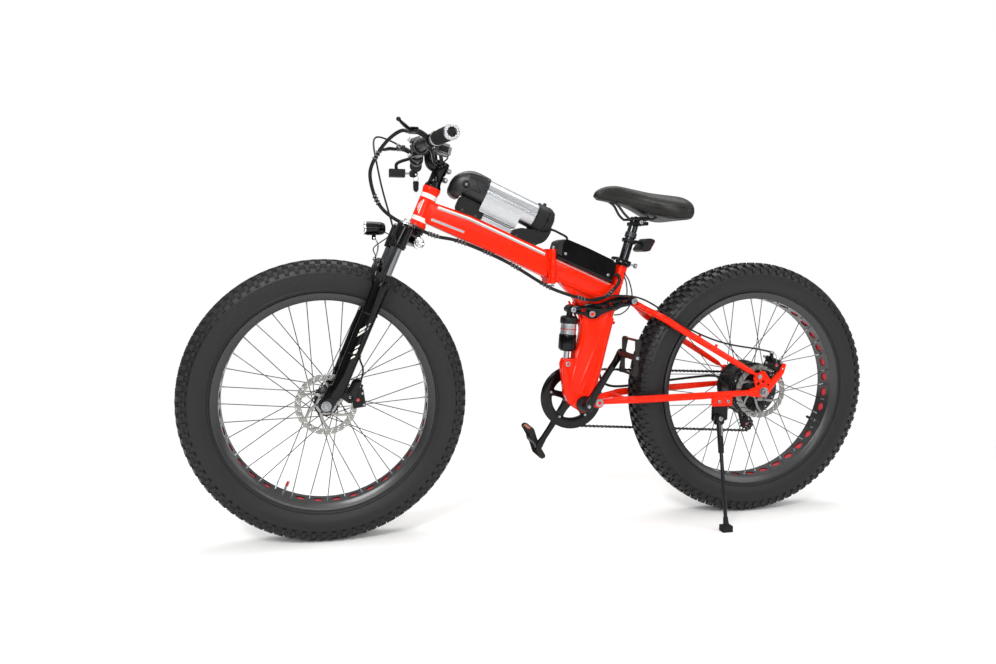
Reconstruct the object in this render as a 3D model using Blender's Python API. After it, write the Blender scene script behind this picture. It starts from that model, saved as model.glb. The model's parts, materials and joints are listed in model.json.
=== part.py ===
# A folding, fully suspended fat-tyre bicycle with a bottle battery and a hub motor.
# Frame: +X to the rear, +Y to the rider's right (chain side), +Z up, origin on the ground
# midway between the axles. Lengths below are in millimetres; new_object turns them to metres.
import math

import bmesh
import bpy
from mathutils import Matrix, Vector

# Driving dimensions.
WHEELBASE = 1242.0
TYRE_R = 375.0
TYRE_HALF = 50.0
FLAT_HALF = 17.0
RIM_FLANGE_R = 288.0
RIM_BED_R = 269.0
RIM_HALF = 40.0
SPOKES = 36
# Sector between two spokes that holds the valve, counted from ahead of the axle upwards.
FRONT_VALVE, REAR_VALVE = 24, 33
HEAD_LEAN = math.radians(22.5)
FORK_OFFSET = 46.0
LEG_OFFSET = 34.0
LEG_Y = 78.0
STANCHION_R = 15.0
FORK_TRAVEL = 50.0
STEERER_R = 14.3
SEAT_LEAN = math.radians(16.1)
POST_R = 13.6
SEAT_TUBE_R = 16.4
BB_Z = 350.0
CHAINSTAY = 535.0
CRANK = 172.0
CRANK_REST = math.radians(59.0)
CHAINRING_TEETH = 42
COG_TEETH = 18
PITCH = 12.7
CHAIN_Y = 62.0
BAR_HALF = 330.0
BAR_R = 15.9
GRIP_BAR_R = 11.1
AXLE_R = 6.0
MOTOR_R = 72.0
ROTOR_R = 80.0
DROPOUT_Y = 88.0
GAP = 0.3

# The side view was measured with the axles 621 mm either side of the middle.
STRETCH = WHEELBASE / 2 - 621.0
HALF = WHEELBASE / 2

RED = (0.85, 0.03, 0.01)
BLACK = (0.012, 0.012, 0.013)
GREY = (0.09, 0.09, 0.09)
SILVER = (0.62, 0.62, 0.62)
CHROME = (0.75, 0.75, 0.76)
RUBBER = (0.02, 0.02, 0.02)

for old in list(bpy.data.objects):
    bpy.data.objects.remove(old, do_unlink=True)

scene = bpy.context.scene
materials = {}


def material(name, colour, roughness, metallic):
    made = bpy.data.materials.new(name)
    made.use_nodes = True
    shader = made.node_tree.nodes["Principled BSDF"]
    shader.inputs["Base Color"].default_value = (*colour, 1.0)
    shader.inputs["Roughness"].default_value = roughness
    shader.inputs["Metallic"].default_value = metallic
    return made


def rear(x, z):
    return (x + STRETCH, z)


def front(x, z):
    return (x - STRETCH, z)


def rears(points):
    return [rear(*p) for p in points]


def new_object(name, points, faces):
    """A mesh object from points in millimetres, with its faces turned outwards."""
    mesh = bpy.data.meshes.new(name)
    mesh.from_pydata([tuple(c * 0.001 for c in p) for p in points], [], faces)
    work = bmesh.new()
    work.from_mesh(mesh)
    bmesh.ops.recalc_face_normals(work, faces=work.faces)
    work.to_mesh(mesh)
    work.free()
    made = bpy.data.objects.new(name, mesh)
    scene.collection.objects.link(made)
    return made


def boolean(target, tool, kind):
    step = target.modifiers.new(kind, "BOOLEAN")
    step.operation = kind
    step.solver = "EXACT"
    step.object = tool
    graph = bpy.context.evaluated_depsgraph_get()
    mesh = bpy.data.meshes.new_from_object(target.evaluated_get(graph))
    target.modifiers.clear()
    spent = target.data
    target.data = mesh
    bpy.data.meshes.remove(spent)
    spent = tool.data
    bpy.data.objects.remove(tool, do_unlink=True)
    bpy.data.meshes.remove(spent)
    return target


def fuse(target, *others):
    for other in others:
        boolean(target, other, "UNION")
    return target


def carve(target, *cutters):
    for cutter in cutters:
        boolean(target, cutter, "DIFFERENCE")
    return target


def gather(name, pieces):
    """One object holding pieces that don't meet, for use as a single tool."""
    points, faces = [], []
    for piece in pieces:
        start = len(points)
        points += [tuple(v.co * 1000.0) for v in piece.data.vertices]
        faces += [[start + i for i in f.vertices] for f in piece.data.polygons]
        bpy.data.objects.remove(piece, do_unlink=True)
    return new_object(name, points, faces)


def moved(obj, matrix):
    """Moves the mesh itself, by a matrix whose lengths are in millimetres."""
    shift = matrix.copy()
    shift.translation = matrix.translation * 0.001
    obj.data.transform(shift)
    return obj


def prism(points, low, high, name="piece"):
    """A side-view outline (x, z) drawn out along Y."""
    count = len(points)
    verts = [(x, low, z) for x, z in points] + [(x, high, z) for x, z in points]
    faces = [list(range(count)), list(range(count, 2 * count))]
    for i in range(count):
        j = (i + 1) % count
        faces.append([i, j, j + count, i + count])
    return new_object(name, verts, faces)


def plate(points, low, high, edge, name="piece"):
    """A prism whose two outlines are bevelled."""
    made = prism(points, low, high, name)
    work = bmesh.new()
    work.from_mesh(made.data)
    chosen = [e for e in work.edges if abs(e.verts[0].co.y - e.verts[1].co.y) < 1e-7]
    bmesh.ops.bevel(work, geom=chosen, offset=edge * 0.001, segments=1, affect="EDGES")
    work.to_mesh(made.data)
    work.free()
    return made


def frame_for(axis, side=None):
    axis = Vector(axis).normalized()
    guess = Vector(side) if side else (Vector((0, 0, 1)) if abs(axis.z) < 0.9 else Vector((1, 0, 0)))
    one = (guess - axis * guess.dot(axis)).normalized()
    return one, axis.cross(one), axis


def lathe(profile, centre, axis, count, name="piece", phase=0.0, side=None):
    """Turns (along, radius) pairs about an axis. A profile that starts and ends on the
    axis closes there; any other profile is taken as a closed loop."""
    one, two, along = frame_for(axis, side)
    centre = Vector(centre)
    verts, rings = [], []
    for a, r in profile:
        if r < 1e-6:
            rings.append([len(verts)])
            verts.append(centre + along * a)
            continue
        ring = []
        for k in range(count):
            t = phase + 2 * math.pi * k / count
            ring.append(len(verts))
            verts.append(centre + along * a + (one * math.cos(t) + two * math.sin(t)) * r)
        rings.append(ring)
    pairs = list(zip(rings, rings[1:]))
    if len(rings[0]) > 1 or len(rings[-1]) > 1:
        pairs.append((rings[-1], rings[0]))
    faces = []
    for low, high in pairs:
        for k in range(count):
            m = (k + 1) % count
            if len(low) == 1 and len(high) == 1:
                continue
            if len(low) == 1:
                faces.append([low[0], high[k], high[m]])
            elif len(high) == 1:
                faces.append([low[k], high[0], low[m]])
            else:
                faces.append([low[k], low[m], high[m], high[k]])
    return new_object(name, verts, faces)


def loft(sections, name="piece"):
    """Skins rings of equal count and caps both ends."""
    count = len(sections[0])
    verts = [p for ring in sections for p in ring]
    faces = [list(range(count)), list(range(len(verts) - count, len(verts)))]
    for s in range(len(sections) - 1):
        for k in range(count):
            m = (k + 1) % count
            a, b = s * count, (s + 1) * count
            faces.append([a + k, a + m, b + m, b + k])
    return new_object(name, verts, faces)


def rod(start, end, radius, count=12, name="piece", tip=None, phase=0.0, side=None):
    start, end = Vector(start), Vector(end)
    one, two, _ = frame_for(end - start, side)
    rings = []
    for centre, r in ((start, radius), (end, tip if tip is not None else radius)):
        turns = [phase + 2 * math.pi * k / count for k in range(count)]
        rings.append([centre + (one * math.cos(t) + two * math.sin(t)) * r for t in turns])
    return loft(rings, name)


def bore(start, end, radius, count=10, **more):
    """A rod for cutting a hole whose flats, not corners, lie on the radius."""
    return rod(start, end, radius / math.cos(math.pi / count), count, **more)


def smooth_path(points, steps):
    """A Catmull-Rom curve through the points."""
    pts = [Vector(p) for p in points]
    pts = [2 * pts[0] - pts[1]] + pts + [2 * pts[-1] - pts[-2]]
    out = []
    for i in range(1, len(pts) - 2):
        a, b, c, d = pts[i - 1 : i + 3]
        for k in range(steps):
            t = k / steps
            out.append(
                0.5 * (2 * b + (c - a) * t + (2 * a - 5 * b + 4 * c - d) * t * t
                       + (3 * b - a - 3 * c + d) * t ** 3)
            )
    out.append(pts[-2])
    return out


def tube(path, radius, count=10, name="piece", radii=None, flat=1.0):
    """A round bar along a path. flat squashes it across the path's side direction."""
    path = [Vector(p) for p in path]
    way = [(path[min(i + 1, len(path) - 1)] - path[max(i - 1, 0)]).normalized()
           for i in range(len(path))]
    one, two, _ = frame_for(way[0])
    rings = []
    for i, (centre, t) in enumerate(zip(path, way)):
        one = (one - t * one.dot(t)).normalized()
        two = t.cross(one)
        r = radii[i] if radii else radius
        ring = []
        for k in range(count):
            a = 2 * math.pi * k / count
            ring.append(centre + one * (math.cos(a) * r) + two * (math.sin(a) * r * flat))
        rings.append(ring)
    return loft(rings, name)


def block(centre, size, name="piece", turn=0.0, edge=0.0, matrix=None):
    """A box, turned about Y through its centre (positive lifts its +X end)."""
    x, y, z = (s / 2 for s in size)
    verts = [(i, j, k) for i in (-x, x) for j in (-y, y) for k in (-z, z)]
    faces = [[0, 1, 3, 2], [4, 6, 7, 5], [0, 4, 5, 1], [2, 3, 7, 6], [0, 2, 6, 4], [1, 5, 7, 3]]
    made = new_object(name, verts, faces)
    if edge:
        work = bmesh.new()
        work.from_mesh(made.data)
        bmesh.ops.bevel(work, geom=list(work.edges), offset=edge * 0.001, segments=1, affect="EDGES")
        work.to_mesh(made.data)
        work.free()
    spin = matrix if matrix else Matrix.Rotation(-turn, 4, "Y")
    return moved(made, Matrix.Translation(Vector(centre)) @ spin)


def arc(centre, radius, start, end, steps):
    """Points (x, z) round a circle, angles in degrees from +X towards +Z."""
    out = []
    for k in range(steps + 1):
        a = math.radians(start + (end - start) * k / steps)
        out.append((centre[0] + radius * math.cos(a), centre[1] + radius * math.sin(a)))
    return out


def rounded(points, radius, steps=2):
    """Rounds the corners of an outline."""
    out = []
    count = len(points)
    for i in range(count):
        before, here, after = (Vector(points[(i + d) % count]) for d in (-1, 0, 1))
        one, two = before - here, after - here
        reach = min(radius, one.length * 0.45, two.length * 0.45)
        start, end = here + one.normalized() * reach, here + two.normalized() * reach
        for k in range(steps + 1):
            t = k / steps
            out.append(tuple(start * (1 - t) ** 2 + here * (2 * t * (1 - t)) + end * t * t))
    return out


bodies = {}


def body(name, pos, parent=None):
    """An empty on a joint's axis that carries the pieces moved by that joint."""
    made = bpy.data.objects.new("axis_" + name, None)
    made.empty_display_size = 0.02
    scene.collection.objects.link(made)
    made["world"] = [c * 0.001 for c in pos]
    place = Vector(pos) * 0.001
    if parent:
        made.parent = bodies[parent]
        place = place - Vector(bodies[parent]["world"])
    made.location = place
    bodies[name] = made


def tidy(obj):
    """Joins the flat faces that cuts have split, which leaves the shape as it is."""
    work = bmesh.new()
    work.from_mesh(obj.data)
    bmesh.ops.dissolve_limit(work, angle_limit=math.radians(0.7), verts=work.verts, edges=work.edges)
    work.to_mesh(obj.data)
    work.free()


def finish(obj, name, owner, look, smooth=True):
    """Names a piece, gives it its material and hangs it from its body's axis."""
    tidy(obj)
    obj.name = name
    obj.data.name = name
    obj.data.materials.clear()
    obj.data.materials.append(material("mat_" + name, *look))
    home = bodies[owner]
    obj.data.transform(Matrix.Translation(-Vector(home["world"])))
    obj.parent = home
    if smooth:
        obj.data.shade_smooth()
        obj.data.set_sharp_from_angle(angle=math.radians(32))
    return obj


# Steering geometry: a point on the axis level with the axle, the way up and the way forward.
FRONT_AXLE = (-HALF, TYRE_R)
REAR_AXLE = (HALF, TYRE_R)
UP = (math.sin(HEAD_LEAN), math.cos(HEAD_LEAN))
AHEAD = (-math.cos(HEAD_LEAN), math.sin(HEAD_LEAN))
STEER_BASE = (FRONT_AXLE[0] - FORK_OFFSET * AHEAD[0], FRONT_AXLE[1] - FORK_OFFSET * AHEAD[1])


def steer(t, ahead=0.0, y=0.0):
    """A point t up the steering axis and so far ahead of it."""
    return (STEER_BASE[0] + t * UP[0] + ahead * AHEAD[0], y,
            STEER_BASE[1] + t * UP[1] + ahead * AHEAD[1])


STEER_UP = (UP[0], 0.0, UP[1])
BB = (HALF - CHAINSTAY, BB_Z)
SEAT_UP = (math.sin(SEAT_LEAN), 0.0, math.cos(SEAT_LEAN))
SEAT_TOP = rear(213.5, 750.5)
CLAMP_T = -5.0
SKEWER_Y = -23.0
CAM_AHEAD = 25.0
CAM_R = 5.6


def seat(t, ahead=0.0, y=0.0):
    """A point t up the seat tube from its top, and so far forward of its centre."""
    return (SEAT_TOP[0] + t * SEAT_UP[0] - ahead * SEAT_UP[2], y,
            SEAT_TOP[1] + t * SEAT_UP[2] + ahead * SEAT_UP[0])


HINGE_X = rear(-8.0, 0.0)[0]
HINGE_Y = -37.0
SWING = rear(133.0, 351.0)
STAY_END = (REAR_AXLE[0] - 19.0, REAR_AXLE[1] + 46.0)
ROCKER = rear(111.0, 602.0)
ROCKER_REAR = rear(237.0, 637.0)
ROCKER_FRONT = rear(56.0, 614.0)
SHOCK_FOOT = rear(46.0, 460.0)
# Top line of the rear beam, on which the controller box lies.
DECK = (rear(2.0, 759.4), rear(171.0, 688.2))
STAND = (REAR_AXLE[0] - 147.0, REAR_AXLE[1] - 72.0)
GUIDE = (REAR_AXLE[0] + 17.0, REAR_AXLE[1] - 68.0)
TENSION_BACK = 40.0
BAR = (steer(705.0)[0] - 61.0, steer(705.0)[2] + 38.0)

SWEEP = 30.0


def bar_at(y):
    """The bar's centre, swept back and slightly down towards its ends."""
    share = max(0.0, (abs(y) - 60.0) / (BAR_HALF - 60.0))
    return (BAR[0] + SWEEP * share, y, BAR[1] - 10.0 * share)


body("rear_frame", (0, 0, 0))
body("front_frame", (HINGE_X, HINGE_Y, 735.0), "rear_frame")
body("fold_latch", (HINGE_X - 14.0, 36.0, 735.0), "front_frame")
body("battery", (front(-193.0, 0)[0], 0.0, 934.0), "front_frame")
body("steering", steer(516.0), "front_frame")
body("lever_left", (BAR[0] - 34.0, -158.0, BAR[1] + 18.0), "steering")
body("lever_right", (BAR[0] - 34.0, 158.0, BAR[1] + 18.0), "steering")
body("throttle", bar_at(262.0), "steering")
body("key", (BAR[0] - 26.0, 128.0, BAR[1] - 55.0), "steering")
body("gear_trigger", (BAR[0] + 30.0, -167.0, BAR[1] - 33.0), "steering")
body("fork_lowers", steer(0.0, LEG_OFFSET), "steering")
body("headlight", steer(447, 92), "fork_lowers")
body("front_wheel", (FRONT_AXLE[0], 0.0, FRONT_AXLE[1]), "fork_lowers")
body("swingarm", (SWING[0], 0.0, SWING[1]), "rear_frame")
body("rear_wheel", (REAR_AXLE[0], 0.0, REAR_AXLE[1]), "swingarm")
body("freewheel", (REAR_AXLE[0], CHAIN_Y, REAR_AXLE[1]), "swingarm")
body("derailleur", (REAR_AXLE[0] + 12.0, DROPOUT_Y + 5.0, REAR_AXLE[1] - 30.0), "swingarm")
body("kickstand", (STAND[0], -106.0, STAND[1]), "swingarm")
body("seat_stays", (STAY_END[0], 0.0, STAY_END[1]), "swingarm")
body("rocker", (ROCKER[0], 0.0, ROCKER[1]), "rear_frame")
body("shock", (ROCKER_FRONT[0], 0.0, ROCKER_FRONT[1]), "rear_frame")
body("crank", (BB[0], 0.0, BB[1]), "rear_frame")
CRANK_TIP = (BB[0] + CRANK * math.cos(CRANK_REST), BB[1] + CRANK * math.sin(CRANK_REST))
CRANK_LOW = (2 * BB[0] - CRANK_TIP[0], 2 * BB[1] - CRANK_TIP[1])
body("pedal_left", (CRANK_TIP[0], -150.0, CRANK_TIP[1]), "crank")
body("pedal_right", (CRANK_LOW[0], 150.0, CRANK_LOW[1]), "crank")
body("seatpost", seat(0.0), "rear_frame")
body("seat_lever", seat(CLAMP_T, CAM_AHEAD, SKEWER_Y), "rear_frame")

# Rear half of the main frame: pressed beam, mast, seat tube, bottom bracket and lugs.
MAST_HALF = 19.0
beam_panel = rears([(2, 691), (20, 690), (114, 650), (172, 628), (188, 681)]) + [DECK[1], DECK[0]]
rear_frame = plate(beam_panel, -24, 24, 3.0)
mast = rears(
    [(20, 690), (64, 647), (80, 618), (87, 590), (87, 548), (82, 517), (52, 481), (36, 473), (31, 458),
     (37, 411), (42, 372), (56, 345), (80, 326), (112, 330), (137, 453), (158, 536), (184, 640), (120, 655)]
)
fuse(rear_frame, plate(mast, -MAST_HALF, MAST_HALF, 3.5))
fuse(rear_frame, rod(seat(-178), seat(0), SEAT_TUBE_R, 10))
spine = smooth_path([(x, 0, z) for x, z in rears(
    [(168, 592), (152, 526), (130, 435), (104, 356)])], 1)
fuse(rear_frame, tube(spine, 20.5, 8, flat=1.06))
fuse(rear_frame, rod((BB[0], -50, BB[1]), (BB[0], 50, BB[1]), 24, 12))
fuse(rear_frame, rod((SWING[0], -30, SWING[1]), (SWING[0], 30, SWING[1]), 16, 8))
fuse(rear_frame, prism([(BB[0], BB[1] - 20), (SWING[0], SWING[1] - 13), (SWING[0], SWING[1] + 13),
                        (BB[0], BB[1] + 20)], -29, 29))
fuse(rear_frame, rod((ROCKER[0], -26, ROCKER[1]), (ROCKER[0], 26, ROCKER[1]), 13, 9))
fuse(rear_frame, rod((HINGE_X + 187, 0, 579), (HINGE_X + 199, 0, 573), 4.5, 6))
# Fold plate, its hinge knuckle on the left and the catch lug for the latch on the right.
HINGE_LOW, HINGE_HIGH = 687.0, 783.0
fuse(rear_frame, block((HINGE_X + 5.8, 0, 735), (11, 60, HINGE_HIGH - HINGE_LOW)))
fuse(rear_frame, rod((HINGE_X, HINGE_Y, 716), (HINGE_X, HINGE_Y, 754), 6.5, 8))
fuse(rear_frame, block((HINGE_X + 5.8, -31.5, 735), (10.4, 9, 37.4)))
fuse(rear_frame, rod((HINGE_X, HINGE_Y, 692.3), (HINGE_X, HINGE_Y, 777.7), 3.0, 6))
fuse(rear_frame, block((HINGE_X + 9, 35, 735), (8, 14, 26)))
# Post bore with its slot, bottom bracket bore, slot for the foot of the shock.
carve(rear_frame, bore(seat(-150), seat(10), POST_R + GAP, 10))
carve(rear_frame, block(seat(-14, 0, -15), (2.4, 12, 42), matrix=Matrix.Rotation(SEAT_LEAN, 4, "Y")))
carve(rear_frame, bore((BB[0], -60, BB[1]), (BB[0], 60, BB[1]), 9.0, 9))
slot = arc(SHOCK_FOOT, 16.0, -60, 0, 3) + [(SHOCK_FOOT[0] + 18, SHOCK_FOOT[1] + 60),
                                         (SHOCK_FOOT[0] - 60, SHOCK_FOOT[1] + 60),
                                         (SHOCK_FOOT[0] - 60, SHOCK_FOOT[1] - 14)]
carve(rear_frame, prism(slot, -10, 10))
CAN_R = 25.0
SHOCK_BASE = Vector((SHOCK_FOOT[0], 0, SHOCK_FOOT[1]))
shock_way = Vector((ROCKER_FRONT[0] - SHOCK_FOOT[0], 0, ROCKER_FRONT[1] - SHOCK_FOOT[1]))
shock_long = shock_way.length
shock_way = shock_way.normalized()
carve(rear_frame, bore(SHOCK_BASE + shock_way * 15, SHOCK_BASE + shock_way * 135, CAN_R + 2.5, 12))
fuse(rear_frame, rod((SHOCK_FOOT[0], -12, SHOCK_FOOT[1]), (SHOCK_FOOT[0], 12, SHOCK_FOOT[1]), 4.0, 8))
for side in (-1, 1):
    fuse(rear_frame, rod((SHOCK_FOOT[0], side * 17, SHOCK_FOOT[1]),
                         (SHOCK_FOOT[0], side * 22.5, SHOCK_FOOT[1]), 7.0, 6))
    # Pivot bolts of the rocker and the swing arm, with their heads outside the moving plates.
    fuse(rear_frame, rod((ROCKER[0], side * 25, ROCKER[1]), (ROCKER[0], side * 33, ROCKER[1]), 5.0, 6))
    fuse(rear_frame, rod((ROCKER[0], side * 31.9, ROCKER[1]), (ROCKER[0], side * 36, ROCKER[1]), 9.0, 6))
    fuse(rear_frame, rod((SWING[0], side * 29, SWING[1]), (SWING[0], side * 46, SWING[1]), 6.0, 6))
    fuse(rear_frame, rod((SWING[0], side * 45.0, SWING[1]), (SWING[0], side * 49, SWING[1]), 11.0, 6))
finish(rear_frame, "rear_frame", "rear_frame", (RED, 0.25, 0.0))

# Controller box on the rear beam.
lid = rears([(3.8, 784), (10, 804), (35, 811), (97, 787), (174, 753), (183, 740), (166, 680), (3.8, 745)])
controller = plate(rounded(lid, 7, 2), -33, 33, 4.0)
carve(controller, bore(seat(-60, 0), seat(30, 0), SEAT_TUBE_R + 1.0, 9))
fall = (DECK[1][1] - DECK[0][1]) / (DECK[1][0] - DECK[0][0])
under = [(DECK[0][0] + dx, DECK[0][1] + fall * dx + 1.1 * GAP) for dx in (-60, 230)]
carve(controller, prism(under + [(under[1][0], 600), (under[0][0], 600)], -60, 60))
finish(controller, "controller_box", "rear_frame", (BLACK, 0.35, 0.0))

# Seat clamp ring with its skewer on the left, running fore and aft.
ring = lathe([(-9, SEAT_TUBE_R + 3 * GAP), (-9, 20.5), (9, 20.5), (9, SEAT_TUBE_R + 3 * GAP)], seat(CLAMP_T), SEAT_UP, 12)
SEAT_TURN = Matrix.Rotation(SEAT_LEAN, 4, "Y")
fuse(ring, block(seat(CLAMP_T, 0, SKEWER_Y), (30, 12, 14), matrix=SEAT_TURN))
fuse(ring, rod(seat(CLAMP_T, -34, SKEWER_Y), seat(CLAMP_T, CAM_AHEAD - CAM_R - 1.5 * GAP, SKEWER_Y), 2.6, 6))
fuse(ring, rod(seat(CLAMP_T, -34, SKEWER_Y), seat(CLAMP_T, -27, SKEWER_Y), 7.0, 6))
fuse(ring, rod(seat(CLAMP_T, -24, SKEWER_Y), seat(CLAMP_T, -18, SKEWER_Y), 6.0, 6))
carve(ring, block(seat(CLAMP_T, 0, -20), (2.4, 30, 30), matrix=SEAT_TURN))
fuse(ring, rod(seat(CLAMP_T, -6, SKEWER_Y), seat(CLAMP_T, 6, SKEWER_Y), 2.6, 6))
finish(ring, "seat_clamp", "rear_frame", (SILVER, 0.3, 1.0))

# Quick lever: a cam at the front of the skewer and a blade that wraps to the right.
cam = rod(seat(CLAMP_T - 6, CAM_AHEAD, SKEWER_Y), seat(CLAMP_T + 7, CAM_AHEAD, SKEWER_Y), CAM_R, 8)
blade = smooth_path([seat(CLAMP_T + 4, CAM_AHEAD + y0, y) for y0, y in ((2, -22), (5, -8), (5, 8), (0, 24), (-12, 33))], 3)
fuse(cam, tube(blade, 3.4, 6))
finish(cam, "seat_lever", "seat_lever", (BLACK, 0.4, 0.0))

# Front half of the frame: head tube, tapered beam, fold plate with two knuckles.
HEAD_LOW, HEAD_HIGH = 517.0, 632.0


def beam_ring(x, z, lean, high, wide, corner):
    """A rounded rectangle standing across the beam."""
    out = []
    for sy, sz in ((1, 1), (-1, 1), (-1, -1), (1, -1)):
        quarter = [(0.0, 1.0), (1.0, 0.0)]
        if sy != sz:
            quarter = quarter[::-1]
        for a, b in quarter:
            y = sy * (wide / 2 - corner * a)
            up = sz * (high / 2 - corner * b)
            out.append((x + up * math.sin(lean), y, z + up * math.cos(lean)))
    return out


BEAM_LEAN = math.radians(23.0)
head_mid = steer((HEAD_LOW + HEAD_HIGH) / 2)
beam_stations = [
    (head_mid[0] + 6, head_mid[2] - 10, BEAM_LEAN, 58, 38),
    (*front(-250.0, 840.0), BEAM_LEAN, 68, 44),
    (HINGE_X - 110, 784.5, BEAM_LEAN, 66, 48),
    (HINGE_X - 9, 739.5, math.radians(8.0), 70, 50),
]
beam = loft([beam_ring(*station, 6) for station in beam_stations])


def beam_edge(index, sign, lift):
    """A point on the beam's top (sign 1) or underside (sign -1) at one station, lifted off it."""
    x, z, lean, high, _ = beam_stations[index]
    reach = sign * (high / 2 + lift)
    return (x + reach * math.sin(lean), z + reach * math.cos(lean))


front_frame = fuse(beam, rod(steer(HEAD_LOW), steer(HEAD_HIGH), 22.0, 12))
fuse(front_frame, rod(steer(HEAD_LOW), steer(HEAD_LOW + 12), 24.0, 12))
fuse(front_frame, rod(steer(HEAD_HIGH - 12), steer(HEAD_HIGH), 24.0, 12))
carve(front_frame, bore(steer(HEAD_LOW - 5), steer(HEAD_HIGH + 5), STEERER_R + 2.0, 10))
fuse(front_frame, block((HINGE_X - 5.8, 0, 735), (11, 60, HINGE_HIGH - HINGE_LOW)))
for low, high in ((688.0, 715.7), (754.3, 782.0)):
    fuse(front_frame, rod((HINGE_X, HINGE_Y, low), (HINGE_X, HINGE_Y, high), 6.5, 8))
    fuse(front_frame, block((HINGE_X - 5.8, -31.5, (low + high) / 2), (10.4, 9, high - low - 0.6)))
carve(front_frame, bore((HINGE_X, HINGE_Y, 692), (HINGE_X, HINGE_Y, 778), 3.4, 6))
for z in (722.0, 748.0):
    fuse(front_frame, block((HINGE_X - 14, 34, z), (12, 12, 5)))
fuse(front_frame, rod((HINGE_X - 14, 36, 722), (HINGE_X - 14, 36, 748), 2.4, 6))
finish(front_frame, "front_frame", "front_frame", (RED, 0.25, 0.0))

# Latch lever on the right of the fold: it lies rearwards over the lug and swings out.
latch = rod((HINGE_X - 14, 36, 725.3), (HINGE_X - 14, 36, 744.7), 6.2, 8)
grip = smooth_path([(HINGE_X - 14, 38, 735), (HINGE_X - 4, 46.5, 735), (HINGE_X + 14, 48.5, 735), (HINGE_X + 40, 46, 735),
                    (HINGE_X + 84, 46, 735)], 2)
fuse(latch, tube(grip, 3.4, 6, flat=1.9))
fuse(latch, block((HINGE_X + 9, 44.4, 735), (9, 4.2, 12)))
carve(latch, bore((HINGE_X - 14, 36, 718), (HINGE_X - 14, 36, 752), 2.8, 6))
finish(latch, "fold_latch", "fold_latch", (SILVER, 0.35, 1.0))

# Battery dock on the front beam: front foot, rail, rear foot and the cup behind the battery.
AXIS_LEAN = math.radians(-23.9)
BATTERY_WAY = (math.cos(AXIS_LEAN), 0.0, math.sin(AXIS_LEAN))
BATTERY_R = 35.5
CASE_LONG = 176.0


def cell(along, up=0.0, y=0.0):
    """A point along the battery's axis, measured from the back of its front cap."""
    x, z = front(-193.0, 934.0)
    return (x + along * BATTERY_WAY[0] - up * BATTERY_WAY[2], y,
            z + along * BATTERY_WAY[2] + up * BATTERY_WAY[0])


def outline(points):
    return [(cell(a, u)[0], cell(a, u)[2]) for a, u in points]


CAP_FLOOR = -36.0
DOCK_DROP = -79.0
dock = plate(rounded(outline([(-58, CAP_FLOOR - GAP), (-8, CAP_FLOOR - GAP), (12, -48), (17, DOCK_DROP + 2), (12, DOCK_DROP - 4),
                              (-52, DOCK_DROP - 4), (-58, DOCK_DROP + 10)]), 4, 1), -19, 19, 1.4)
fuse(dock, prism(outline([(-2, DOCK_DROP + 15), (120, DOCK_DROP + 15), (120, DOCK_DROP - 5), (-2, DOCK_DROP - 5)]), -9, 9))
fuse(dock, plate(rounded(outline([(112, -62), (130, -43), (176, -30), (206, -12), (211, -22), (208, -45), (202, -57), (190, -66),
                                  (180, DOCK_DROP - 4), (114, DOCK_DROP - 4)]), 4, 1), -22, 22, 1.4))
cup = lathe([(CASE_LONG - 22, 0.0), (CASE_LONG - 22, 39.5), (CASE_LONG + 14, 39.5),
             (CASE_LONG + 26, 31), (CASE_LONG + 31, 18), (CASE_LONG + 31, 0.0)], cell(0), BATTERY_WAY, 14)
fuse(dock, cup)
fuse(dock, rod(cell(CASE_LONG - 10, 38), cell(CASE_LONG - 10, 46), 5.5, 6))
rest_front, rest_mid, rest_back = (beam_edge(i, 1, GAP) for i in (1, 2, 3))
ahead_end = (rest_front[0] - 90, rest_front[1] + 90 * (rest_front[1] - rest_mid[1]) / (rest_mid[0] - rest_front[0]))
carve(dock, prism([ahead_end, rest_front, rest_mid, rest_back, (rest_back[0], 600), (ahead_end[0], 600)], -60, 60))
carve(dock, bore(cell(-100), cell(CASE_LONG + GAP), BATTERY_R + 1.0, 14))
finish(dock, "battery_dock", "front_frame", (BLACK, 0.5, 0.0))

# Battery: extruded case and a faceted cap at the front.
case = lathe([(0.15, 0.0), (0.15, BATTERY_R), (CASE_LONG, BATTERY_R), (CASE_LONG, 0.0)], cell(0), BATTERY_WAY, 16)
finish(case, "battery_case", "battery", (SILVER, 0.35, 1.0))


def cap_ring(along, up, high, wide, chamfer):
    out = []
    for u, y in ((1, 1 - chamfer), (1 - chamfer, 1), (chamfer - 1, 1), (-1, 1 - chamfer),
                 (-1, chamfer - 1), (chamfer - 1, -1), (1 - chamfer, -1), (1, chamfer - 1)):
        out.append(cell(along, up + u * high / 2, y * wide / 2))
    return out


cap = loft([
    cap_ring(-0.15, 0, 73, 74, 0.42),
    cap_ring(-34, 1, 76, 78, 0.40),
    cap_ring(-62, -7, 62, 72, 0.42),
    cap_ring(-88, -21, 34, 52, 0.45),
    cap_ring(-96, -27, 18, 34, 0.5),
])
carve(cap, block(cell(-47, CAP_FLOOR - 19), (120, 100, 38), matrix=Matrix.Rotation(-AXIS_LEAN, 4, "Y")))
fuse(cap, rod(cell(-60, -8, -34), cell(-60, -8, -38.5), 9.0, 9))
finish(cap, "battery_cap", "battery", (BLACK, 0.45, 0.0), smooth=False)

# Fork: steerer, crown and stanchions.
CROWN_LOW, CROWN_HIGH = 466.0, 505.0
SOCKET_LOW = 443.0
STEERER_TOP = 698.0
fork = rod(steer(CROWN_LOW + 4), steer(STEERER_TOP), STEERER_R, 9)


def crown_ring(y, ahead_front, ahead_back, low, high):
    return [steer(low, ahead_front - 4, y), steer(low + 7, ahead_front, y), steer(high - 8, ahead_front, y),
            steer(high, ahead_front - 8, y), steer(high, ahead_back + 8, y), steer(high - 8, ahead_back, y),
            steer(low + 7, ahead_back, y), steer(low, ahead_back + 4, y)]


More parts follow.
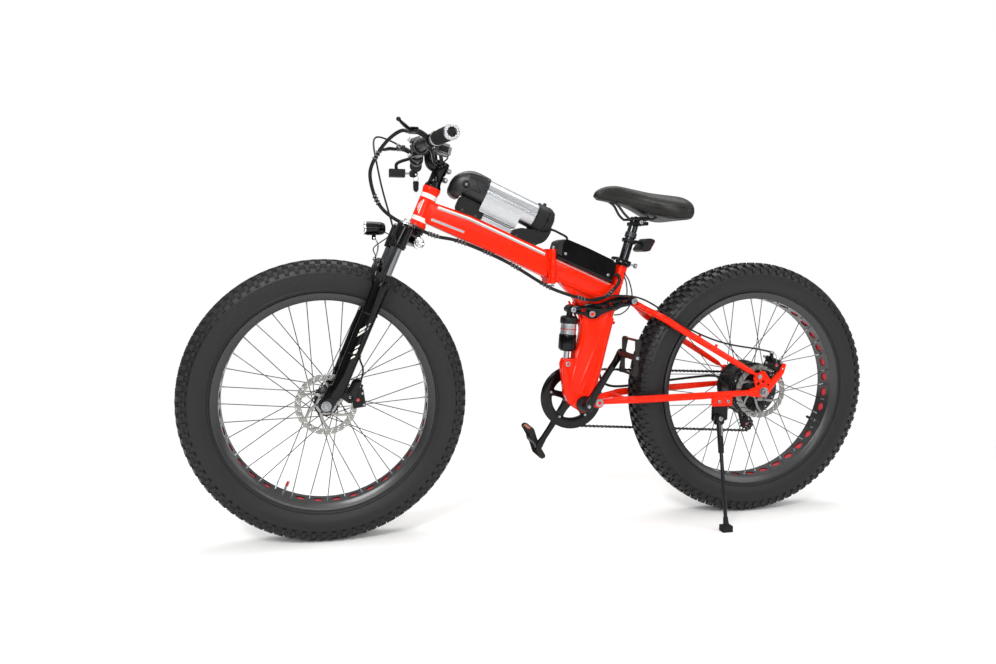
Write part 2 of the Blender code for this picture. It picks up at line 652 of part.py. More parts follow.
fuse(fork, loft([crown_ring(-LEG_Y, LEG_OFFSET + 17, LEG_OFFSET - 17, CROWN_LOW, CROWN_HIGH - 2),
                 crown_ring(-34, LEG_OFFSET + 10, -18, CROWN_LOW + 2, CROWN_HIGH),
                 crown_ring(0, LEG_OFFSET + 4, -24, CROWN_LOW + 3, CROWN_HIGH),
                 crown_ring(34, LEG_OFFSET + 10, -18, CROWN_LOW + 2, CROWN_HIGH),
                 crown_ring(LEG_Y, LEG_OFFSET + 17, LEG_OFFSET - 17, CROWN_LOW, CROWN_HIGH - 2)]))
fuse(fork, rod(steer(CROWN_HIGH - 2), steer(HEAD_LOW - GAP), 23.0, 9))
LOWER_TOP = 362.0
STANCHION_LOW = 270.0
for side in (-1, 1):
    y = side * LEG_Y
    fuse(fork, rod(steer(SOCKET_LOW, LEG_OFFSET, y), steer(CROWN_HIGH + 3, LEG_OFFSET, y), 21.0, 9))
    fuse(fork, rod(steer(STANCHION_LOW, LEG_OFFSET, y), steer(SOCKET_LOW + 5, LEG_OFFSET, y), STANCHION_R, 9))
finish(fork, "fork_crown", "steering", (BLACK, 0.2, 0.0))

# Fork lowers: two legs, the arch over the tyre and the drop-outs.
lowers = None
for side in (-1, 1):
    y = side * LEG_Y
    leg = tube([steer(t, LEG_OFFSET, y) for t in (26, 48, LOWER_TOP - 14)], 0, 9, radii=[13, 19.5, 21.5])
    fuse(leg, rod(steer(LOWER_TOP - 15, LEG_OFFSET, y), steer(LOWER_TOP, LEG_OFFSET, y), 20.0, 9))
    foot = [(FRONT_AXLE[0] + dx, FRONT_AXLE[1] + dz) for dx, dz in
            ((-16, -2), (-11, -14), (2, -18), (13, -12), (38, 26), (30, 60), (8, 56), (-13, 12))]
    fuse(leg, prism(foot, min(side * 71, side * 85), max(side * 71, side * 85)))
    lowers = fuse(lowers, leg) if lowers else leg
ARCH_AHEAD = LEG_OFFSET + STANCHION_R + 9.0
arch_path = [steer(t, ARCH_AHEAD - back, y) for y, t, back in
             ((-78, 330, 12), (-76, 356, 1), (-64, 379, 0), (-38, 393, 0), (0, 398, 0), (38, 393, 0), (64, 379, 0), (76, 356, 1), (78, 330, 12))]
fuse(lowers, tube(arch_path, 7.8, 6))
caliper_tab = [(FRONT_AXLE[0] + dx, FRONT_AXLE[1] + dz) for dx, dz in
               ((24, 30), (62, -2), (78, 10), (96, 66), (84, 74), (42, 70))]
fuse(lowers, prism(caliper_tab, -84, -78.9))
for side in (-1, 1):
    y = side * LEG_Y
    carve(lowers, bore(steer(STANCHION_LOW - FORK_TRAVEL - 12, LEG_OFFSET, y), steer(LOWER_TOP + 5, LEG_OFFSET, y),
                      STANCHION_R + 2 * GAP, 9))
carve(lowers, bore((FRONT_AXLE[0], -100, FRONT_AXLE[1]), (FRONT_AXLE[0], 100, FRONT_AXLE[1]), AXLE_R + GAP, 6))
finish(lowers, "fork_lowers", "fork_lowers", (BLACK, 0.2, 0.0))


def axle_piece(centre, reach, nut_from, nut_r, collar_to, collar_r):
    """An axle along Y with a nut and a washer at each drop-out and a collar inside it."""
    made = rod((centre[0], -reach, centre[1]), (centre[0], reach, centre[1]), AXLE_R, 6)
    for side in (-1, 1):
        for start, end, radius, count in ((nut_from, nut_from + 2, nut_r + 2, 7), (nut_from + 1.5, nut_from + 11, nut_r, 6),
                                          (collar_to - 4, collar_to, collar_r, 6)):
            fuse(made, rod((centre[0], side * start, centre[1]), (centre[0], side * end, centre[1]), radius, count))
    return made


finish(axle_piece(FRONT_AXLE, 98, 85.4, 10.0, 70.7, 10.0), "front_axle", "fork_lowers", (GREY, 0.3, 1.0))


def caliper(centre, y, lean, name, owner, arm):
    """A disc caliper: two pads either side of the rotor, body, cable arm and bolts."""
    turn = Matrix.Rotation(-lean, 4, "Y")

    def at(x, yy, z):
        v = turn @ Vector((x, 0, z))
        return (centre[0] + v.x, yy, centre[1] + v.z)

    made = block(at(0, y + 5.2, 0), (34, 6, 44), matrix=turn)
    fuse(made, block(at(0, y - 8.5, 0), (31, 12, 41), edge=2.6, matrix=turn))
    fuse(made, block(at(9, y - 1, 0.6), (9, 16, 36), matrix=turn))
    fuse(made, rod(at(-2, y - 14, 2), at(-2, y - 24, 2), 11, 8))
    fuse(made, block(at(6 * arm, y - 21, 20), (9, 5, 42), matrix=turn @ Matrix.Rotation(0.35 * arm, 4, "Y")))
    fuse(made, rod(at(8, y - 8, 18), at(8, y - 8, 34), 5.0, 6))
    return finish(made, name, owner, (BLACK, 0.4, 0.3))


FRONT_ROTOR_Y = -54.5
REAR_ROTOR_Y = -77.0


def tyre(name, owner, centre):
    """A wall of even thickness, open at the beads, with blocks moulded on the tread."""
    blocks, per_block = 21, 2
    outer = [(-31.0, 278.5), (-36.2, 290.0), (-TYRE_HALF, 320.0), (-43.5, 353.0), (-FLAT_HALF, 370.6)]
    lift = [0, 0, 0.5, 8.5, 6.0]
    inner = [(-22.0, 355.0), (-44.0, 321.0), (-27.5, 278.5)]
    outer = [(y, r * TYRE_R / 375.0) for y, r in outer]
    inner = [(y, r * TYRE_R / 375.0) for y, r in inner]
    loop = outer + [(-y, r) for y, r in outer[::-1]] + [(-y, r) for y, r in inner[::-1]] + inner
    lifts = lift + lift[::-1] + [0] * (2 * len(inner))
    steps = blocks * per_block
    verts, faces = [], []
    for j in range(steps):
        a = 2 * math.pi * (j + 0.5) / steps
        for k, (y, r) in enumerate(loop):
            phase = j if y <= 0 else j + 1
            high = lifts[k] if phase % 2 == 0 or abs(y) <= FLAT_HALF else 0.0
            rr = r + high * 0.72
            yy = y + (math.copysign(high * 0.25, y) if abs(y) > 30 else 0.0)
            verts.append((centre[0] + rr * math.cos(a), yy, centre[1] + rr * math.sin(a)))
    count = len(loop)
    for j in range(steps):
        m = (j + 1) % steps
        for k in range(count):
            n = (k + 1) % count
            faces.append([j * count + k, j * count + n, m * count + n, m * count + k])
    return finish(new_object(name, verts, faces), name, owner, (RUBBER, 0.85, 0.0))


def rim(name, owner, centre, flange_r, flange_y, cross, valve):
    """A single-wall rim laced with spokes, a window between each pair but the one with the valve hole."""
    h = RIM_HALF
    loop = [(-h, RIM_FLANGE_R), (-h + 3.2, RIM_FLANGE_R), (-29, 272), (29, 272), (h - 3.2, RIM_FLANGE_R), (h, RIM_FLANGE_R),
            (29, RIM_BED_R), (-29, RIM_BED_R)]
    made = lathe(loop, (centre[0], 0, centre[1]), (0, 1, 0), SPOKES, side=(1, 0, 0))
    pitch = 2 * math.pi / SPOKES
    holes = []
    for k in range(SPOKES):
        if k == valve:
            continue
        a = (k + 0.5) * pitch
        way = Vector((math.cos(a), 0, math.sin(a)))
        base = Vector((centre[0], 0, centre[1]))
        holes.append(rod(base + way * 260, base + way * 280, 14.0, 4, phase=math.pi / 4))
    carve(made, gather("windows", holes))
    wires = []
    for k in range(SPOKES):
        a = k * pitch
        side = -1 if k % 2 else 1
        lead = cross if (k // 2) % 2 else -cross
        tuck = 1.6 if (k // 2) % 2 else -1.6
        start = (centre[0] + (RIM_BED_R + 1.0) * math.cos(a), side * 7.0, centre[1] + (RIM_BED_R + 1.0) * math.sin(a))
        end = (centre[0] + flange_r * math.cos(a + lead), side * (flange_y + tuck),
               centre[1] + flange_r * math.sin(a + lead))
        wires.append(rod(start, end, 1.25, 3))
    fuse(made, gather("wires", wires))
    return finish(made, name, owner, (BLACK, 0.3, 0.2))


def rotor(name, owner, centre, y, mount_r, hub=None):
    """A brake disc: a waved rim with slots, six swept arms and a mounting ring."""
    low, high = y - 0.9, y + 0.9
    edge = []
    for k in range(24):
        a = 2 * math.pi * k / 24
        r = ROTOR_R - (1.6 if k % 2 else 0.0)
        edge.append((centre[0] + r * math.cos(a), centre[1] + r * math.sin(a)))
    made = prism(edge, low, high)
    carve(made, bore((centre[0], low - 3, centre[1]), (centre[0], high + 3, centre[1]), ROTOR_R - 15, 12))
    for k in range(6):
        a = math.pi / 3 * k
        pts = []
        for r, turn, half in ((mount_r, 0.0, 4.0), (48, 0.32, 3.6), (ROTOR_R - 12, 0.52, 4.5)):
            pts.append((r, a + turn, half))
        one = [(centre[0] + r * math.cos(t) + h * math.sin(t), centre[1] + r * math.sin(t) - h * math.cos(t)) for r, t, h in pts]
        two = [(centre[0] + r * math.cos(t) - h * math.sin(t), centre[1] + r * math.sin(t) + h * math.cos(t)) for r, t, h in pts]
        fuse(made, prism(one + two[::-1], low + 0.1, high - 0.1))
    fuse(made, lathe([(low, mount_r - 8), (low, mount_r + 4), (high, mount_r + 4), (high, mount_r - 8)],
                     (centre[0], 0, centre[1]), (0, 1, 0), 10))
    if hub:
        fuse(made, hub)
    return finish(made, name, owner, (SILVER, 0.3, 1.0))


# Front wheel.
BORE = AXLE_R + GAP
hub_loop = [(-65, BORE), (-65, 14), (FRONT_ROTOR_Y + 0.4, 19), (FRONT_ROTOR_Y + 0.4, 28), (-50.5, 31.5), (-46.5, 31.5),
            (-42, 16), (42, 16), (46.5, 31.5), (50.5, 31.5), (53, 14), (65, 12), (65, BORE)]
front_hub = lathe(hub_loop, (FRONT_AXLE[0], 0, FRONT_AXLE[1]), (0, 1, 0), 11, side=(1, 0, 0))
tyre("front_tyre", "front_wheel", FRONT_AXLE)
rim("front_rim", "front_wheel", FRONT_AXLE, 33.0, 48.3, math.radians(62), FRONT_VALVE)
rotor("front_hub_rotor", "front_wheel", FRONT_AXLE, FRONT_ROTOR_Y, 22, front_hub)
caliper((FRONT_AXLE[0] + 82, FRONT_AXLE[1] + 12), FRONT_ROTOR_Y, math.radians(8), "front_caliper", "fork_lowers", 1)

# Headlight on a strap from the arch.
LAMP_PIN = steer(447, 92)
strap_path = [steer(390, ARCH_AHEAD + 10.8), steer(412, ARCH_AHEAD + 11), steer(432, ARCH_AHEAD + 16), steer(444, ARCH_AHEAD + 26), LAMP_PIN]
strap = tube(strap_path, 2.2, 6, flat=3.2)
fuse(strap, rod(steer(398, ARCH_AHEAD + 8.2), steer(398, ARCH_AHEAD + 16), 5.5, 6))
fuse(strap, rod((LAMP_PIN[0], -13, LAMP_PIN[2]), (LAMP_PIN[0], 13, LAMP_PIN[2]), 3.0, 6))
LIGHT = (LAMP_PIN[0] + 4.0, LAMP_PIN[2] + 26.0)
lamp = lathe([(-29, 0.0), (-29, 15.0), (-27, 18.0), (-10, 18.0), (16, 18.0), (25, 13.0), (27, 0.0)],
             (LIGHT[0], 0, LIGHT[1]), (1, 0, 0), 14)
carve(lamp, bore((LIGHT[0] - 35, 0, LIGHT[1]), (LIGHT[0] - 26, 0, LIGHT[1]), 13.5, 9))
for side in (-1, 1):
    ear = block((LAMP_PIN[0], side * 11.4, LAMP_PIN[2] + 7), (9, 3.6, 22))
    fuse(lamp, ear)
carve(lamp, bore((LAMP_PIN[0], -20, LAMP_PIN[2]), (LAMP_PIN[0], 20, LAMP_PIN[2]), 3.4, 6))
finish(strap, "light_strap", "fork_lowers", (SILVER, 0.3, 1.0))
finish(lamp, "headlight", "headlight", (BLACK, 0.35, 0.0))

# Round horn on the left of the crown.
horn = lathe([(0, 0.0), (0, 13.0), (4, 15.0), (16, 13.0), (18, 0.0)], steer(476, -30.2, -44), (0.55, -0.83, 0.05), 9)
fuse(horn, block(steer(479, -26.2, -33), (13, 14, 13), matrix=Matrix.Rotation(HEAD_LEAN, 4, "Y")))
finish(horn, "horn", "steering", (GREY, 0.4, 0.2))

# Stem, bar and grips.
stem = rod(steer(648), steer(706), 20.0, 9)
fuse(stem, rod(steer(HEAD_HIGH + GAP), steer(HEAD_HIGH + 14), 23.0, 9, tip=18.5))
fuse(stem, rod(steer(HEAD_HIGH + 10), steer(652), 17.5, 9))
fuse(stem, tube([steer(686, 8), (BAR[0] + 22, 0, BAR[1] - 9), (BAR[0], 0, BAR[1])], 15.0, 6, radii=[17, 15, 16.5]))
fuse(stem, rod((BAR[0], -24, BAR[1]), (BAR[0], 24, BAR[1]), 22.5, 9))
fuse(stem, block(steer(677, -23), (12, 30, 44), matrix=Matrix.Rotation(HEAD_LEAN, 4, "Y")))
carve(stem, bore(steer(HEAD_HIGH - 5), steer(STEERER_TOP + GAP), STEERER_R + GAP, 9))
carve(stem, bore((BAR[0], -40, BAR[1]), (BAR[0], 40, BAR[1]), BAR_R + GAP, 9, phase=math.pi / 12))
finish(stem, "stem", "steering", (BLACK, 0.3, 0.1))
stations = [-BAR_HALF, -200, -128, -116, -60, -30, 30, 60, 116, 128, 200, BAR_HALF]
thick = [GRIP_BAR_R] * 3 + [BAR_R] * 6 + [GRIP_BAR_R] * 3
handlebar = tube([bar_at(y) for y in stations], 0, 9, radii=thick)
finish(handlebar, "handlebar", "steering", (BLACK, 0.25, 0.3))


def along_bar(y):
    a, b = Vector(bar_at(y - 1)), Vector(bar_at(y + 1))
    return (b - a).normalized()


def grip_piece(side, start, end, name, owner):
    profile = [(start, 18.4), (start + 8, 18.4), (start + 10, 16.0), (start + 60, 17.2), (end - 12, 15.8), (end - 10, 18.4), (end, 18.4)]
    way = along_bar(side * 260) * side
    origin = Vector(bar_at(side * 260)) - way * 260
    hole = (GRIP_BAR_R + GAP) / math.cos(math.pi / 9)
    loop = [(start, hole)] + profile + [(end, hole)]
    made = lathe(loop, origin, way, 9)
    return finish(made, name, owner, (RUBBER, 0.8, 0.0))


grip_piece(-1, 196, 330, "grip_left", "steering")
grip_piece(1, 214, 330, "throttle_grip", "throttle")


def lever_body(side, name):
    centre = Vector(bar_at(side * 150))
    way = along_bar(side * 150)
    made = rod(centre - way * 8, centre + way * 8, GRIP_BAR_R + 5, 9)
    pivot = Vector((BAR[0] - 34, side * 158, BAR[1] + 18))
    fuse(made, tube([centre + Vector((-8, 0, 4)), (pivot + centre) / 2 + Vector((-6, 0, 5)), pivot + Vector((3, -side * 2, -1))], 7.0, 6))
    fuse(made, block(pivot + Vector((-1, -side * 8, 0)), (24, 30, 13)))
    fuse(made, rod(pivot + Vector((-4, -side * 20, 1)), pivot + Vector((-10, -side * 40, 3)), 4.2, 6))
    carve(made, bore(centre - way * 20, centre + way * 20, GRIP_BAR_R + GAP, 9, phase=0.26))
    carve(made, block(pivot + Vector((-1, side * 6, 0)), (40, 22, 6.6)))
    fuse(made, rod(pivot + Vector((0, 0, -5)), pivot + Vector((0, 0, 5)), 2.0, 6))
    return finish(made, name, "steering", (BLACK, 0.35, 0.4))


def lever_blade(side, name, owner):
    pivot = Vector((BAR[0] - 34, side * 158, BAR[1] + 18))
    path = smooth_path([pivot + Vector((0, -side * 1.0, 0)), pivot + Vector((-14, side * 17, 0)), pivot + Vector((-28, side * 40, 4)),
                        pivot + Vector((-38, side * 68, 5)), pivot + Vector((-48, side * 94, 8))], 2)
    made = tube(path, 2.8, 6, flat=2.0)
    fuse(made, lathe([(-5.5, 0.0), (0, 5.5), (5.5, 0.0)], path[-1], (0, 0, 1), 6))
    carve(made, bore(pivot + Vector((0, 0, -9)), pivot + Vector((0, 0, 9)), 2.4, 6))
    return finish(made, name, owner, (SILVER, 0.3, 1.0))


lever_body(-1, "lever_clamp_left")
lever_body(1, "lever_clamp_right")
lever_blade(-1, "brake_lever_left", "lever_left")
lever_blade(1, "brake_lever_right", "lever_right")

# Gear pod behind and below the bar on the left, with its trigger.
pod_seat = Vector(bar_at(-180))
pod = rod(pod_seat - along_bar(-180) * 7, pod_seat + along_bar(-180) * 7, GRIP_BAR_R + 4.5, 9)
pod_centre = pod_seat + Vector((20, 2, -24))
fuse(pod, block(pod_centre, (40, 30, 30), edge=5.0, matrix=Matrix.Rotation(math.radians(14), 4, "Y")))
carve(pod, bore(pod_seat - along_bar(-180) * 30, pod_seat + along_bar(-180) * 30, GRIP_BAR_R + GAP, 10))
finish(pod, "gear_pod", "steering", (GREY, 0.45, 0.0))
trigger_at = Vector(bodies["gear_trigger"]["world"]) * 1000.0
trigger = tube([trigger_at + Vector(p) for p in ((0, 5.0, 0), (1, 14, -2), (4, 21, -12), (6, 24, -24))], 3.4, 6, flat=1.4)
finish(trigger, "gear_trigger", "gear_trigger", (BLACK, 0.5, 0.0))

# Throttle housing, key switch under the bar and its two keys.
seat_y = 192.0
hold = Vector(bar_at(seat_y))
throttle = rod(hold - along_bar(seat_y) * 16, hold + along_bar(seat_y) * 21, 20.0, 10)
fuse(throttle, block(hold + Vector((4, -2, 18)), (30, 26, 10)))
carve(throttle, bore(hold - along_bar(seat_y) * 40, hold + along_bar(seat_y) * 40, GRIP_BAR_R + GAP, 10))
finish(throttle, "throttle_housing", "steering", (BLACK, 0.4, 0.0))
key_pos = Vector(bodies["key"]["world"]) * 1000.0
lock = block(key_pos + Vector((-22, 0, 0)), (44, 26, 22))
fuse(lock, rod(key_pos + Vector((-24, 0, 0)), key_pos + Vector((-2, 0, 0)), 8.5, 9))
hang = Vector(bar_at(100))
fuse(lock, tube([key_pos + Vector((-24, -6, 6)), key_pos + Vector((-22, -18, 26)), hang + Vector((-6, 14, -10))], 4.5, 6))
fuse(lock, rod(hang + Vector((0, 4, 0)), hang + Vector((0, 16, 0)), BAR_R + 4.0, 10))
fuse(lock, block(hang + Vector((6, 8, 26)), (46, 34, 16), edge=4.0, matrix=Matrix.Rotation(math.radians(-28), 4, "Y")))
carve(lock, bore(bar_at(60), bar_at(140), BAR_R + GAP, 12))
finish(lock, "key_switch", "steering", (BLACK, 0.45, 0.0))
key = prism([(key_pos.x + GAP, key_pos.z - 3), (key_pos.x + 12, key_pos.z - 3), (key_pos.x + 14, key_pos.z - 9), (key_pos.x + 30, key_pos.z - 10),
             (key_pos.x + 37, key_pos.z - 3), (key_pos.x + 36, key_pos.z + 4), (key_pos.x + 28, key_pos.z + 9), (key_pos.x + 14, key_pos.z + 8),
             (key_pos.x + 12, key_pos.z + 3), (key_pos.x + GAP, key_pos.z + 3)], 127, 129.4)
hole = (key_pos.x + 31, 128.2, key_pos.z - 2)
carve(key, bore((hole[0], 120, hole[2]), (hole[0], 136, hole[2]), 3.0, 6))
spare = lathe([(-0.8, 7.0), (-0.8, 8.6), (0.8, 8.6), (0.8, 7.0)], (hole[0], 128.2, hole[2] - 10.9), (1, 0, 0), 9)
tag = rounded([(-8, -17), (8, -17), (7, -40), (3, -46), (-3, -46), (-7, -40)], 3)
blade_tag = loft([[(hole[0] - 1.2, 128.2 + a, hole[2] + b) for a, b in tag],
                  [(hole[0] + 1.2, 128.2 + a, hole[2] + b) for a, b in tag]])
fuse(key, fuse(spare, blade_tag))
finish(key, "ignition_key", "key", (BLACK, 0.4, 0.3))

# The stand's leg splays outwards, and its pivot is tilted to stay square to it.
STAND_WAY = Vector((-0.03, -0.25, -0.967)).normalized()
STAND_AXIS = Vector((0.0, -0.969, 0.248)).normalized()
hip = Vector((STAND[0], -106.0, STAND[1]))

# Swing arm: chain stays, bridge, drop-outs with caliper tab and the stand's bracket.
swing = None
for side in (-1, 1):
    path = smooth_path([(SWING[0] + 12, side * 37.5, SWING[1] + 1), (SWING[0] + 48, side * 41.5, SWING[1] + 4), (SWING[0] + 80, side * 52, SWING[1] + 7),
                        (SWING[0] + 118, side * 67, SWING[1] + 10), (SWING[0] + 290, side * 80, SWING[1] + 16),
                        (REAR_AXLE[0] - 30, side * 90.5, REAR_AXLE[1] - 1)], 1)
    radii = [7.0, 9.5, 10.4, 10.4, 10.2, 7.8]
    stay = tube(path, 0, 8, radii=radii)
    fuse(stay, rod((SWING[0], side * 30.4, SWING[1]), (SWING[0], side * 44.2, SWING[1]), 15.5, 9))
    drop = [(REAR_AXLE[0] + dx, REAR_AXLE[1] + dz) for dx, dz in
            ((-44, -12), (-14, -15), (2, -16), (15, -10), (24, 2), (31, 12), (33, 22), (24, 34), (8, 52), (4, 60), (-4, 62), (-12, 60), (-8, 56),
             (-20, 57), (-30, 50), (-32, 40), (-24, 14), (-44, 10))]
    if side > 0:
        drop = [(REAR_AXLE[0] + dx, REAR_AXLE[1] + dz) for dx, dz in
                ((-44, -12), (-14, -15), (4, -42), (20, -42), (26, -30), (15, -6), (14, 12), (-6, 30), (-10, 54), (-20, 57), (-30, 50),
                 (-32, 40), (-24, 14), (-44, 10))]
    fuse(stay, prism(drop, min(side * DROPOUT_Y, side * (DROPOUT_Y + 6)), max(side * DROPOUT_Y, side * (DROPOUT_Y + 6))))
    if side < 0:
        tab = [(16, 26), (49.6, 59.6), (60.3, 83.3), (72, 80), (64, 52), (30, 12)]
        fuse(stay, prism([(REAR_AXLE[0] + dx, REAR_AXLE[1] + dz) for dx, dz in tab], -DROPOUT_Y - 5.9, -DROPOUT_Y - 0.1))
    swing = fuse(swing, stay) if swing else stay
fuse(swing, rod((SWING[0] + 72, -52, SWING[1] + 7), (SWING[0] + 72, 52, SWING[1] + 7), 9.5, 6))
bracket = [(STAND[0] - 16, STAND[1] + 64), (STAND[0] + 49, STAND[1] + 64), (STAND[0] + 48, STAND[1] + 34), (STAND[0] - 15, STAND[1] + 34)]
fuse(swing, prism(bracket, -96, -84))
fuse(swing, block((STAND[0] + 10, -90.0, STAND[1] + 14), (50, 9, 44)))
fuse(swing, rod(hip - STAND_AXIS * 15, hip + STAND_AXIS * 8.6, 3.6, 8))
for side in (-1, 1):
    fuse(swing, rod((STAY_END[0], side * (DROPOUT_Y + 4), STAY_END[1]), (STAY_END[0], side * (DROPOUT_Y + 13), STAY_END[1]), 4.5, 6))
    fuse(swing, rod((STAY_END[0], side * (DROPOUT_Y + 11.6), STAY_END[1]), (STAY_END[0], side * (DROPOUT_Y + 15), STAY_END[1]), 7.5, 6))
carve(swing, bore((REAR_AXLE[0], -120, REAR_AXLE[1]), (REAR_AXLE[0], 120, REAR_AXLE[1]), AXLE_R + GAP, 6))
carve(swing, bore((SWING[0], -60, SWING[1]), (SWING[0], 60, SWING[1]), 6.6, 6))
cuts = [(-2, 30, 4.5), (14, 20, 3.6)]
for dx, dz, r in cuts:
    x, z = REAR_AXLE[0] + dx, REAR_AXLE[1] + dz
    carve(swing, bore((x, -110, z), (x, -80, z), r, 6))
finish(swing, "swingarm", "swingarm", (RED, 0.25, 0.0))
finish(axle_piece(REAR_AXLE, 112, DROPOUT_Y + 6.4, 11.0, DROPOUT_Y - GAP, 9.0), "rear_axle", "swingarm", (GREY, 0.3, 1.0))

# Rear wheel: tyre, rim and spokes, hub motor and rotor.
motor_loop = [(-72, BORE), (-72, 15), (-61, 24), (-46, MOTOR_R - 10), (-40, MOTOR_R), (-36, MOTOR_R + 7),
              (-31, MOTOR_R + 7), (-30, MOTOR_R), (27, MOTOR_R), (28, MOTOR_R + 7), (33, MOTOR_R + 7),
              (38, MOTOR_R - 14), (40, 24), (43, BORE)]
motor = lathe(motor_loop, (REAR_AXLE[0], 0, REAR_AXLE[1]), (0, 1, 0), 15, side=(1, 0, 0))
finish(motor, "hub_motor", "rear_wheel", (BLACK, 0.35, 0.4))
tyre("rear_tyre", "rear_wheel", REAR_AXLE)
rim("rear_rim", "rear_wheel", REAR_AXLE, MOTOR_R + 8.0, 33.0, math.radians(24), REAR_VALVE)
rotor("rear_rotor", "rear_wheel", REAR_AXLE, REAR_ROTOR_Y, 24)
caliper((REAR_AXLE[0] + 36, REAR_AXLE[1] + 80), REAR_ROTOR_Y, math.radians(65.8), "rear_caliper", "swingarm", -1)


def gear_outline(centre, teeth, phase):
    """A toothed outline whose gaps hold pins of the chain."""
    pitch_r = PITCH / (2 * math.sin(math.pi / teeth))
    out = []
    step = 2 * math.pi / teeth
    for k in range(teeth):
        a = phase + k * step
        for share, r in ((-0.22, pitch_r - 4.4), (0.22, pitch_r - 4.4), (0.5, pitch_r + 3.2)):
            t = a + share * step
            out.append((centre[0] + r * math.cos(t), centre[1] + r * math.sin(t)))
    return out


def tangent(one, r1, s1, two, r2, s2):
    """Where a belt leaves circle one and meets circle two; s is 1 for anticlockwise."""
    dx, dz = two[0] - one[0], two[1] - one[1]
    far = math.hypot(dx, dz)
    base = math.atan2(dz, dx)
    lean = math.asin((s1 * r1 - s2 * r2) / far)
    way = base + lean
    out = []
    for c, r, s in ((one, r1, s1), (two, r2, s2)):
        out.append((c[0] + s * r * math.sin(way), c[1] - s * r * math.cos(way)))
    return out


RING_R = PITCH / (2 * math.sin(math.pi / CHAINRING_TEETH))
COG_R = PITCH / (2 * math.sin(math.pi / COG_TEETH))
JOCKEY_R = 22.5


def chain_path(drop):
    """Arcs and straights of the chain, with the lower jockey so far below the axle."""
    wheels = [(BB, RING_R, 1), ((REAR_AXLE[0] + TENSION_BACK, REAR_AXLE[1] - drop), JOCKEY_R, 1), (GUIDE, JOCKEY_R, -1), (REAR_AXLE, COG_R, 1)]
    pieces = []
    for i, (c, r, s) in enumerate(wheels):
        c2, r2, s2 = wheels[(i + 1) % len(wheels)]
        pieces.append(tangent(c, r, s, c2, r2, s2))
    walk = []
    for i, (c, r, s) in enumerate(wheels):
        arrive = pieces[i - 1][1]
        leave = pieces[i][0]
        a0 = math.atan2(arrive[1] - c[1], arrive[0] - c[0])
        a1 = math.atan2(leave[1] - c[1], leave[0] - c[0])
        turn = (s * (a1 - a0)) % (2 * math.pi)
        walk.append(("arc", c, r, a0, s * turn, abs(r * turn)))
        walk.append(("line", pieces[i][0], pieces[i][1], 0, 0, math.dist(*pieces[i])))
    return walk


def chain_length(drop):
    return sum(step[5] for step in chain_path(drop))


low_drop, high_drop = 119.0, 150.0
links = math.ceil(chain_length(low_drop) / PITCH / 2) * 2
for _ in range(40):
    middle = (low_drop + high_drop) / 2
    if chain_length(middle) < links * PITCH:
        low_drop = middle
    else:
        high_drop = middle
TENSION = (REAR_AXLE[0] + TENSION_BACK, REAR_AXLE[1] - low_drop)
walk = chain_path(low_drop)
total = chain_length(low_drop)


def chain_point(s):
    s %= total
    for kind, a, b, start, turn, length in walk:
        if s > length:
            s -= length
            continue
        share = s / length
        if kind == "arc":
            t = start + turn * share
            return (a[0] + b * math.cos(t), a[1] + b * math.sin(t))
        return (a[0] + (b[0] - a[0]) * share, a[1] + (b[1] - a[1]) * share)
    return walk[0][1]


ring_phase = walk[0][3]
spacing = total / links
cog_pin = sum(step[5] for step in walk[:6])
pins_before = math.ceil(cog_pin / spacing)
pin = chain_point(pins_before * spacing)
cog_phase = math.atan2(pin[1] - REAR_AXLE[1], pin[0] - REAR_AXLE[0])

# Chain: two rows of plates, inner and outer by turns, joined by a pin at every pitch.
# Each plate is widest in the middle of its link; the pin is a bar between the two rows.
HALF_PIN = 2.4
PLATE_UP = 3.9
INNER, OUTER, PLATE = 1.45, 2.5, 1.3
RING_SIZE = 10
verts, faces = [], []


def chain_frame(s):
    """A point of the chain's centre line and the way off it, in its plane."""
    before, here, after = chain_point(s - 0.5), chain_point(s), chain_point(s + 0.5)
    way = Vector((after[0] - before[0], after[1] - before[1])).normalized()
    return here, (-way.y, way.x)


for k in range(links):
    for part, reach in ((0, -HALF_PIN), (1, HALF_PIN)):
        here, off = chain_frame(k * spacing + reach)
        wide = INNER if (k + part) % 2 else OUTER
        for side in (-1, 1):
            for up in (-PLATE_UP, PLATE_UP):
                verts.append((here[0] + off[0] * up, CHAIN_Y + side * wide, here[1] + off[1] * up))
    here, _ = chain_frame((k + 0.5) * spacing)
    wide = (INNER if (k + 1) % 2 else OUTER) + PLATE
    for side in (-1, 1):
        verts.append((here[0], CHAIN_Y + side * wide, here[1]))


def rail(link, part, side, up):
    """A corner of a row of plates at a pin: part 0 is before it and 1 after it."""
    return (link % links) * RING_SIZE + part * 4 + side * 2 + up


def crest(link, side):
    """The widest point of the plate that follows a pin."""
    return (link % links) * RING_SIZE + 8 + side


for k in range(links):
    for side in (0, 1):
        faces.append([rail(k, 1, side, 0), rail(k, 1, side, 1), rail(k + 1, 0, side, 1), rail(k + 1, 0, side, 0)])
        for up in (0, 1):
            faces.append([rail(k, 1, side, up), crest(k, side), rail(k + 1, 0, side, up)])
            faces.append([rail(k, 0, side, up), rail(k, 1, side, up), crest(k, side)])
            faces.append([rail(k, 0, side, up), crest(k, side), crest(k - 1, side)])
    low = [rail(k, 0, 0, 0), rail(k, 0, 0, 1), rail(k, 1, 0, 1), rail(k, 1, 0, 0)]
    high = [rail(k, 0, 1, 0), rail(k, 0, 1, 1), rail(k, 1, 1, 1), rail(k, 1, 1, 0)]
    for i in range(4):
        j = (i + 1) % 4
        faces.append([low[i], low[j], high[j], high[i]])
chain = new_object("chain", verts, faces)
finish(chain, "chain", "rear_frame", (GREY, 0.4, 0.9), smooth=False)

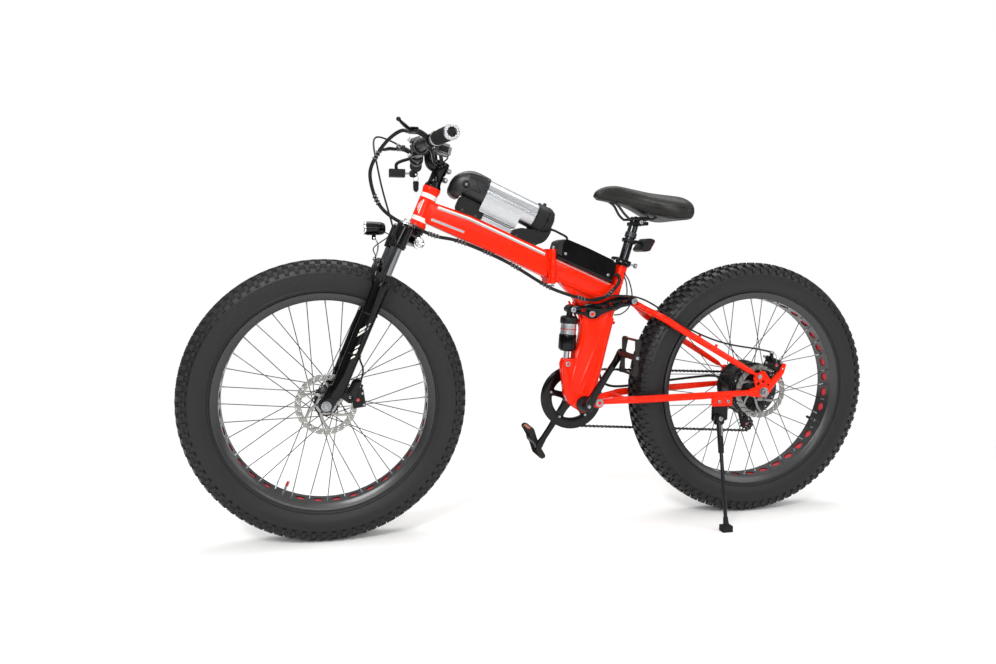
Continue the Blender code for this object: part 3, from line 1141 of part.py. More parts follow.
# Chainring between two guard rings, on five arms.
chainring = prism(gear_outline(BB, CHAINRING_TEETH, ring_phase), CHAIN_Y - 1.0, CHAIN_Y + 1.0)
carve(chainring, bore((BB[0], CHAIN_Y - 5, BB[1]), (BB[0], CHAIN_Y + 5, BB[1]), RING_R - 19.6, 14))
GUARD_R = RING_R + 8.0
bed = [(-6.8, RING_R - 24), (-6.8, GUARD_R), (-4.3, GUARD_R), (-4.3, RING_R - 14), (4.3, RING_R - 14), (4.3, GUARD_R),
       (6.8, GUARD_R), (6.8, RING_R - 24)]
fuse(chainring, lathe(bed, (BB[0], CHAIN_Y, BB[1]), (0, 1, 0), 16, phase=0.03))
for k in range(5):
    a = math.radians(72 * k + 20)
    one = Vector((math.cos(a), math.sin(a)))
    side_way = Vector((-one.y, one.x))
    pts = []
    for r, h in ((14, 10), (RING_R - 20, 8)):
        pts.append((Vector(BB) + one * r + side_way * h, Vector(BB) + one * r - side_way * h))
    fuse(chainring, prism([tuple(pts[0][0]), tuple(pts[1][0]), tuple(pts[1][1]), tuple(pts[0][1])], CHAIN_Y - 3.6, CHAIN_Y + 3.6))
fuse(chainring, rod((BB[0], CHAIN_Y - 5.2, BB[1]), (BB[0], CHAIN_Y + 5.2, BB[1]), 24, 8, phase=0.31))
carve(chainring, bore((BB[0], CHAIN_Y - 9, BB[1]), (BB[0], CHAIN_Y + 9, BB[1]), 10.0, 8))
finish(chainring, "chainring", "crank", (BLACK, 0.5, 0.0))

# Crank set: spindle and both arms.
SPINDLE_R = 8.6
cranks = rod((BB[0], -88, BB[1]), (BB[0], 90, BB[1]), SPINDLE_R, 8)
for side, tip in ((-1, CRANK_TIP), (1, CRANK_LOW)):
    way = Vector((tip[0] - BB[0], tip[1] - BB[1])).normalized()
    across = Vector((-way.y, way.x))
    rings = []
    for r, half, y0, y1 in ((-17, 11, 70, 88.5), (-5, 17, 69.5, 89), (15, 16, 69.5, 89), (34, 13, 73, 89), (CRANK - 20, 10, 86, 97),
                            (CRANK, 13, 86.5, 98), (CRANK + 12, 9, 86.5, 98)):
        ring = []
        for h, y in ((half, y0 + 2), (half, y1 - 2), (half - 2, y1), (2 - half, y1), (-half, y1 - 2), (-half, y0 + 2), (2 - half, y0), (half - 2, y0)):
            p = Vector(BB) + way * r + across * h
            ring.append((p.x, side * y, p.y))
        rings.append(ring)
    fuse(cranks, loft(rings))
    fuse(cranks, rod((BB[0], side * 86, BB[1]), (BB[0], side * 92, BB[1]), 10.0, 6))
for side in (-1, 1):
    fuse(cranks, rod((BB[0], side * 51.0, BB[1]), (BB[0], side * 54.0, BB[1]), 14.0, 8))
finish(cranks, "crank_set", "crank", (BLACK, 0.3, 0.3))


def pedal(side, tip, lean, name, owner):
    """A cage pedal: two end plates, three bars, teeth on the cage and a sleeve on the axle."""
    turn = Matrix.Rotation(-lean, 4, "Y")

    def place(x, y, z):
        v = turn @ Vector((x, 0, z))
        return (tip[0] + v.x, side * y, tip[1] + v.z)

    made = rod(place(0, 98.4, 0), place(0, 206, 0), 8.5, 8)
    for y, wide, long in ((113, 7, 100), (157, 5, 88), (200, 7, 98)):
        fuse(made, block(place(0, y, 0), (long, wide, 22), matrix=turn))
    for x in (-45, 45):
        fuse(made, block(place(x, 156.5, 0), (6, 84, 25), matrix=turn))
    return finish(made, name, owner, (BLACK, 0.6, 0.0), smooth=False)


pedal(-1, CRANK_TIP, math.radians(85), "pedal_left", "pedal_left")
pedal(1, CRANK_LOW, math.radians(114), "pedal_right", "pedal_right")

# Freewheel with the cog in use and the next larger one.
free = prism(gear_outline(REAR_AXLE, COG_TEETH, cog_phase), CHAIN_Y - 0.9, CHAIN_Y + 0.9)
NEXT_COG = 21
saw = []
for j in range(2 * NEXT_COG):
    r = PITCH / (2 * math.sin(math.pi / NEXT_COG)) + (3.0 if j % 2 else -3.5)
    a = math.pi * j / NEXT_COG
    saw.append((REAR_AXLE[0] + r * math.cos(a), REAR_AXLE[1] + r * math.sin(a)))
fuse(free, prism(saw, CHAIN_Y - 6.3, CHAIN_Y - 4.7))
fuse(free, rod((REAR_AXLE[0], CHAIN_Y - 18, REAR_AXLE[1]), (REAR_AXLE[0], CHAIN_Y + 6, REAR_AXLE[1]), 24, 10, phase=0.05))
carve(free, bore((REAR_AXLE[0], CHAIN_Y - 20, REAR_AXLE[1]), (REAR_AXLE[0], CHAIN_Y + 12, REAR_AXLE[1]), 12.0, 8))
finish(free, "freewheel", "freewheel", (GREY, 0.35, 1.0))

# Derailleur: knuckle on the hanger, swing plates, cage with two jockey wheels.
knuckle = (REAR_AXLE[0] + 12.0, REAR_AXLE[1] - 30.0)
rear_mech = rod((knuckle[0], DROPOUT_Y + 6.4, knuckle[1]), (knuckle[0], DROPOUT_Y + 20, knuckle[1]), 9.5, 9)
arm_path = [(knuckle[0] + 2, DROPOUT_Y + 15, knuckle[1] - 4), (knuckle[0] + 20, DROPOUT_Y + 16, knuckle[1] - 22),
            (GUIDE[0] + 6, 79, GUIDE[1] + 2)]
fuse(rear_mech, tube(arm_path, 7.5, 6))
for y in (CHAIN_Y - 5.4, CHAIN_Y + 5.4):
    cage = rounded([(GUIDE[0] - 10, GUIDE[1] + 9), (GUIDE[0] + 12, GUIDE[1] + 10), (TENSION[0] + 10, TENSION[1] - 8),
                    (TENSION[0] - 12, TENSION[1] - 10)], 7, 1)
    fuse(rear_mech, prism(cage, y - 0.9, y + 0.9))
for c in (GUIDE, TENSION):
    fuse(rear_mech, rod((c[0], CHAIN_Y - 6, c[1]), (c[0], CHAIN_Y + 6, c[1]), 4.5, 8))
    fuse(rear_mech, rod((c[0], CHAIN_Y - 1.0, c[1]), (c[0], CHAIN_Y + 1.0, c[1]), JOCKEY_R - PLATE_UP - 2 * GAP, 10))
fuse(rear_mech, rod((GUIDE[0] + 6, CHAIN_Y + 5, GUIDE[1] + 2), (GUIDE[0] + 6, 84, GUIDE[1] + 2), 8.0, 8))
finish(rear_mech, "derailleur", "derailleur", (BLACK, 0.4, 0.3))

# Seat stays: yoke at the rocker, web plate and two stays to the drop-outs.
PIN_PLAY = 1.6
stays = rod((ROCKER_REAR[0], -25.6, ROCKER_REAR[1]), (ROCKER_REAR[0], 25.6, ROCKER_REAR[1]), 12.5, 9)
for side in (-1, 1):
    path = smooth_path([(ROCKER_REAR[0] + 2, side * 10, ROCKER_REAR[1] - 1), (ROCKER_REAR[0] + 24, side * 16, ROCKER_REAR[1] - 13),
                        (ROCKER_REAR[0] + 44, side * 31, ROCKER_REAR[1] - 26), (ROCKER_REAR[0] + 80, side * 63, ROCKER_REAR[1] - 48), (ROCKER_REAR[0] + 150, side * 72, ROCKER_REAR[1] - 90),
                        (STAY_END[0] - 42, side * 92, STAY_END[1] + 25), (STAY_END[0] - 20, side * 98.8, STAY_END[1] + 12), (STAY_END[0] - 9, side * 97, STAY_END[1] + 5), (STAY_END[0] - 5, side * 96.9, STAY_END[1] + 3)], 1)
    radii = [8.5, 8.5, 8.8, 10.0, 9.8, 8.0, 4.0, 2.6, 2.4]
    fuse(stays, tube(path, 0, 7, radii=radii))
    fuse(stays, rod((STAY_END[0], side * (DROPOUT_Y + 6.4), STAY_END[1]), (STAY_END[0], side * (DROPOUT_Y + 11.2), STAY_END[1]), 9.5, 8))
web_path = [(ROCKER_REAR[0] + 14, ROCKER_REAR[1] - 5), (ROCKER_REAR[0] + 46, ROCKER_REAR[1] - 24), (ROCKER_REAR[0] + 44, ROCKER_REAR[1] - 30),
            (ROCKER_REAR[0] + 12, ROCKER_REAR[1] - 12)]
fuse(stays, prism(web_path, -38, 38))
carve(stays, bore((ROCKER_REAR[0], -40, ROCKER_REAR[1]), (ROCKER_REAR[0], 40, ROCKER_REAR[1]), 5.0 + PIN_PLAY, 8))
carve(stays, bore((STAY_END[0], -120, STAY_END[1]), (STAY_END[0], 120, STAY_END[1]), 5.0, 6))
for dx, dz in ((180, -108), (230, -138)):
    fuse(stays, rod((ROCKER_REAR[0] + dx, -78 - (dx - 180) * 0.07, ROCKER_REAR[1] + dz), (ROCKER_REAR[0] + dx + 6, -78 - (dx - 180) * 0.07, ROCKER_REAR[1] + dz + 16), 4.0, 6))
finish(stays, "seat_stays", "seat_stays", (RED, 0.25, 0.0))

# Rocker: two plates on common pins.
plate_line = rears([(46, 610), (51, 623), (64, 628), (88, 625), (97, 634), (130, 630), (186, 651), (238, 649), (249, 641), (247, 630),
                    (187, 617), (146, 604), (124, 589), (104, 588), (88, 600), (60, 602)])
rocker = None
for side in (-1, 1):
    wing = prism(plate_line, min(side * 26.4, side * 31.4), max(side * 26.4, side * 31.4))
    holes = [rod((x, side * 20, z), (x, side * 40, z), r, 6) for x, z, r in
             [(*rear(84, 613), 5.5), (*rear(168, 630), 5.0)]]
    carve(wing, gather("holes", holes))
    rocker = fuse(rocker, wing) if rocker else wing
fuse(rocker, rod((ROCKER_REAR[0], -34.5, ROCKER_REAR[1]), (ROCKER_REAR[0], 34.5, ROCKER_REAR[1]), 5.0, 6))
fuse(rocker, rod((ROCKER_FRONT[0], -34.5, ROCKER_FRONT[1]), (ROCKER_FRONT[0], 34.5, ROCKER_FRONT[1]), 4.2, 6))
carve(rocker, bore((ROCKER[0], -40, ROCKER[1]), (ROCKER[0], 40, ROCKER[1]), 5.6, 6))
finish(rocker, "rocker_link", "rocker", (BLACK, 0.3, 0.4))

# Shock: can hung from the rocker, shaft standing on the mast. The can slides straight along
# the shaft while its pin swings on the rocker, so the eye has play for the arc.
ARC_RISE = 0.64
can = lathe([(36, 0.0), (36, 19), (42, CAN_R), (84, CAN_R), (86, 22), (114, 22), (116, CAN_R), (132, CAN_R), (134, 22), (134, 0.0)],
            SHOCK_BASE, shock_way, 12)
fuse(can, rod((ROCKER_FRONT[0], -9.5, ROCKER_FRONT[1]), (ROCKER_FRONT[0], 9.5, ROCKER_FRONT[1]), 11.5, 8))
fuse(can, rod(SHOCK_BASE + shock_way * 130, SHOCK_BASE + shock_way * (shock_long - 6), 8.5, 6))
carve(can, bore(SHOCK_BASE + shock_way * 20, SHOCK_BASE + shock_way * 112, 9.8, 8))
EYE = (ROCKER_FRONT[0] - ARC_RISE / 2, ROCKER_FRONT[1])
carve(can, bore((EYE[0], -20, EYE[1]), (EYE[0], 20, EYE[1]), 4.2 + GAP + ARC_RISE / 2, 8))
finish(can, "shock_can", "shock", (BLACK, 0.25, 0.2))
shaft = rod(SHOCK_BASE + shock_way * 6, SHOCK_BASE + shock_way * 82, 8.3, 8)
fuse(shaft, rod((SHOCK_BASE.x, -9.6, SHOCK_BASE.z), (SHOCK_BASE.x, 9.6, SHOCK_BASE.z), 10.5, 8))
carve(shaft, bore((SHOCK_BASE.x, -20, SHOCK_BASE.z), (SHOCK_BASE.x, 20, SHOCK_BASE.z), 4.6, 6))
finish(shaft, "shock_shaft", "rear_frame", (SILVER, 0.25, 1.0))

# Kickstand on the left chain stay.
stand = block(hip + Vector((0, 0, -2)), (30, 14, 26), edge=3.0)
foot_len = (hip.z - 7.0) / -STAND_WAY.z
fuse(stand, rod(hip + STAND_WAY * 6, hip + STAND_WAY * 96, 8.2, 9))
fuse(stand, rod(hip + STAND_WAY * 90, hip + STAND_WAY * (foot_len - 12), 5.2, 8))
toe = hip + STAND_WAY * (foot_len - 8)
fuse(stand, block((toe.x, toe.y, 9.0), (30, 24, 17.6), edge=3.0))
carve(stand, bore(hip - STAND_AXIS * 20, hip + STAND_AXIS * 20, 3.9, 8))
finish(stand, "kickstand", "kickstand", (BLACK, 0.4, 0.2))

# Seat post with its head, rails, saddle and rear light.
post = rod(seat(-130), seat(122), POST_R, 10)
fuse(post, rod(seat(56), seat(64), POST_R + 2.2, 10))
head = seat(122)
fuse(post, block((head[0] + 8, 0, head[2] - 4), (46, 54, 24), edge=5.0))
rail_z = head[2] + 2.0
for side in (-1, 1):
    carve(post, bore((head[0] - 40, side * 22, rail_z), (head[0] + 60, side * 22, rail_z), 3.5 + GAP, 8))
finish(post, "seatpost", "seatpost", (BLACK, 0.25, 0.3))

RAIL_R = 3.5
X0 = head[0]
rails = None
for side in (-1, 1):
    path = smooth_path([(X0 - 82, side * 9, 921), (X0 - 60, side * 14, 908), (X0 - 42, side * 21, 884),
                        (X0 - 26, side * 22, rail_z), (X0 - 18, side * 22, rail_z), (X0 + 35, side * 22, rail_z),
                        (X0 + 44, side * 22, rail_z), (X0 + 66, side * 28, rail_z + 12), (X0 + 92, side * 36, 893)], 1)
    wire = tube(path, RAIL_R, 5)
    rails = fuse(rails, wire) if rails else wire
fuse(rails, rod((X0 - 82, -14, 921), (X0 - 82, 14, 921), 4.4, 6))
fuse(rails, rod((X0 + 92, -40, 893), (X0 + 92, 40, 893), 4.4, 6))
finish(rails, "saddle_rails", "seatpost", (GREY, 0.3, 0.8))


def saddle_ring(x, top, low, half, base):
    """A cross-section: crowned top, full sides, flat underneath."""
    out = []
    for k in range(7):
        a = math.pi * k / 6
        c, s = math.cos(a), math.sin(a)
        y = half * math.copysign(abs(c) ** 0.75, c)
        z = low + (top - low) * abs(s) ** 0.7
        out.append((x, y, z))
    out += [(x, -half * 0.8, base), (x, half * 0.8, base)]
    return out


saddle = loft([saddle_ring(X0 + dx, top, low, half, base) for dx, top, low, half, base in (
    (-129, 938, 932, 7, 930), (-122, 949, 931, 15, 926), (-108, 957, 930, 20, 925), (-88, 962, 930, 23, 925), (-60, 962, 928, 26, 924),
    (-30, 957, 924, 32, 918), (0, 951, 916, 43, 909), (30, 945, 905, 61, 899), (58, 941, 897, 82, 890), (86, 938, 891, 98, 884),
    (112, 935, 890, 103, 884), (132, 929, 892, 98, 886), (146, 920, 897, 84, 892), (153, 911, 901, 62, 898))])
carve(saddle, bore((X0 - 82, -15.5, 921), (X0 - 82, 15.5, 921), 4.4 + GAP, 6))
carve(saddle, block((X0 - 82, 0, 915), (9.4, 31, 12)))
carve(saddle, block((X0 + 92, 0, 889.2), (9.4, 82, 17.4)))
for side in (-1, 1):
    carve(saddle, block((X0 - 66, side * 13, 914), (44, 14, 24)))
    carve(saddle, block((X0 + 76, side * 31, 889), (44, 18, 18)))
finish(saddle, "saddle", "seatpost", (BLACK, 0.45, 0.0))

tail_at = seat(60)
light = lathe([(-5, POST_R + 3.3), (-5, POST_R + 7), (5, POST_R + 7), (5, POST_R + 3.3)], tail_at, SEAT_UP, 10)
fuse(light, rod((tail_at[0] + 17, 0, tail_at[2] - 1), (tail_at[0] + 47, 0, tail_at[2] - 5), 4.5, 6))
lens = rears([(293, 812), (273, 817), (262, 803), (249, 784), (260, 777), (276, 780)])
shift = tail_at[0] - rear(227.6, 0)[0]
fuse(light, plate([(x + shift + 2, z) for x, z in lens], -33, 33, 3.0))
finish(light, "rear_light", "seatpost", (BLACK, 0.4, 0.0))


# Cables and wires, each one tube along its own route.
def cable(points, radius, name, owner, steps=3, count=4):
    return finish(tube(smooth_path(points, steps), radius, count), name, owner, (RUBBER, 0.5, 0.0))


barrel = (BAR[0] - 44, BAR[1] + 21)
under_front, under_mid = beam_edge(1, -1, 6.8), beam_edge(2, -1, 6.8)
harness = [(barrel[0] - 1.0, -114.6, barrel[1] + 0.5), (BAR[0] - 62, -104, BAR[1] + 25), (BAR[0] - 98, -78, BAR[1] - 2), (BAR[0] - 130, -52, BAR[1] - 54),
           (BAR[0] - 134, -40, BAR[1] - 94), (BAR[0] - 111, -37, BAR[1] - 161), (BAR[0] - 58, -37.5, BAR[1] - 199),
           (BAR[0] - 34, -37, BAR[1] - 205), (BAR[0] - 16, -36, BAR[1] - 212), (BAR[0] + 8, -28, BAR[1] - 223), (BAR[0] + 50, -14, BAR[1] - 237), (under_front[0], -12, under_front[1]),
           (under_mid[0], -12, under_mid[1]), (HINGE_X - 50, -20, 702), (HINGE_X - 12, -28, 680), (HINGE_X + 13, -36, 668), (HINGE_X + 69, -38.5, 650),
           (HINGE_X + 119, -38.5, 640), (HINGE_X + 158, -38.5, 651), (HINGE_X + 184, -38.5, 676), (HINGE_X + 199, -35, 697), (HINGE_X + 196, -31, 711),
           (HINGE_X + 186.5, -27.5, 713.5)]
cable(harness, 4.6, "harness_front", "rear_frame", steps=2)
front_brake = [(barrel[0], 115.8, barrel[1]), (BAR[0] - 70, 102, BAR[1] + 30), (BAR[0] - 108, 62, BAR[1] + 34), (BAR[0] - 122, 12, BAR[1] + 8),
               (BAR[0] - 117, -44, BAR[1] - 50), (BAR[0] - 104, -76, BAR[1] - 130), (steer(452, LEG_OFFSET + 4)[0], -104, steer(452)[2]),
               (steer(400, LEG_OFFSET + 4)[0], -104, steer(400)[2]), (steer(260, LEG_OFFSET)[0] + 4, -103.5, steer(260)[2]),
               (steer(150, LEG_OFFSET)[0] + 12, -98, steer(150)[2])]
front_brake += [(FRONT_AXLE[0] + 96, -66, FRONT_AXLE[1] + 96), (FRONT_AXLE[0] + 89, -62.5, FRONT_AXLE[1] + 62), (FRONT_AXLE[0] + 86, -62.5, FRONT_AXLE[1] + 48.3)]
cable(front_brake, 2.4, "brake_cable_front", "steering", steps=2)
rear_brake = [(HINGE_X + 112, -44.3, 644.4), (HINGE_X + 150, -48, 652), (HINGE_X + 200, -52, 655), (HINGE_X + 262, -60, 646), (ROCKER_REAR[0] + 92, -77, ROCKER_REAR[1] - 40),
              (ROCKER_REAR[0] + 150, -84, ROCKER_REAR[1] - 78), (ROCKER_REAR[0] + 250, -92, ROCKER_REAR[1] - 118),
              (REAR_AXLE[0] - 30, -101, REAR_AXLE[1] + 128), (REAR_AXLE[0] + 20, -100, REAR_AXLE[1] + 116)]
cable(rear_brake, 2.4, "brake_cable_rear", "swingarm", steps=2)
lead = [(cell(211.4, -13)[0], 0, cell(211.4, -13)[2]), (cell(222, -10)[0], 0, cell(222, -10)[2]), (HINGE_X + 30, 0, 827), (HINGE_X + 50, 0, 818), (HINGE_X + 52.5, 0, 809)]
cable(lead, 3.2, "battery_lead", "rear_frame", steps=2)
axle_end = REAR_AXLE[0]
rear_loom = [(HINGE_X + 186, 27, 713), (HINGE_X + 197, 31, 706), (HINGE_X + 199, 37, 686), (HINGE_X + 192, 38, 650),
             (HINGE_X + 182, 40, 560), (HINGE_X + 170, 40, 470), (HINGE_X + 176, 42, 400),
             (SWING[0] + 90, 59, SWING[1] + 26), (SWING[0] + 200, 78, SWING[1] + 32),
             (axle_end - 110, 86, REAR_AXLE[1] + 22), (axle_end - 60, 102, REAR_AXLE[1] + 20),
             (axle_end - 18, 118, REAR_AXLE[1] + 13), (axle_end - 2, 121, REAR_AXLE[1] + 4),
             (axle_end, 113.4, REAR_AXLE[1])]
cable(rear_loom, 3.6, "harness_rear", "rear_frame", steps=2)
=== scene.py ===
"""A folding, fully suspended fat-tyre bicycle with a bottle battery, seen from its left.

Lengths below are in millimetres in the row frame: +X to the rear, +Y to the rider's right, +Z up,
with the origin on the ground midway between the axles. piece() turns them to metres.
"""

import json
import math

import bmesh
import bpy
from mathutils import Matrix, Vector
from mathutils.bvhtree import BVHTree

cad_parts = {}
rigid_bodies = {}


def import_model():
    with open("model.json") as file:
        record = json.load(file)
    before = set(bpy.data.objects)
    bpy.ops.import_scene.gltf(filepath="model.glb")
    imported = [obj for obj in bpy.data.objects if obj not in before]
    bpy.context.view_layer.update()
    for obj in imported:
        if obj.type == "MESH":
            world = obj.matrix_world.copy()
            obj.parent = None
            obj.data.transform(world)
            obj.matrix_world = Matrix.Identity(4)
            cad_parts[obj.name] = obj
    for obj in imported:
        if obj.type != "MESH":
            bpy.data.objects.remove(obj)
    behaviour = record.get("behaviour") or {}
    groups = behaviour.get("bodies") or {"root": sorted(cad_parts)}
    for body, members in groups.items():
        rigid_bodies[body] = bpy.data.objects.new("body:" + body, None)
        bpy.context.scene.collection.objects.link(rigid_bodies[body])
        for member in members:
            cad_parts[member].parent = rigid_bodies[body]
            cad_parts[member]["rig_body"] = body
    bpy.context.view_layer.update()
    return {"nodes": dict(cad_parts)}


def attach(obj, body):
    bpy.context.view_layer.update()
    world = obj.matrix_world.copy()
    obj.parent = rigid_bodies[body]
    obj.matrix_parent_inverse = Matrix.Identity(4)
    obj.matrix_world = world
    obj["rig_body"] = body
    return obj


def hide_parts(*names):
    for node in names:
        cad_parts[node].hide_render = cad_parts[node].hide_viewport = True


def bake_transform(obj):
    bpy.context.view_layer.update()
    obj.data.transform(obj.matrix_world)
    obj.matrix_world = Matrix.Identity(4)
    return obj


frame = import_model()
nodes = frame["nodes"]
TAU = 2 * math.pi
MM = 0.001  # metres
WELD = 2e-6  # points nearer than this are one, in metres
SMOOTH = 38.0  # faces that turn by less are shaded as one, in degrees
SHARP = 32.0  # a piece's edges that turn by more are eased
KEPT_EDGE = 50.0  # the same for shapes kept from the CAD
GROOVE = 0.5  # width of the fine rings on turned metal
RIPPLE = 3.0  # length of one drop of a weld

# Places taken from the CAD.
FRONT_AXLE = (-621.0, 375.0)
REAR_AXLE = (621.0, 375.0)
BB = (86.0, 350.0)
SWING = (133.0, 351.0)
STAY_END = (602.0, 421.0)
ROCKER = (111.0, 602.0)
ROCKER_REAR = (237.0, 637.0)
ROCKER_FRONT = (56.0, 614.0)
SHOCK_FOOT = (46.0, 460.0)
STAND = (474.0, 303.0)
HINGE_X, HINGE_Y = -8.0, -37.0
LEG_Y = 78.0
LEG_OFFSET = 34.0
BAR_HALF = 330.0
CHAIN_Y = 62.0
PITCH = 12.7
FRONT_ROTOR_Y = -54.5
REAR_ROTOR_Y = -77.0
HEAD_LEAN = math.radians(22.5)
SEAT_LEAN = math.radians(16.1)
UP = (math.sin(HEAD_LEAN), math.cos(HEAD_LEAN))
AHEAD = (-math.cos(HEAD_LEAN), math.sin(HEAD_LEAN))
STEER_UP = Vector((UP[0], 0, UP[1]))
STEER_AHEAD = Vector((AHEAD[0], 0, AHEAD[1]))
SEAT_UP = Vector((math.sin(SEAT_LEAN), 0, math.cos(SEAT_LEAN)))


def beside(place, y, dx=0, dz=0):
    """The point at y beside a place (x, z), moved by dx and dz."""
    return place[0] + dx, y, place[1] + dz


def steer(t, ahead=0.0, y=0.0):
    """A point t up the steering axis and so far ahead of it."""
    base = Vector(beside(FRONT_AXLE, 0)) - STEER_AHEAD * 46.0
    return base + STEER_UP * t + STEER_AHEAD * ahead + Vector((0, y, 0))


def seat(t, ahead=0.0, y=0.0):
    """A point t up the seat tube from its top, and so far forward of its centre."""
    return Vector((213.5 + t * SEAT_UP.x - ahead * SEAT_UP.z, y, 750.5 + t * SEAT_UP.z + ahead * SEAT_UP.x))


BAR = (steer(705).x - 61.0, steer(705).z + 38.0)


def bar_at(y):
    """The bar's centre line, swept back and slightly down towards its ends."""
    share = max(0.0, (abs(y) - 60.0) / 270.0)
    return Vector(beside(BAR, y, 30.0 * share, -10.0 * share))


def along_bar(y):
    """The bar's direction at y."""
    return (bar_at(y + 1) - bar_at(y - 1)).normalized()


BATTERY_LEAN = math.radians(-23.9)
BATTERY_WAY = Vector((math.cos(BATTERY_LEAN), 0, math.sin(BATTERY_LEAN)))
BATTERY_UP = Vector((-BATTERY_WAY.z, 0, BATTERY_WAY.x))


def cell(along, up=0.0, y=0.0):
    """A point along the battery's axis, measured from the back of its front cap."""
    return Vector((-193.0, y, 934.0)) + BATTERY_WAY * along + BATTERY_UP * up


# Shapes. Each is a pair (points, faces) in millimetres, closed, and many make one piece.
def frame_for(axis, side=None):
    """Two unit vectors square to the axis and to each other, and the axis itself."""
    axis = Vector(axis).normalized()
    guess = Vector(side) if side else (Vector((0, 0, 1)) if abs(axis.z) < 0.9 else Vector((1, 0, 0)))
    one = (guess - axis * guess.dot(axis)).normalized()
    return one, axis.cross(one), axis


def lathe(profile, centre, axis, count=64, ripple=None):
    """Turns (along, radius) pairs about an axis. A profile that ends off the axis is a closed loop."""
    one, two, along = frame_for(axis)
    points, rings = [], []
    for a, r in profile:
        if r < 1e-6:
            rings.append([len(points)])
            points.append(Vector(centre) + along * a)
            continue
        rings.append(list(range(len(points), len(points) + count)))
        for k in range(count):
            t = TAU * k / count
            reach = r + (ripple(a, r, t) if ripple else 0.0)
            points.append(Vector(centre) + along * a + (one * math.cos(t) + two * math.sin(t)) * reach)
    pairs = list(zip(rings, rings[1:]))
    if len(rings[0]) > 1 or len(rings[-1]) > 1:
        pairs.append((rings[-1], rings[0]))
    faces = []
    for low, high in pairs:
        for k in range(count):
            m = (k + 1) % count
            if len(low) > 1 and len(high) > 1:
                faces.append([low[k], low[m], high[m], high[k]])
            elif len(high) > 1:
                faces.append([low[0], high[m], high[k]])
            elif len(low) > 1:
                faces.append([low[k], low[m], high[0]])
    return points, faces


def drum(profile, place, count=64, **more):
    """A shape turned about the line along Y through a place (x, z)."""
    return lathe(profile, beside(place, 0), (0, 1, 0), count, **more)


def rod(start, end, radius, count=24, tip=None, edge=0.8):
    """A round bar between two points with its end edges eased."""
    start, end = Vector(start), Vector(end)
    tip = radius if tip is None else tip
    far = (end - start).length
    edge = min(edge, far * 0.3, radius * 0.6, tip * 0.6)
    profile = [(0, 0), (0, radius - edge), (edge * 0.3, radius - edge * 0.3), (edge, radius), (far - edge, tip),
               (far - edge * 0.3, tip - edge * 0.3), (far, tip - edge), (far, 0)]
    return lathe(profile, start, end - start, count)


def loft(sections):
    """Skins rings of equal count and caps both ends."""
    count = len(sections[0])
    points = [Vector(p) for ring in sections for p in ring]
    faces = [list(range(count)), list(range(len(points) - count, len(points)))]
    for s in range(len(sections) - 1):
        for k in range(count):
            m = (k + 1) % count
            a, b = s * count, (s + 1) * count
            faces.append([a + k, a + m, b + m, b + k])
    return points, faces


def smooth_path(points, steps=6):
    """A Catmull-Rom curve through the points."""
    pts = [Vector(p) for p in points]
    pts = [2 * pts[0] - pts[1]] + pts + [2 * pts[-1] - pts[-2]]
    out = []
    for i in range(1, len(pts) - 2):
        a, b, c, d = pts[i - 1 : i + 3]
        for k in range(steps):
            t = k / steps
            out.append(0.5 * (2 * b + (c - a) * t + (2 * a - 5 * b + 4 * c - d) * t * t
                              + (3 * b - a - 3 * c + d) * t ** 3))
    out.append(pts[-2])
    return out


def spread(values, steps):
    """Radii at the control points, spread over the steps between them."""
    out = []
    for a, b in zip(values, values[1:]):
        out += [a + (b - a) * k / steps for k in range(steps)]
    return out + [values[-1]]


def tube(path, radius, count=16, radii=None, flat=1.0, side=None):
    """A bar along a path. flat squashes it across the path's side direction."""
    path = [Vector(p) for p in path]
    ways = [(path[min(i + 1, len(path) - 1)] - path[max(i - 1, 0)]).normalized() for i in range(len(path))]
    one, two, _ = frame_for(ways[0], side)
    rings = []
    for i, (centre, way) in enumerate(zip(path, ways)):
        one = (one - way * one.dot(way)).normalized()
        two = way.cross(one)
        r = radii[i] if radii else radius
        rings.append([centre + one * (math.cos(TAU * k / count) * r) + two * (math.sin(TAU * k / count) * r * flat)
                      for k in range(count)])
    return loft(rings)


def bent(points, radius, count=16, steps=6, radii=None, **more):
    """A tube through control points, with radii given at those points."""
    return tube(smooth_path(points, steps), radius, count, spread(radii, steps) if radii else None, **more)


def prism(outline, low, high):
    """A side-view outline (x, z) drawn out along Y."""
    return loft([[(x, low, z) for x, z in outline], [(x, high, z) for x, z in outline]])


def block(centre, size, turn=None):
    """A box, turned by a matrix about its centre."""
    x, y, z = (s / 2 for s in size)
    points = [Vector((i, j, k)) for i in (-x, x) for j in (-y, y) for k in (-z, z)]
    if turn:
        points = [turn @ p for p in points]
    faces = [[0, 1, 3, 2], [4, 6, 7, 5], [0, 4, 5, 1], [2, 3, 7, 6], [0, 2, 6, 4], [1, 5, 7, 3]]
    return [p + Vector(centre) for p in points], faces


def about_y(degrees):
    """A turn about Y that lifts the +X end by so many degrees."""
    return Matrix.Rotation(-math.radians(degrees), 3, "Y")


def rounded(points, radius, steps=4):
    """Rounds the corners of an outline."""
    out = []
    count = len(points)
    for i in range(count):
        before, here, after = (Vector(points[(i + d) % count]) for d in (-1, 0, 1))
        one, two = before - here, after - here
        reach = min(radius, one.length * 0.45, two.length * 0.45)
        start, end = here + one.normalized() * reach, here + two.normalized() * reach
        out += [tuple(start * (1 - t) ** 2 + here * (2 * t * (1 - t)) + end * t * t)
                for t in (k / steps for k in range(steps + 1))]
    return out


def outline_at(place, line, radius, steps):
    """An outline given from a place, with its corners rounded."""
    return rounded([(place[0] + dx, place[1] + dz) for dx, dz in line], radius, steps)


def circle(centre, radius, count=24):
    turns = [TAU * k / count for k in range(count)]
    return [(centre[0] + radius * math.cos(t), centre[1] + radius * math.sin(t)) for t in turns]


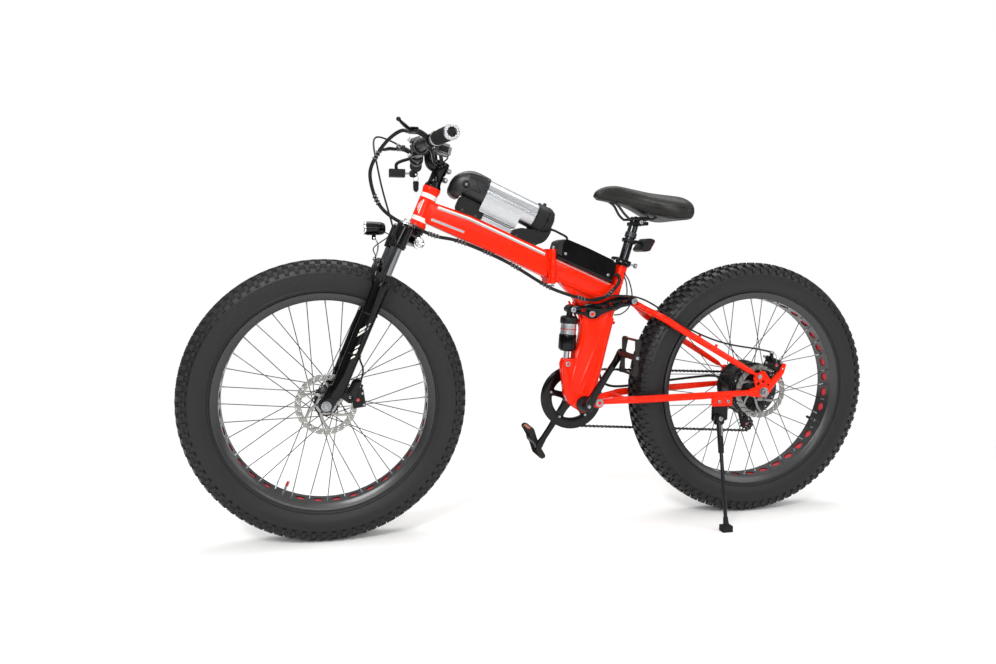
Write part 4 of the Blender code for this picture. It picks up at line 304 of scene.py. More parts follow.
def sheet_metal(outline, holes, low, high, edge=0.3):
    """A flat plate in the side view with holes and eased edges, between low and high along Y."""
    curve = bpy.data.curves.new("outline", "CURVE")
    curve.dimensions = "2D"
    curve.fill_mode = "BOTH"
    curve.extrude = (high - low) / 2 - edge
    curve.bevel_depth = edge
    curve.bevel_resolution = 1
    curve.offset = -edge
    for line in [outline] + list(holes):
        spline = curve.splines.new("POLY")
        spline.points.add(len(line) - 1)
        for point, (x, z) in zip(spline.points, line):
            point.co = (x, z, 0, 1)
        spline.use_cyclic_u = True
    holder = bpy.data.objects.new("outline", curve)
    mesh = bpy.data.meshes.new_from_object(holder)
    middle = (low + high) / 2
    points = [Vector((v.co.x, middle + v.co.z, v.co.y)) for v in mesh.vertices]
    faces = [list(p.vertices) for p in mesh.polygons]
    bpy.data.objects.remove(holder)
    bpy.data.curves.remove(curve)
    bpy.data.meshes.remove(mesh)
    return points, faces


def bolt(centre, axis, radius, height=4.0):
    """A screw head on a face: a socket cap with its recess."""
    return lathe([(0, 0), (0, radius), (height * 0.8, radius), (height, radius * 0.85), (height, radius * 0.55),
                  (height * 0.45, radius * 0.5), (height * 0.45, 0)], centre, axis, 20)


def merge(shapes):
    """Many shapes as one."""
    points, faces = [], []
    for more_points, more_faces in shapes:
        start = len(points)
        points += more_points
        faces += [[start + i for i in f] for f in more_faces]
    return points, faces


def bevelled(work, width, angle):
    """Eases the edges that turn by more than the angle."""
    sharp = [e for e in work.edges if len(e.link_faces) == 2 and e.calc_face_angle(0.0) > angle]
    bmesh.ops.bevel(work, geom=sharp, offset=width * MM, segments=2, affect="EDGES", clamp_overlap=True)


def piece(name, body, finish, shapes, stands_for=(), smooth=SMOOTH, bevel=0.0):
    """One named object from shapes, with its finish, riding on a CAD body."""
    points, faces = merge(shapes)
    mesh = bpy.data.meshes.new(name)
    mesh.from_pydata([tuple(c * MM for c in p) for p in points], [], faces)
    work = bmesh.new()
    work.from_mesh(mesh)
    bmesh.ops.remove_doubles(work, verts=work.verts, dist=WELD)
    bmesh.ops.recalc_face_normals(work, faces=work.faces)
    if bevel:
        bevelled(work, bevel, math.radians(SHARP))
    work.to_mesh(mesh)
    work.free()
    return finished(name, mesh, body, finish, stands_for, smooth)


def finished(name, mesh, body, finish, stands_for=(), smooth=SMOOTH):
    """The mesh as an object with its finish, body (none if it is blended) and the nodes it replaces."""
    made = bpy.data.objects.new(name, mesh)
    bpy.context.scene.collection.objects.link(made)
    mesh.materials.clear()
    mesh.materials.append(finish)
    mesh.shade_smooth()
    if smooth < 180:
        mesh.set_sharp_from_angle(angle=math.radians(smooth))
    if body:
        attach(made, body)
    if stands_for:
        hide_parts(*stands_for)
    return made


def refined(node, finish, bevel, name):
    """A CAD node's own shape with welded faces and eased edges, standing for that node."""
    mesh = nodes[node].data.copy()
    work = bmesh.new()
    work.from_mesh(mesh)
    bmesh.ops.remove_doubles(work, verts=work.verts, dist=WELD)
    bmesh.ops.dissolve_limit(work, angle_limit=math.radians(0.6), verts=work.verts, edges=work.edges)
    bevelled(work, bevel, math.radians(KEPT_EDGE))
    work.to_mesh(mesh)
    work.free()
    return finished(name, mesh, nodes[node]["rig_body"], finish, (node,), KEPT_EDGE)


def closed_ring(centre, radius, axis):
    """The points of a ring's centre line."""
    one, two, _ = frame_for(axis)
    turns = [TAU * k / 32 for k in range(33)]
    return [Vector(centre) + (one * math.cos(t) + two * math.sin(t)) * radius for t in turns]


# Finishes. Colours are sRGB hex, and pattern sizes are millimetres on the real thing.
def linear(colour):
    """sRGB hex to the renderer's linear colour."""
    out = []
    for i in (1, 3, 5):
        c = int(colour[i : i + 2], 16) / 255
        out.append(c / 12.92 if c <= 0.04045 else ((c + 0.055) / 1.055) ** 2.4)
    return (*out, 1.0)


def add(tree, kind, inputs=None, **settings):
    """Adds a node with its settings, and gives its inputs values or other nodes' outputs."""
    node = tree.nodes.new(kind)
    for name, value in settings.items():
        setattr(node, name, value)
    for name, value in (inputs or {}).items():
        if isinstance(name, int):
            socket = node.inputs[name]
        else:
            socket = next(s for s in node.inputs if s.name == name and s.enabled)
        if isinstance(value, bpy.types.NodeSocket):
            tree.links.new(value, socket)
        else:
            socket.default_value = value
    return next(s for s in node.outputs if s.enabled)


def blank(name, colour, rough, metal=0.0, **sockets):
    """A material with its shader's own sockets set, and its tree, shader and object coordinates."""
    made = bpy.data.materials.new(name)
    made.use_nodes = True
    tree = made.node_tree
    shader = tree.nodes["Principled BSDF"]
    shader.inputs["Base Color"].default_value = linear(colour)
    shader.inputs["Roughness"].default_value = rough
    shader.inputs["Metallic"].default_value = metal
    for socket, value in sockets.items():
        label = socket.replace("_", " ").title().replace("Ior", "IOR")
        shader.inputs[label].default_value = value
    return made, tree, shader, add(tree, "ShaderNodeTexCoord").node.outputs["Object"]


def surface(name, colour, rough, metal=0.0, grain=1.0, relief=0.02, shade=None, cloud=60.0, rough_by=0.06,
            **sockets):
    """A coated, moulded or cast surface. grain and cloud are sizes in mm, relief its depth in mm:
    a broad cloud of the second shade, roughness that varies with it, and a fine relief."""
    made, tree, shader, place = blank(name, colour, rough, metal, **sockets)
    broad = add(tree, "ShaderNodeTexNoise", {"Vector": place, "Scale": 1000 / cloud, "Detail": 4.0,
                                             "Roughness": 0.6})
    fine = add(tree, "ShaderNodeTexNoise", {"Vector": place, "Scale": 1000 / grain, "Detail": 2.0})
    if shade:
        mix = add(tree, "ShaderNodeMix", {"Factor": broad, "A": linear(colour), "B": linear(shade)},
                  data_type="RGBA")
        tree.links.new(mix, shader.inputs["Base Color"])
    span = add(tree, "ShaderNodeMapRange", {"Value": broad, "From Min": 0.3, "From Max": 0.7,
                                            "To Min": max(0.02, rough - rough_by), "To Max": rough + rough_by})
    tree.links.new(span, shader.inputs["Roughness"])
    bump = add(tree, "ShaderNodeBump", {"Height": fine, "Strength": 0.6, "Distance": relief * MM})
    tree.links.new(bump, shader.inputs["Normal"])
    return made


frame_enamel = surface("frame_enamel", "#E92203", 0.26, grain=5.0, relief=0.03, shade="#DF1F02", rough_by=0.04,
                       Specular_IOR_Level=0.14, Coat_Weight=0.05, Coat_Roughness=0.05)
black_lacquer = surface("black_lacquer", "#030304", 0.11, grain=5.0, relief=0.02, shade="#070708", rough_by=0.03,
                        Specular_IOR_Level=0.22, Coat_Weight=0.04, Coat_Roughness=0.03)
satin_black = surface("satin_black", "#08080A", 0.36, grain=0.6, relief=0.012, shade="#0D0D0F",
                      rough_by=0.07, Specular_IOR_Level=0.25)
black_alloy = surface("black_alloy", "#121214", 0.3, metal=0.35, grain=0.8, relief=0.01,
                      shade="#0C0C0E", Specular_IOR_Level=0.3)
moulded_black = surface("moulded_black", "#0D0D0E", 0.44, grain=0.7, relief=0.03, shade="#121213",
                        rough_by=0.08, Specular_IOR_Level=0.25)
gloss_plastic = surface("gloss_plastic", "#050506", 0.16, grain=2.0, relief=0.01, shade="#09090A",
                        rough_by=0.05, Specular_IOR_Level=0.25)
grip_rubber = surface("grip_rubber", "#121213", 0.82, grain=1.2, relief=0.08, shade="#1A1A1B",
                      Specular_IOR_Level=0.25)
cable_jacket = surface("cable_jacket", "#09090A", 0.5, grain=1.0, relief=0.02, shade="#0E0E0F",
                       Specular_IOR_Level=0.25)
alloy = surface("alloy", "#C2C4C6", 0.3, metal=1.0, grain=0.8, relief=0.01, shade="#B2B5B8")
chrome = surface("chrome", "#DADBDD", 0.08, metal=1.0, grain=20.0, relief=0.004, shade="#D0D2D4", rough_by=0.03)
dark_chrome = surface("dark_chrome", "#7C7E81", 0.1, metal=1.0, grain=20.0, relief=0.004, shade="#6E7073",
                      rough_by=0.03)
anodised_black = surface("anodised_black", "#3E3F41", 0.16, metal=1.0, grain=3.0, relief=0.004,
                         shade="#343537", rough_by=0.04)
zinc_steel = surface("zinc_steel", "#A4A7AA", 0.36, metal=1.0, grain=0.6, relief=0.01, shade="#8E9194")
dark_steel = surface("dark_steel", "#55575A", 0.36, metal=1.0, grain=0.6, relief=0.01, shade="#3E4042")
spoke_steel = surface("spoke_steel", "#3B3C3E", 0.34, metal=0.9, grain=1.0, relief=0.004, shade="#2D2E30")
rim_black = surface("rim_black", "#131314", 0.38, grain=0.8, relief=0.01, shade="#19191B", Coat_Weight=0.3,
                    Coat_Roughness=0.2)
decal_grey = surface("decal_grey", "#8D9091", 0.32, metal=0.35, grain=2.0, relief=0.004, shade="#A2A5A6",
                     Coat_Weight=0.6, Coat_Roughness=0.08)
decal_white = surface("decal_white", "#E6E3DC", 0.35, grain=2.0, relief=0.004, shade="#D9D6CE", Coat_Weight=0.6,
                      Coat_Roughness=0.08)
red_tape = surface("red_tape", "#C9343C", 0.7, grain=0.8, relief=0.1, shade="#B52932")
red_lens = surface("red_lens", "#8E1015", 0.12, grain=4.0, relief=0.2, shade="#B3171C", rough_by=0.02,
                   Coat_Weight=1.0)
amber_lens = surface("amber_lens", "#B85A1E", 0.2, grain=4.0, relief=0.2, shade="#8E4015", Coat_Weight=1.0)


tyre_rubber = surface("tyre_rubber", "#0D0D0E", 0.5, grain=1.6, relief=0.1, shade="#141415",
                      cloud=45.0, Specular_IOR_Level=0.36)


def turned(name, colour, centre, rough, shade):
    """Metal turned or brushed round an axle: fine rings by the distance from its centre (x, z)."""
    made, tree, shader, place = blank(name, colour, rough, 1.0)
    off = add(tree, "ShaderNodeVectorMath", {0: place, 1: (centre[0] / 1000, 0, centre[1] / 1000)},
              operation="SUBTRACT")
    flat = add(tree, "ShaderNodeVectorMath", {0: off, 1: (1, 0, 1)}, operation="MULTIPLY")
    reach = add(tree, "ShaderNodeVectorMath", {0: flat}, operation="LENGTH").node.outputs["Value"]
    rings = add(tree, "ShaderNodeTexNoise", {"W": reach, "Scale": 1000 / GROOVE, "Detail": 3.0},
                noise_dimensions="1D")
    mix = add(tree, "ShaderNodeMix", {"Factor": rings, "A": linear(colour), "B": linear(shade)}, data_type="RGBA")
    tree.links.new(mix, shader.inputs["Base Color"])
    span = add(tree, "ShaderNodeMapRange", {"Value": rings, "From Min": 0.3, "From Max": 0.7,
                                            "To Min": rough - 0.08, "To Max": rough + 0.08})
    tree.links.new(span, shader.inputs["Roughness"])
    bump = add(tree, "ShaderNodeBump", {"Height": rings, "Strength": 0.5, "Distance": 0.00002})
    tree.links.new(bump, shader.inputs["Normal"])
    return made


front_disc_steel = turned("front_disc_steel", "#9C9B98", FRONT_AXLE, 0.3, "#83827F")
rear_disc_steel = turned("rear_disc_steel", "#8E8D8A", REAR_AXLE, 0.3, "#757472")

# Half of the tyre's outline as (y, radius) from the bead to the crown, with two fine sidewall ribs.
TYRE_HALF_LINE = [(-31, 278.5), (-33.5, 280.5), (-36.4, 286), (-38, 291.5), (-39.4, 294.6), (-41.2, 295.2),
                  (-41.6, 296.6), (-40.9, 297.8), (-43.4, 304), (-46.6, 312), (-49.2, 321), (-50, 330),
                  (-49.4, 337), (-49.7, 338.2), (-49.5, 339.8), (-48.4, 341), (-46.4, 349), (-42, 356),
                  (-35, 361.5), (-26, 365), (-14, 367)]
TYRE_INNER = [(27.5, 279.5), (44, 321), (22, 355), (-22, 355), (-44, 321), (-27.5, 279.5)]
LUGS = 84


def lug(centre, turn, half_turn, inner, outer, depth=4.0):
    """One tapered rubber block from y and radius of the two long edges of its top."""
    points = []
    for swell, sink in ((1.0, depth), (0.82, 0.0)):
        for y, r in (inner, outer):
            for side in (-1, 1):
                a = turn + side * half_turn * swell
                points.append(spun(centre, a, r - sink, y))
    return points, [[4, 5, 7, 6], [0, 1, 5, 4], [2, 6, 7, 3], [0, 4, 6, 2], [1, 3, 7, 5]]


def fat_tyre(name, body, centre):
    """The carcass with five rows of tread blocks and a row of small cuts on each shoulder."""
    outline = TYRE_HALF_LINE + [(0, 367.6)] + [(-y, r) for y, r in TYRE_HALF_LINE[::-1]] + TYRE_INNER
    shapes = [drum(outline, centre, 144)]
    step = TAU / LUGS
    for k in range(LUGS):
        a = step * k
        shapes.append(lug(centre, a, step * 0.27, (-9, 375.0), (9, 375.0), 9))
        for side in (-1, 1):
            b = a + step * 0.5
            shapes.append(lug(centre, b, step * 0.3, (side * 13, 374.8), (side * 27, 372.2), 9))
            shapes.append(lug(centre, a + step * 0.12, step * 0.3, (side * 31, 370.6), (side * 43.5, 363.6), 9))
            shapes.append(lug(centre, b + step * 0.12, step * 0.22, (side * 43.5, 360.6), (side * 49.4, 351.5), 6))
    return piece(name, body, tyre_rubber, shapes, (name[:-6],), smooth=30)


def spun(centre, a, r, y):
    """The point at y and radius r, turned by a about a place."""
    return Vector(beside(centre, y, r * math.cos(a), r * math.sin(a)))


def window_patch(centre, start, pitch, r_low, r_high, half, hole):
    """A piece of the rim's bed between two spokes, with a round window unless hole is 0."""
    per = 8
    corners = [(0, -half), (1, -half), (1, half), (0, half)]
    square = []
    for (u0, y0), (u1, y1) in zip(corners, corners[1:] + corners[:1]):
        square += [(u0 + (u1 - u0) * k / per, y0 + (y1 - y0) * k / per) for k in range(per)]
    points, faces = [], []
    count = len(square)
    for r in (r_low, r_high):
        points += [spun(centre, start + pitch * u, r, y) for u, y in square]
        for u, y in square:
            dx, dy = (u - 0.5) * pitch * r, y
            far = math.hypot(dx, dy)
            points.append(spun(centre, start + pitch / 2 + dx / far * hole / r, r, dy / far * hole))
    if hole:
        for k in range(count):
            m = (k + 1) % count
            faces.append([k, m, count + m, count + k])
            faces.append([2 * count + k, 3 * count + k, 3 * count + m, 2 * count + m])
            faces.append([count + k, count + m, 3 * count + m, 3 * count + k])
    else:
        for k in range(per + 1):
            if k < per:
                left = [k, k + 1, 3 * per - k - 1, 3 * per - k]
                faces += [left, [2 * count + i for i in left[::-1]]]
        points = points[:count] + points[:count] + points[2 * count : 3 * count]
    return points, faces


def wheel(front, centre, flange_r, flange_y, cross, valve):
    """Rim with round windows over red tape, bright flange edges, 36 laced spokes with nipples, and valve."""
    body = front + "_wheel"
    pitch = TAU / 36
    hub = beside(centre, 0)
    shapes = [window_patch(centre, pitch * k, pitch, 269.0, 271.4, 29.0, 0.0 if k == valve else 12.6)
              for k in range(36)]
    for side in (-1, 1):
        lip = [(29, 269), (30, 268.4), (32, 270.6), (39.6, 284.6), (40, 286.4), (40, 287.4), (39.2, 288),
               (37.6, 288), (36.8, 287.2), (35.6, 284), (30.5, 272.4), (29, 271.4)]
        shapes.append(lathe([(side * y, r) for y, r in lip], hub, (0, 1, 0), 144))
    piece(front + "_rim_shell", body, rim_black, shapes, (front + "_rim",), smooth=35)
    edges = [lathe([(side * 39.2, 286.6), (side * 40.25, 286.6), (side * 40.25, 288.1), (side * 38.6, 288.4)],
                   hub, (0, 1, 0), 144) for side in (-1, 1)]
    piece(front + "_rim_edge", body, spoke_steel, edges)
    tape = lathe([(-27, 272.6), (27, 272.6), (27, 273.4), (-27, 273.4)], hub, (0, 1, 0), 144,
                 ripple=lambda y, r, t: 0.35 * math.sin(t * 53 + y * 0.3))
    piece(front + "_rim_tape", body, red_tape, [tape])
    wires, nipples = [], []
    for k in range(36):
        a = k * pitch
        side = -1 if k % 2 else 1
        lead = cross if (k // 2) % 2 else -cross
        tuck = 1.6 if (k // 2) % 2 else -1.6
        start = spun(centre, a, 270.0, side * 7.0)
        end = spun(centre, a + lead, flange_r, side * (flange_y + tuck))
        way = (end - start).normalized()
        wires.append(rod(start, end, 1.15, 8, edge=0.2))
        wires.append(rod(end - way * 1.5, end + Vector((0, -side * 3.4 * (1 if tuck > 0 else -1), 0)), 1.3, 8,
                         edge=0.3))
        nipples.append(lathe([(-3, 0), (-3, 3.1), (-0.5, 3.1), (1.2, 2.1), (12.5, 1.9), (13.5, 1.3),
                              (13.5, 0)], start, way, 10))
    piece(front + "_spokes", body, spoke_steel, wires)
    piece(front + "_nipples", body, zinc_steel, nipples)
    a = (valve + 0.5) * pitch
    inward = -Vector((math.cos(a), 0, math.sin(a)))
    root = spun(centre, a, 271.0, 0)
    piece(front + "_valve", body, zinc_steel,
          [lathe([(-1, 0), (-1, 4.6), (5, 4.4), (6, 3.2), (24, 3.1), (24, 0)], root, inward, 16)])
    cap_finish = red_lens if front == "front" else moulded_black
    cap = lathe([(22, 0), (22, 3.9), (34, 3.9), (36, 3.0), (36, 0)], root, inward, 16,
                ripple=lambda h, r, t: 0.25 * math.cos(8 * t) if 21 < h < 35 else 0.0)
    piece(front + "_valve_cap", body, cap_finish, [cap], smooth=25)


def disc(centre, y, mount_r):
    """A brake disc: scalloped edge, drilled track and six swept arms round a ring."""
    wave = [(centre[0] + (79.2 + 0.8 * math.cos(24 * t)) * math.cos(t),
             centre[1] + (79.2 + 0.8 * math.cos(24 * t)) * math.sin(t))
            for t in (TAU * k / 192 for k in range(192))]
    holes = []
    for k in range(24):
        t = TAU * (k + 0.5) / 24
        for r, lag, size in ((75.6, 0.0, 1.9), (71.2, 0.045, 2.1), (67.4, 0.105, 1.7)):
            holes.append(circle((centre[0] + r * math.cos(t + lag), centre[1] + r * math.sin(t + lag)), size, 10))
    low_r, high_r, arms = mount_r + 5.0, 63.5, 6

    def swept(k, r, side):
        share = (r - low_r) / (high_r - low_r)
        return TAU * k / arms + 0.62 * share ** 0.8 + side * (4.6 - 0.8 * share) / r

    for k in range(arms):
        steps = [low_r + (high_r - low_r) * i / 7 for i in range(8)]
        one = [(r, swept(k, r, 1)) for r in steps]
        two = [(r, swept(k + 1, r, -1)) for r in steps[::-1]]
        outer = [(high_r, one[-1][1] + (two[0][1] - one[-1][1]) * i / 6) for i in range(1, 6)]
        back = [(low_r, two[-1][1] + (one[0][1] - two[-1][1]) * i / 3) for i in range(1, 3)]
        holes.append([(centre[0] + r * math.cos(t), centre[1] + r * math.sin(t))
                      for r, t in one + outer + two + back])
    holes.append(circle(centre, mount_r - 6.0, 40))
    return sheet_metal(wave, holes, y - 0.9, y + 0.9, 0.15)


def ring_of_bolts(centre, y, r, count, size, face, height=2.0, start=0.0):
    return [bolt(beside(centre, y, r * math.cos(start + TAU * k / count), r * math.sin(start + TAU * k / count)),
                 (0, face, 0), size, height) for k in range(count)]


fat_tyre("front_tyre_tread", "front_wheel", FRONT_AXLE)
fat_tyre("rear_tyre_tread", "rear_wheel", REAR_AXLE)
wheel("front", FRONT_AXLE, 33.0, 48.3, math.radians(62), 24)
wheel("rear", REAR_AXLE, 80.0, 33.0, math.radians(24), 33)

front_hub = drum([(-65, 6.8), (-65, 12.5), (-64, 13.5), (-60, 14), (-58, 19), (-55.6, 19.5), (-53.6, 27.5),
                  (-53.4, 28.5), (-50.8, 31), (-50.2, 31.8), (-47, 31.8), (-46.2, 31), (-43.5, 20), (-39, 16.4),
                  (0, 15.6), (39, 16.4), (43.5, 20), (46.2, 31), (47, 31.8), (50.2, 31.8), (50.8, 31), (52.5, 16),
                  (54, 14.4), (63, 13), (65, 12), (65, 6.8)], FRONT_AXLE, 64)
piece("front_hub_shell", "front_wheel", black_alloy, [front_hub])
piece("front_disc", "front_wheel", front_disc_steel, [disc(FRONT_AXLE, FRONT_ROTOR_Y, 22)], ("front_hub_rotor",))
piece("front_disc_bolts", "front_wheel", dark_steel, ring_of_bolts(FRONT_AXLE, FRONT_ROTOR_Y - 0.8, 22, 6, 4.0, -1))
piece("rear_disc", "rear_wheel", rear_disc_steel, [disc(REAR_AXLE, REAR_ROTOR_Y, 24)], ("rear_rotor",))
piece("rear_disc_bolts", "rear_wheel", dark_steel, ring_of_bolts(REAR_AXLE, REAR_ROTOR_Y - 0.8, 24, 6, 4.0, -1))

motor_line = [(-76.4, 6.8), (-76.4, 30), (-72, 30.4), (-71, 22), (-66, 22.5), (-62, 30), (-60.5, 31), (-57, 40),
              (-55.2, 40.6), (-53, 48), (-51.2, 48.6), (-49, 56), (-47.2, 56.6), (-45.4, 62.5), (-42, 69.5),
              (-40, 71.6), (-37.4, 72.4), (-36.4, 78), (-35.8, 79), (-31.4, 79), (-30.8, 78), (-30, 72.4),
              (-22, 72), (-21, 71), (-19, 71), (-18, 72), (16, 72), (17, 71), (19, 71), (20, 72), (27, 72.4),
              (27.8, 78), (28.4, 79), (32.6, 79), (33.2, 78), (34.4, 70), (38, 58), (39.4, 40), (40, 24),
              (43, 22), (43, 6.8)]
piece("motor_shell", "rear_wheel", black_alloy, [drum(motor_line, REAR_AXLE, 96)],
      ("hub_motor",))
cover_ribs = []
for k in range(24):
    a = TAU * k / 24
    cover_ribs.append(rod(spun(REAR_AXLE, a, 34, -60.5), spun(REAR_AXLE, a, 64, -45.6), 1.7, 8))
piece("motor_ribs", "rear_wheel", black_alloy, cover_ribs)
seams = [drum([(y - 0.5, 71.6), (y + 0.5, 71.6), (y + 0.5, 72.8), (y - 0.5, 72.8)], REAR_AXLE, 96)
         for y in (-37.6, 27.0)]
piece("motor_seams", "rear_wheel", alloy, seams + ring_of_bolts(REAR_AXLE, -42.5, 66.5, 12, 2.6, -1, 2.0, 0.13)
      + ring_of_bolts(REAR_AXLE, 35.5, 66.0, 12, 2.6, 1, 1.6, 0.13))


def axle_set(name, body, node, centre, reach, nut_from, nut_r, collar_to, collar_r):
    """Threaded axle with washers, hexagon nuts and inner collars."""
    def thread(h, r, t):
        return 0.25 * math.cos(t - TAU * h / 1.25) if r > 5.9 else 0.0

    turns = int((reach * 2) / 1.0)
    bar = [(-reach, 0), (-reach, 5.2), (-reach + 1, 6.0)]
    bar += [(-reach + 1.5 + (2 * reach - 3) * k / turns, 6.0) for k in range(turns)]
    bar += [(reach - 1, 6.0), (reach, 5.2), (reach, 0)]
    shapes = [drum(bar, centre, 16, ripple=thread)]
    y = nut_from
    washer = [(y, 6), (y, nut_r + 3), (y + 1.8, nut_r + 3), (y + 1.8, 6)]
    nut = [(y + 1.6, 6), (y + 1.6, nut_r), (y + 9.6, nut_r), (y + 10.6, nut_r * 0.9), (y + 10.6, 6)]
    collar = [(collar_to - 4, 6), (collar_to - 4, collar_r), (collar_to, collar_r), (collar_to, 6)]
    for side in (-1, 1):
        for line, count in ((washer, 32), (nut, 6), (collar, 32)):
            shapes.append(drum([(side * h, r) for h, r in line], centre, count))
    piece(name, body, zinc_steel, shapes, (node,), smooth=30, bevel=0.3)


axle_set("front_axle_nuts", "fork_lowers", "front_axle", FRONT_AXLE, 98, 85.4, 10.0, 70.7, 10.0)
axle_set("rear_axle_nuts", "swingarm", "rear_axle", REAR_AXLE, 112, 94.4, 11.0, 87.7, 9.0)


def disc_caliper(name, centre, y, lean, body, node, arm):
    """Cast body over the disc, round piston housing, cable arm, bolts and a red pad adjuster."""
    turn = Matrix.Rotation(-lean, 3, "Y")

    def at(x, depth, z):
        v = turn @ Vector((x, 0, z))
        return Vector(beside(centre, depth, v.x, v.z))

    shell = [block(at(0, y + 5.2, 0), (34, 6, 44), turn), block(at(0, y - 8.5, 0), (32, 12, 42), turn),
             block(at(9, y - 1, 0.6), (9, 16, 36), turn), block(at(-4, y - 15.5, 2), (22, 4, 26), turn),
             rod(at(8, y - 8, 18), at(8, y - 8, 35), 5.0, 20)]
    piece(name, body, black_alloy, shell, (node,), bevel=1.6)
    arm_turn = turn @ Matrix.Rotation(0.35 * arm, 3, "Y")
    moving = [rod(at(-2, y - 14, 2), at(-2, y - 21, 2), 11.4, 32, edge=1.5),
              rod(at(-2, y - 21, 2), at(-2, y - 24, 2), 8.0, 32),
              block(at(6 * arm, y - 21, 20), (9, 3.4, 42), arm_turn)]
    piece(name + "_arm", body, satin_black, moving, bevel=0.8)
    bolts = [bolt(at(12, y - 14.4, z), (0, -1, 0), 3.6, 3.0) for z in (-15, 15)]
    bolts.append(bolt(at(8 * arm, y - 23.4, 36), (0, -1, 0), 3.4, 3.4))
    piece(name + "_bolts", body, zinc_steel, bolts + [rod(at(8, y - 8, 33), at(8, y - 8, 42), 3.2, 16)])
    piece(name + "_adjuster", body, red_lens, [rod(at(-2, y - 23.5, 2), at(-2, y - 26, 2), 4.6, 20)])


disc_caliper("front_caliper_body", (FRONT_AXLE[0] + 82, FRONT_AXLE[1] + 12), FRONT_ROTOR_Y,
             math.radians(8), "fork_lowers", "front_caliper", 1)
disc_caliper("rear_caliper_body", (REAR_AXLE[0] + 36, REAR_AXLE[1] + 80), REAR_ROTOR_Y,
             math.radians(65.8), "swingarm", "rear_caliper", -1)


def bead(path, radius=2.4):
    """A weld: a thin bar with the even ripple that each drop of the seam leaves."""
    line = [Vector(p) for p in path]
    points = [line[0]]
    for a, b in zip(line, line[1:]):
        steps = max(1, round((b - a).length / 1.0))
        points += [a + (b - a) * k / steps for k in range(1, steps + 1)]
    radii = [radius * (0.86 + 0.2 * abs(math.sin(math.pi * k / RIPPLE))) for k in range(len(points))]
    return tube(points, radius, 8, radii)


def rounded_ring(x, z, lean, high, wide, corner):
    """A rounded rectangle standing across the beam."""
    out = []
    for sy, sz, first in ((1, 1, 0), (-1, 1, 90), (-1, -1, 180), (1, -1, 270)):
        for k in range(7):
            t = math.radians(first + 90 * k / 6)
            y = sy * (wide / 2 - corner) + corner * math.cos(t)
            up = sz * (high / 2 - corner) + corner * math.sin(t)
            out.append(Vector((x + up * math.sin(lean), y, z + up * math.cos(lean))))
    return out


BEAM_LEAN = math.radians(23.0)
head_middle = steer(574.5)
BEAM = [(head_middle.x + 6, head_middle.z - 10, BEAM_LEAN, 58, 38), (-250.0, 840.0, BEAM_LEAN, 68, 44),
        (HINGE_X - 110, 784.5, BEAM_LEAN, 66, 48), (HINGE_X - 9, 739.5, math.radians(8.0), 70, 50)]


def beam_at(s):
    """Interpolates the beam's stations, s from 0 at the head tube to 3 at the fold."""
    i = min(2, int(s))
    return tuple(a + (b - a) * (s - i) for a, b in zip(BEAM[i], BEAM[i + 1]))


def on_beam(s, down, side, lift=0.3):
    """A point on the beam's side face, so far down from its top edge, or up from its lower one if negative."""
    x, z, lean, high, wide = beam_at(s)
    up = high / 2 - down if down > 0 else -high / 2 - down
    return Vector((x + up * math.sin(lean), side * (wide / 2 + lift), z + up * math.cos(lean)))


def strip(start, end, near, far, side, near_end=None, far_end=None):
    """A thin foil on the beam's side between two heights."""
    rings = []
    for k in range(25):
        t = k / 24
        s = start + (end - start) * t
        a = near + ((near_end if near_end is not None else near) - near) * t
        b = far + ((far_end if far_end is not None else far) - far) * t
        rings.append([on_beam(s, a, side), on_beam(s, b, side), on_beam(s, b, side, -0.3),
                      on_beam(s, a, side, -0.3)])
    return loft(rings)


beam = loft([rounded_ring(*beam_at(k / 8), 7.5) for k in range(25)])
head_line = [(517, 14), (517, 23.2), (518, 24), (528, 24), (530, 22.6), (533, 22), (616, 22), (619, 22.6),
             (621, 24), (631, 24), (632, 23.2), (632, 14)]
fold_plate = [block((HINGE_X - 5.8, 0, 735), (10.6, 60, 96)), block((HINGE_X - 5.8, -31.5, 701.9), (10.2, 9, 27)),
              block((HINGE_X - 5.8, -31.5, 768.1), (10.2, 9, 27)), block((HINGE_X - 14, 34, 722), (12, 12, 5)),
              block((HINGE_X - 14, 34, 748), (12, 12, 5))]
knuckles = [rod((HINGE_X, HINGE_Y, low), (HINGE_X, HINGE_Y, high), 6.5, 32, edge=0.8)
            for low, high in ((688.0, 715.7), (754.3, 782.0))]
piece("front_beam", "front_frame", frame_enamel, [beam, lathe(head_line, (steer(0)), STEER_UP, 64)] + knuckles,
      ("front_frame",), smooth=40)
piece("front_fold_plate", "front_frame", frame_enamel,
      fold_plate + [rod((HINGE_X - 14, 36, 716), (HINGE_X - 14, 36, 753), 2.4, 16)], bevel=2.0)
seam = rounded_ring(HINGE_X - 11.6, 739.0, math.radians(6.0), 70, 50, 8)
collar = []
for k in range(33):
    a = TAU * k / 32
    out = steer(574.5 - 27 * math.cos(a), -14, 19 * math.sin(a))
    collar.append(out + Vector((2.5 * abs(math.cos(a)), 0, -6)))
piece("front_welds", "front_frame", frame_enamel, [bead(seam + seam[:1]), bead(collar, 2.2)], smooth=60)
foils = []
for side in (-1, 1):
    foils += [strip(0.2, 2.86, 10.4, 14.4, side, 12.4, 16.4), strip(0.16, 1.02, -17.5, -10.5, side, -21.5, -15.5)]
piece("beam_foils", "front_frame", decal_grey, foils)
foils = [strip(0.2, 2.86, 6.4, 10.2, side, 8.4, 12.2) for side in (-1, 1)]
for low, high in ((535, 547), (600, 612)):
    foils.append(lathe([(low, 21.5), (low, 22.25), (high, 22.25), (high, 21.5)], steer(0), STEER_UP, 64))
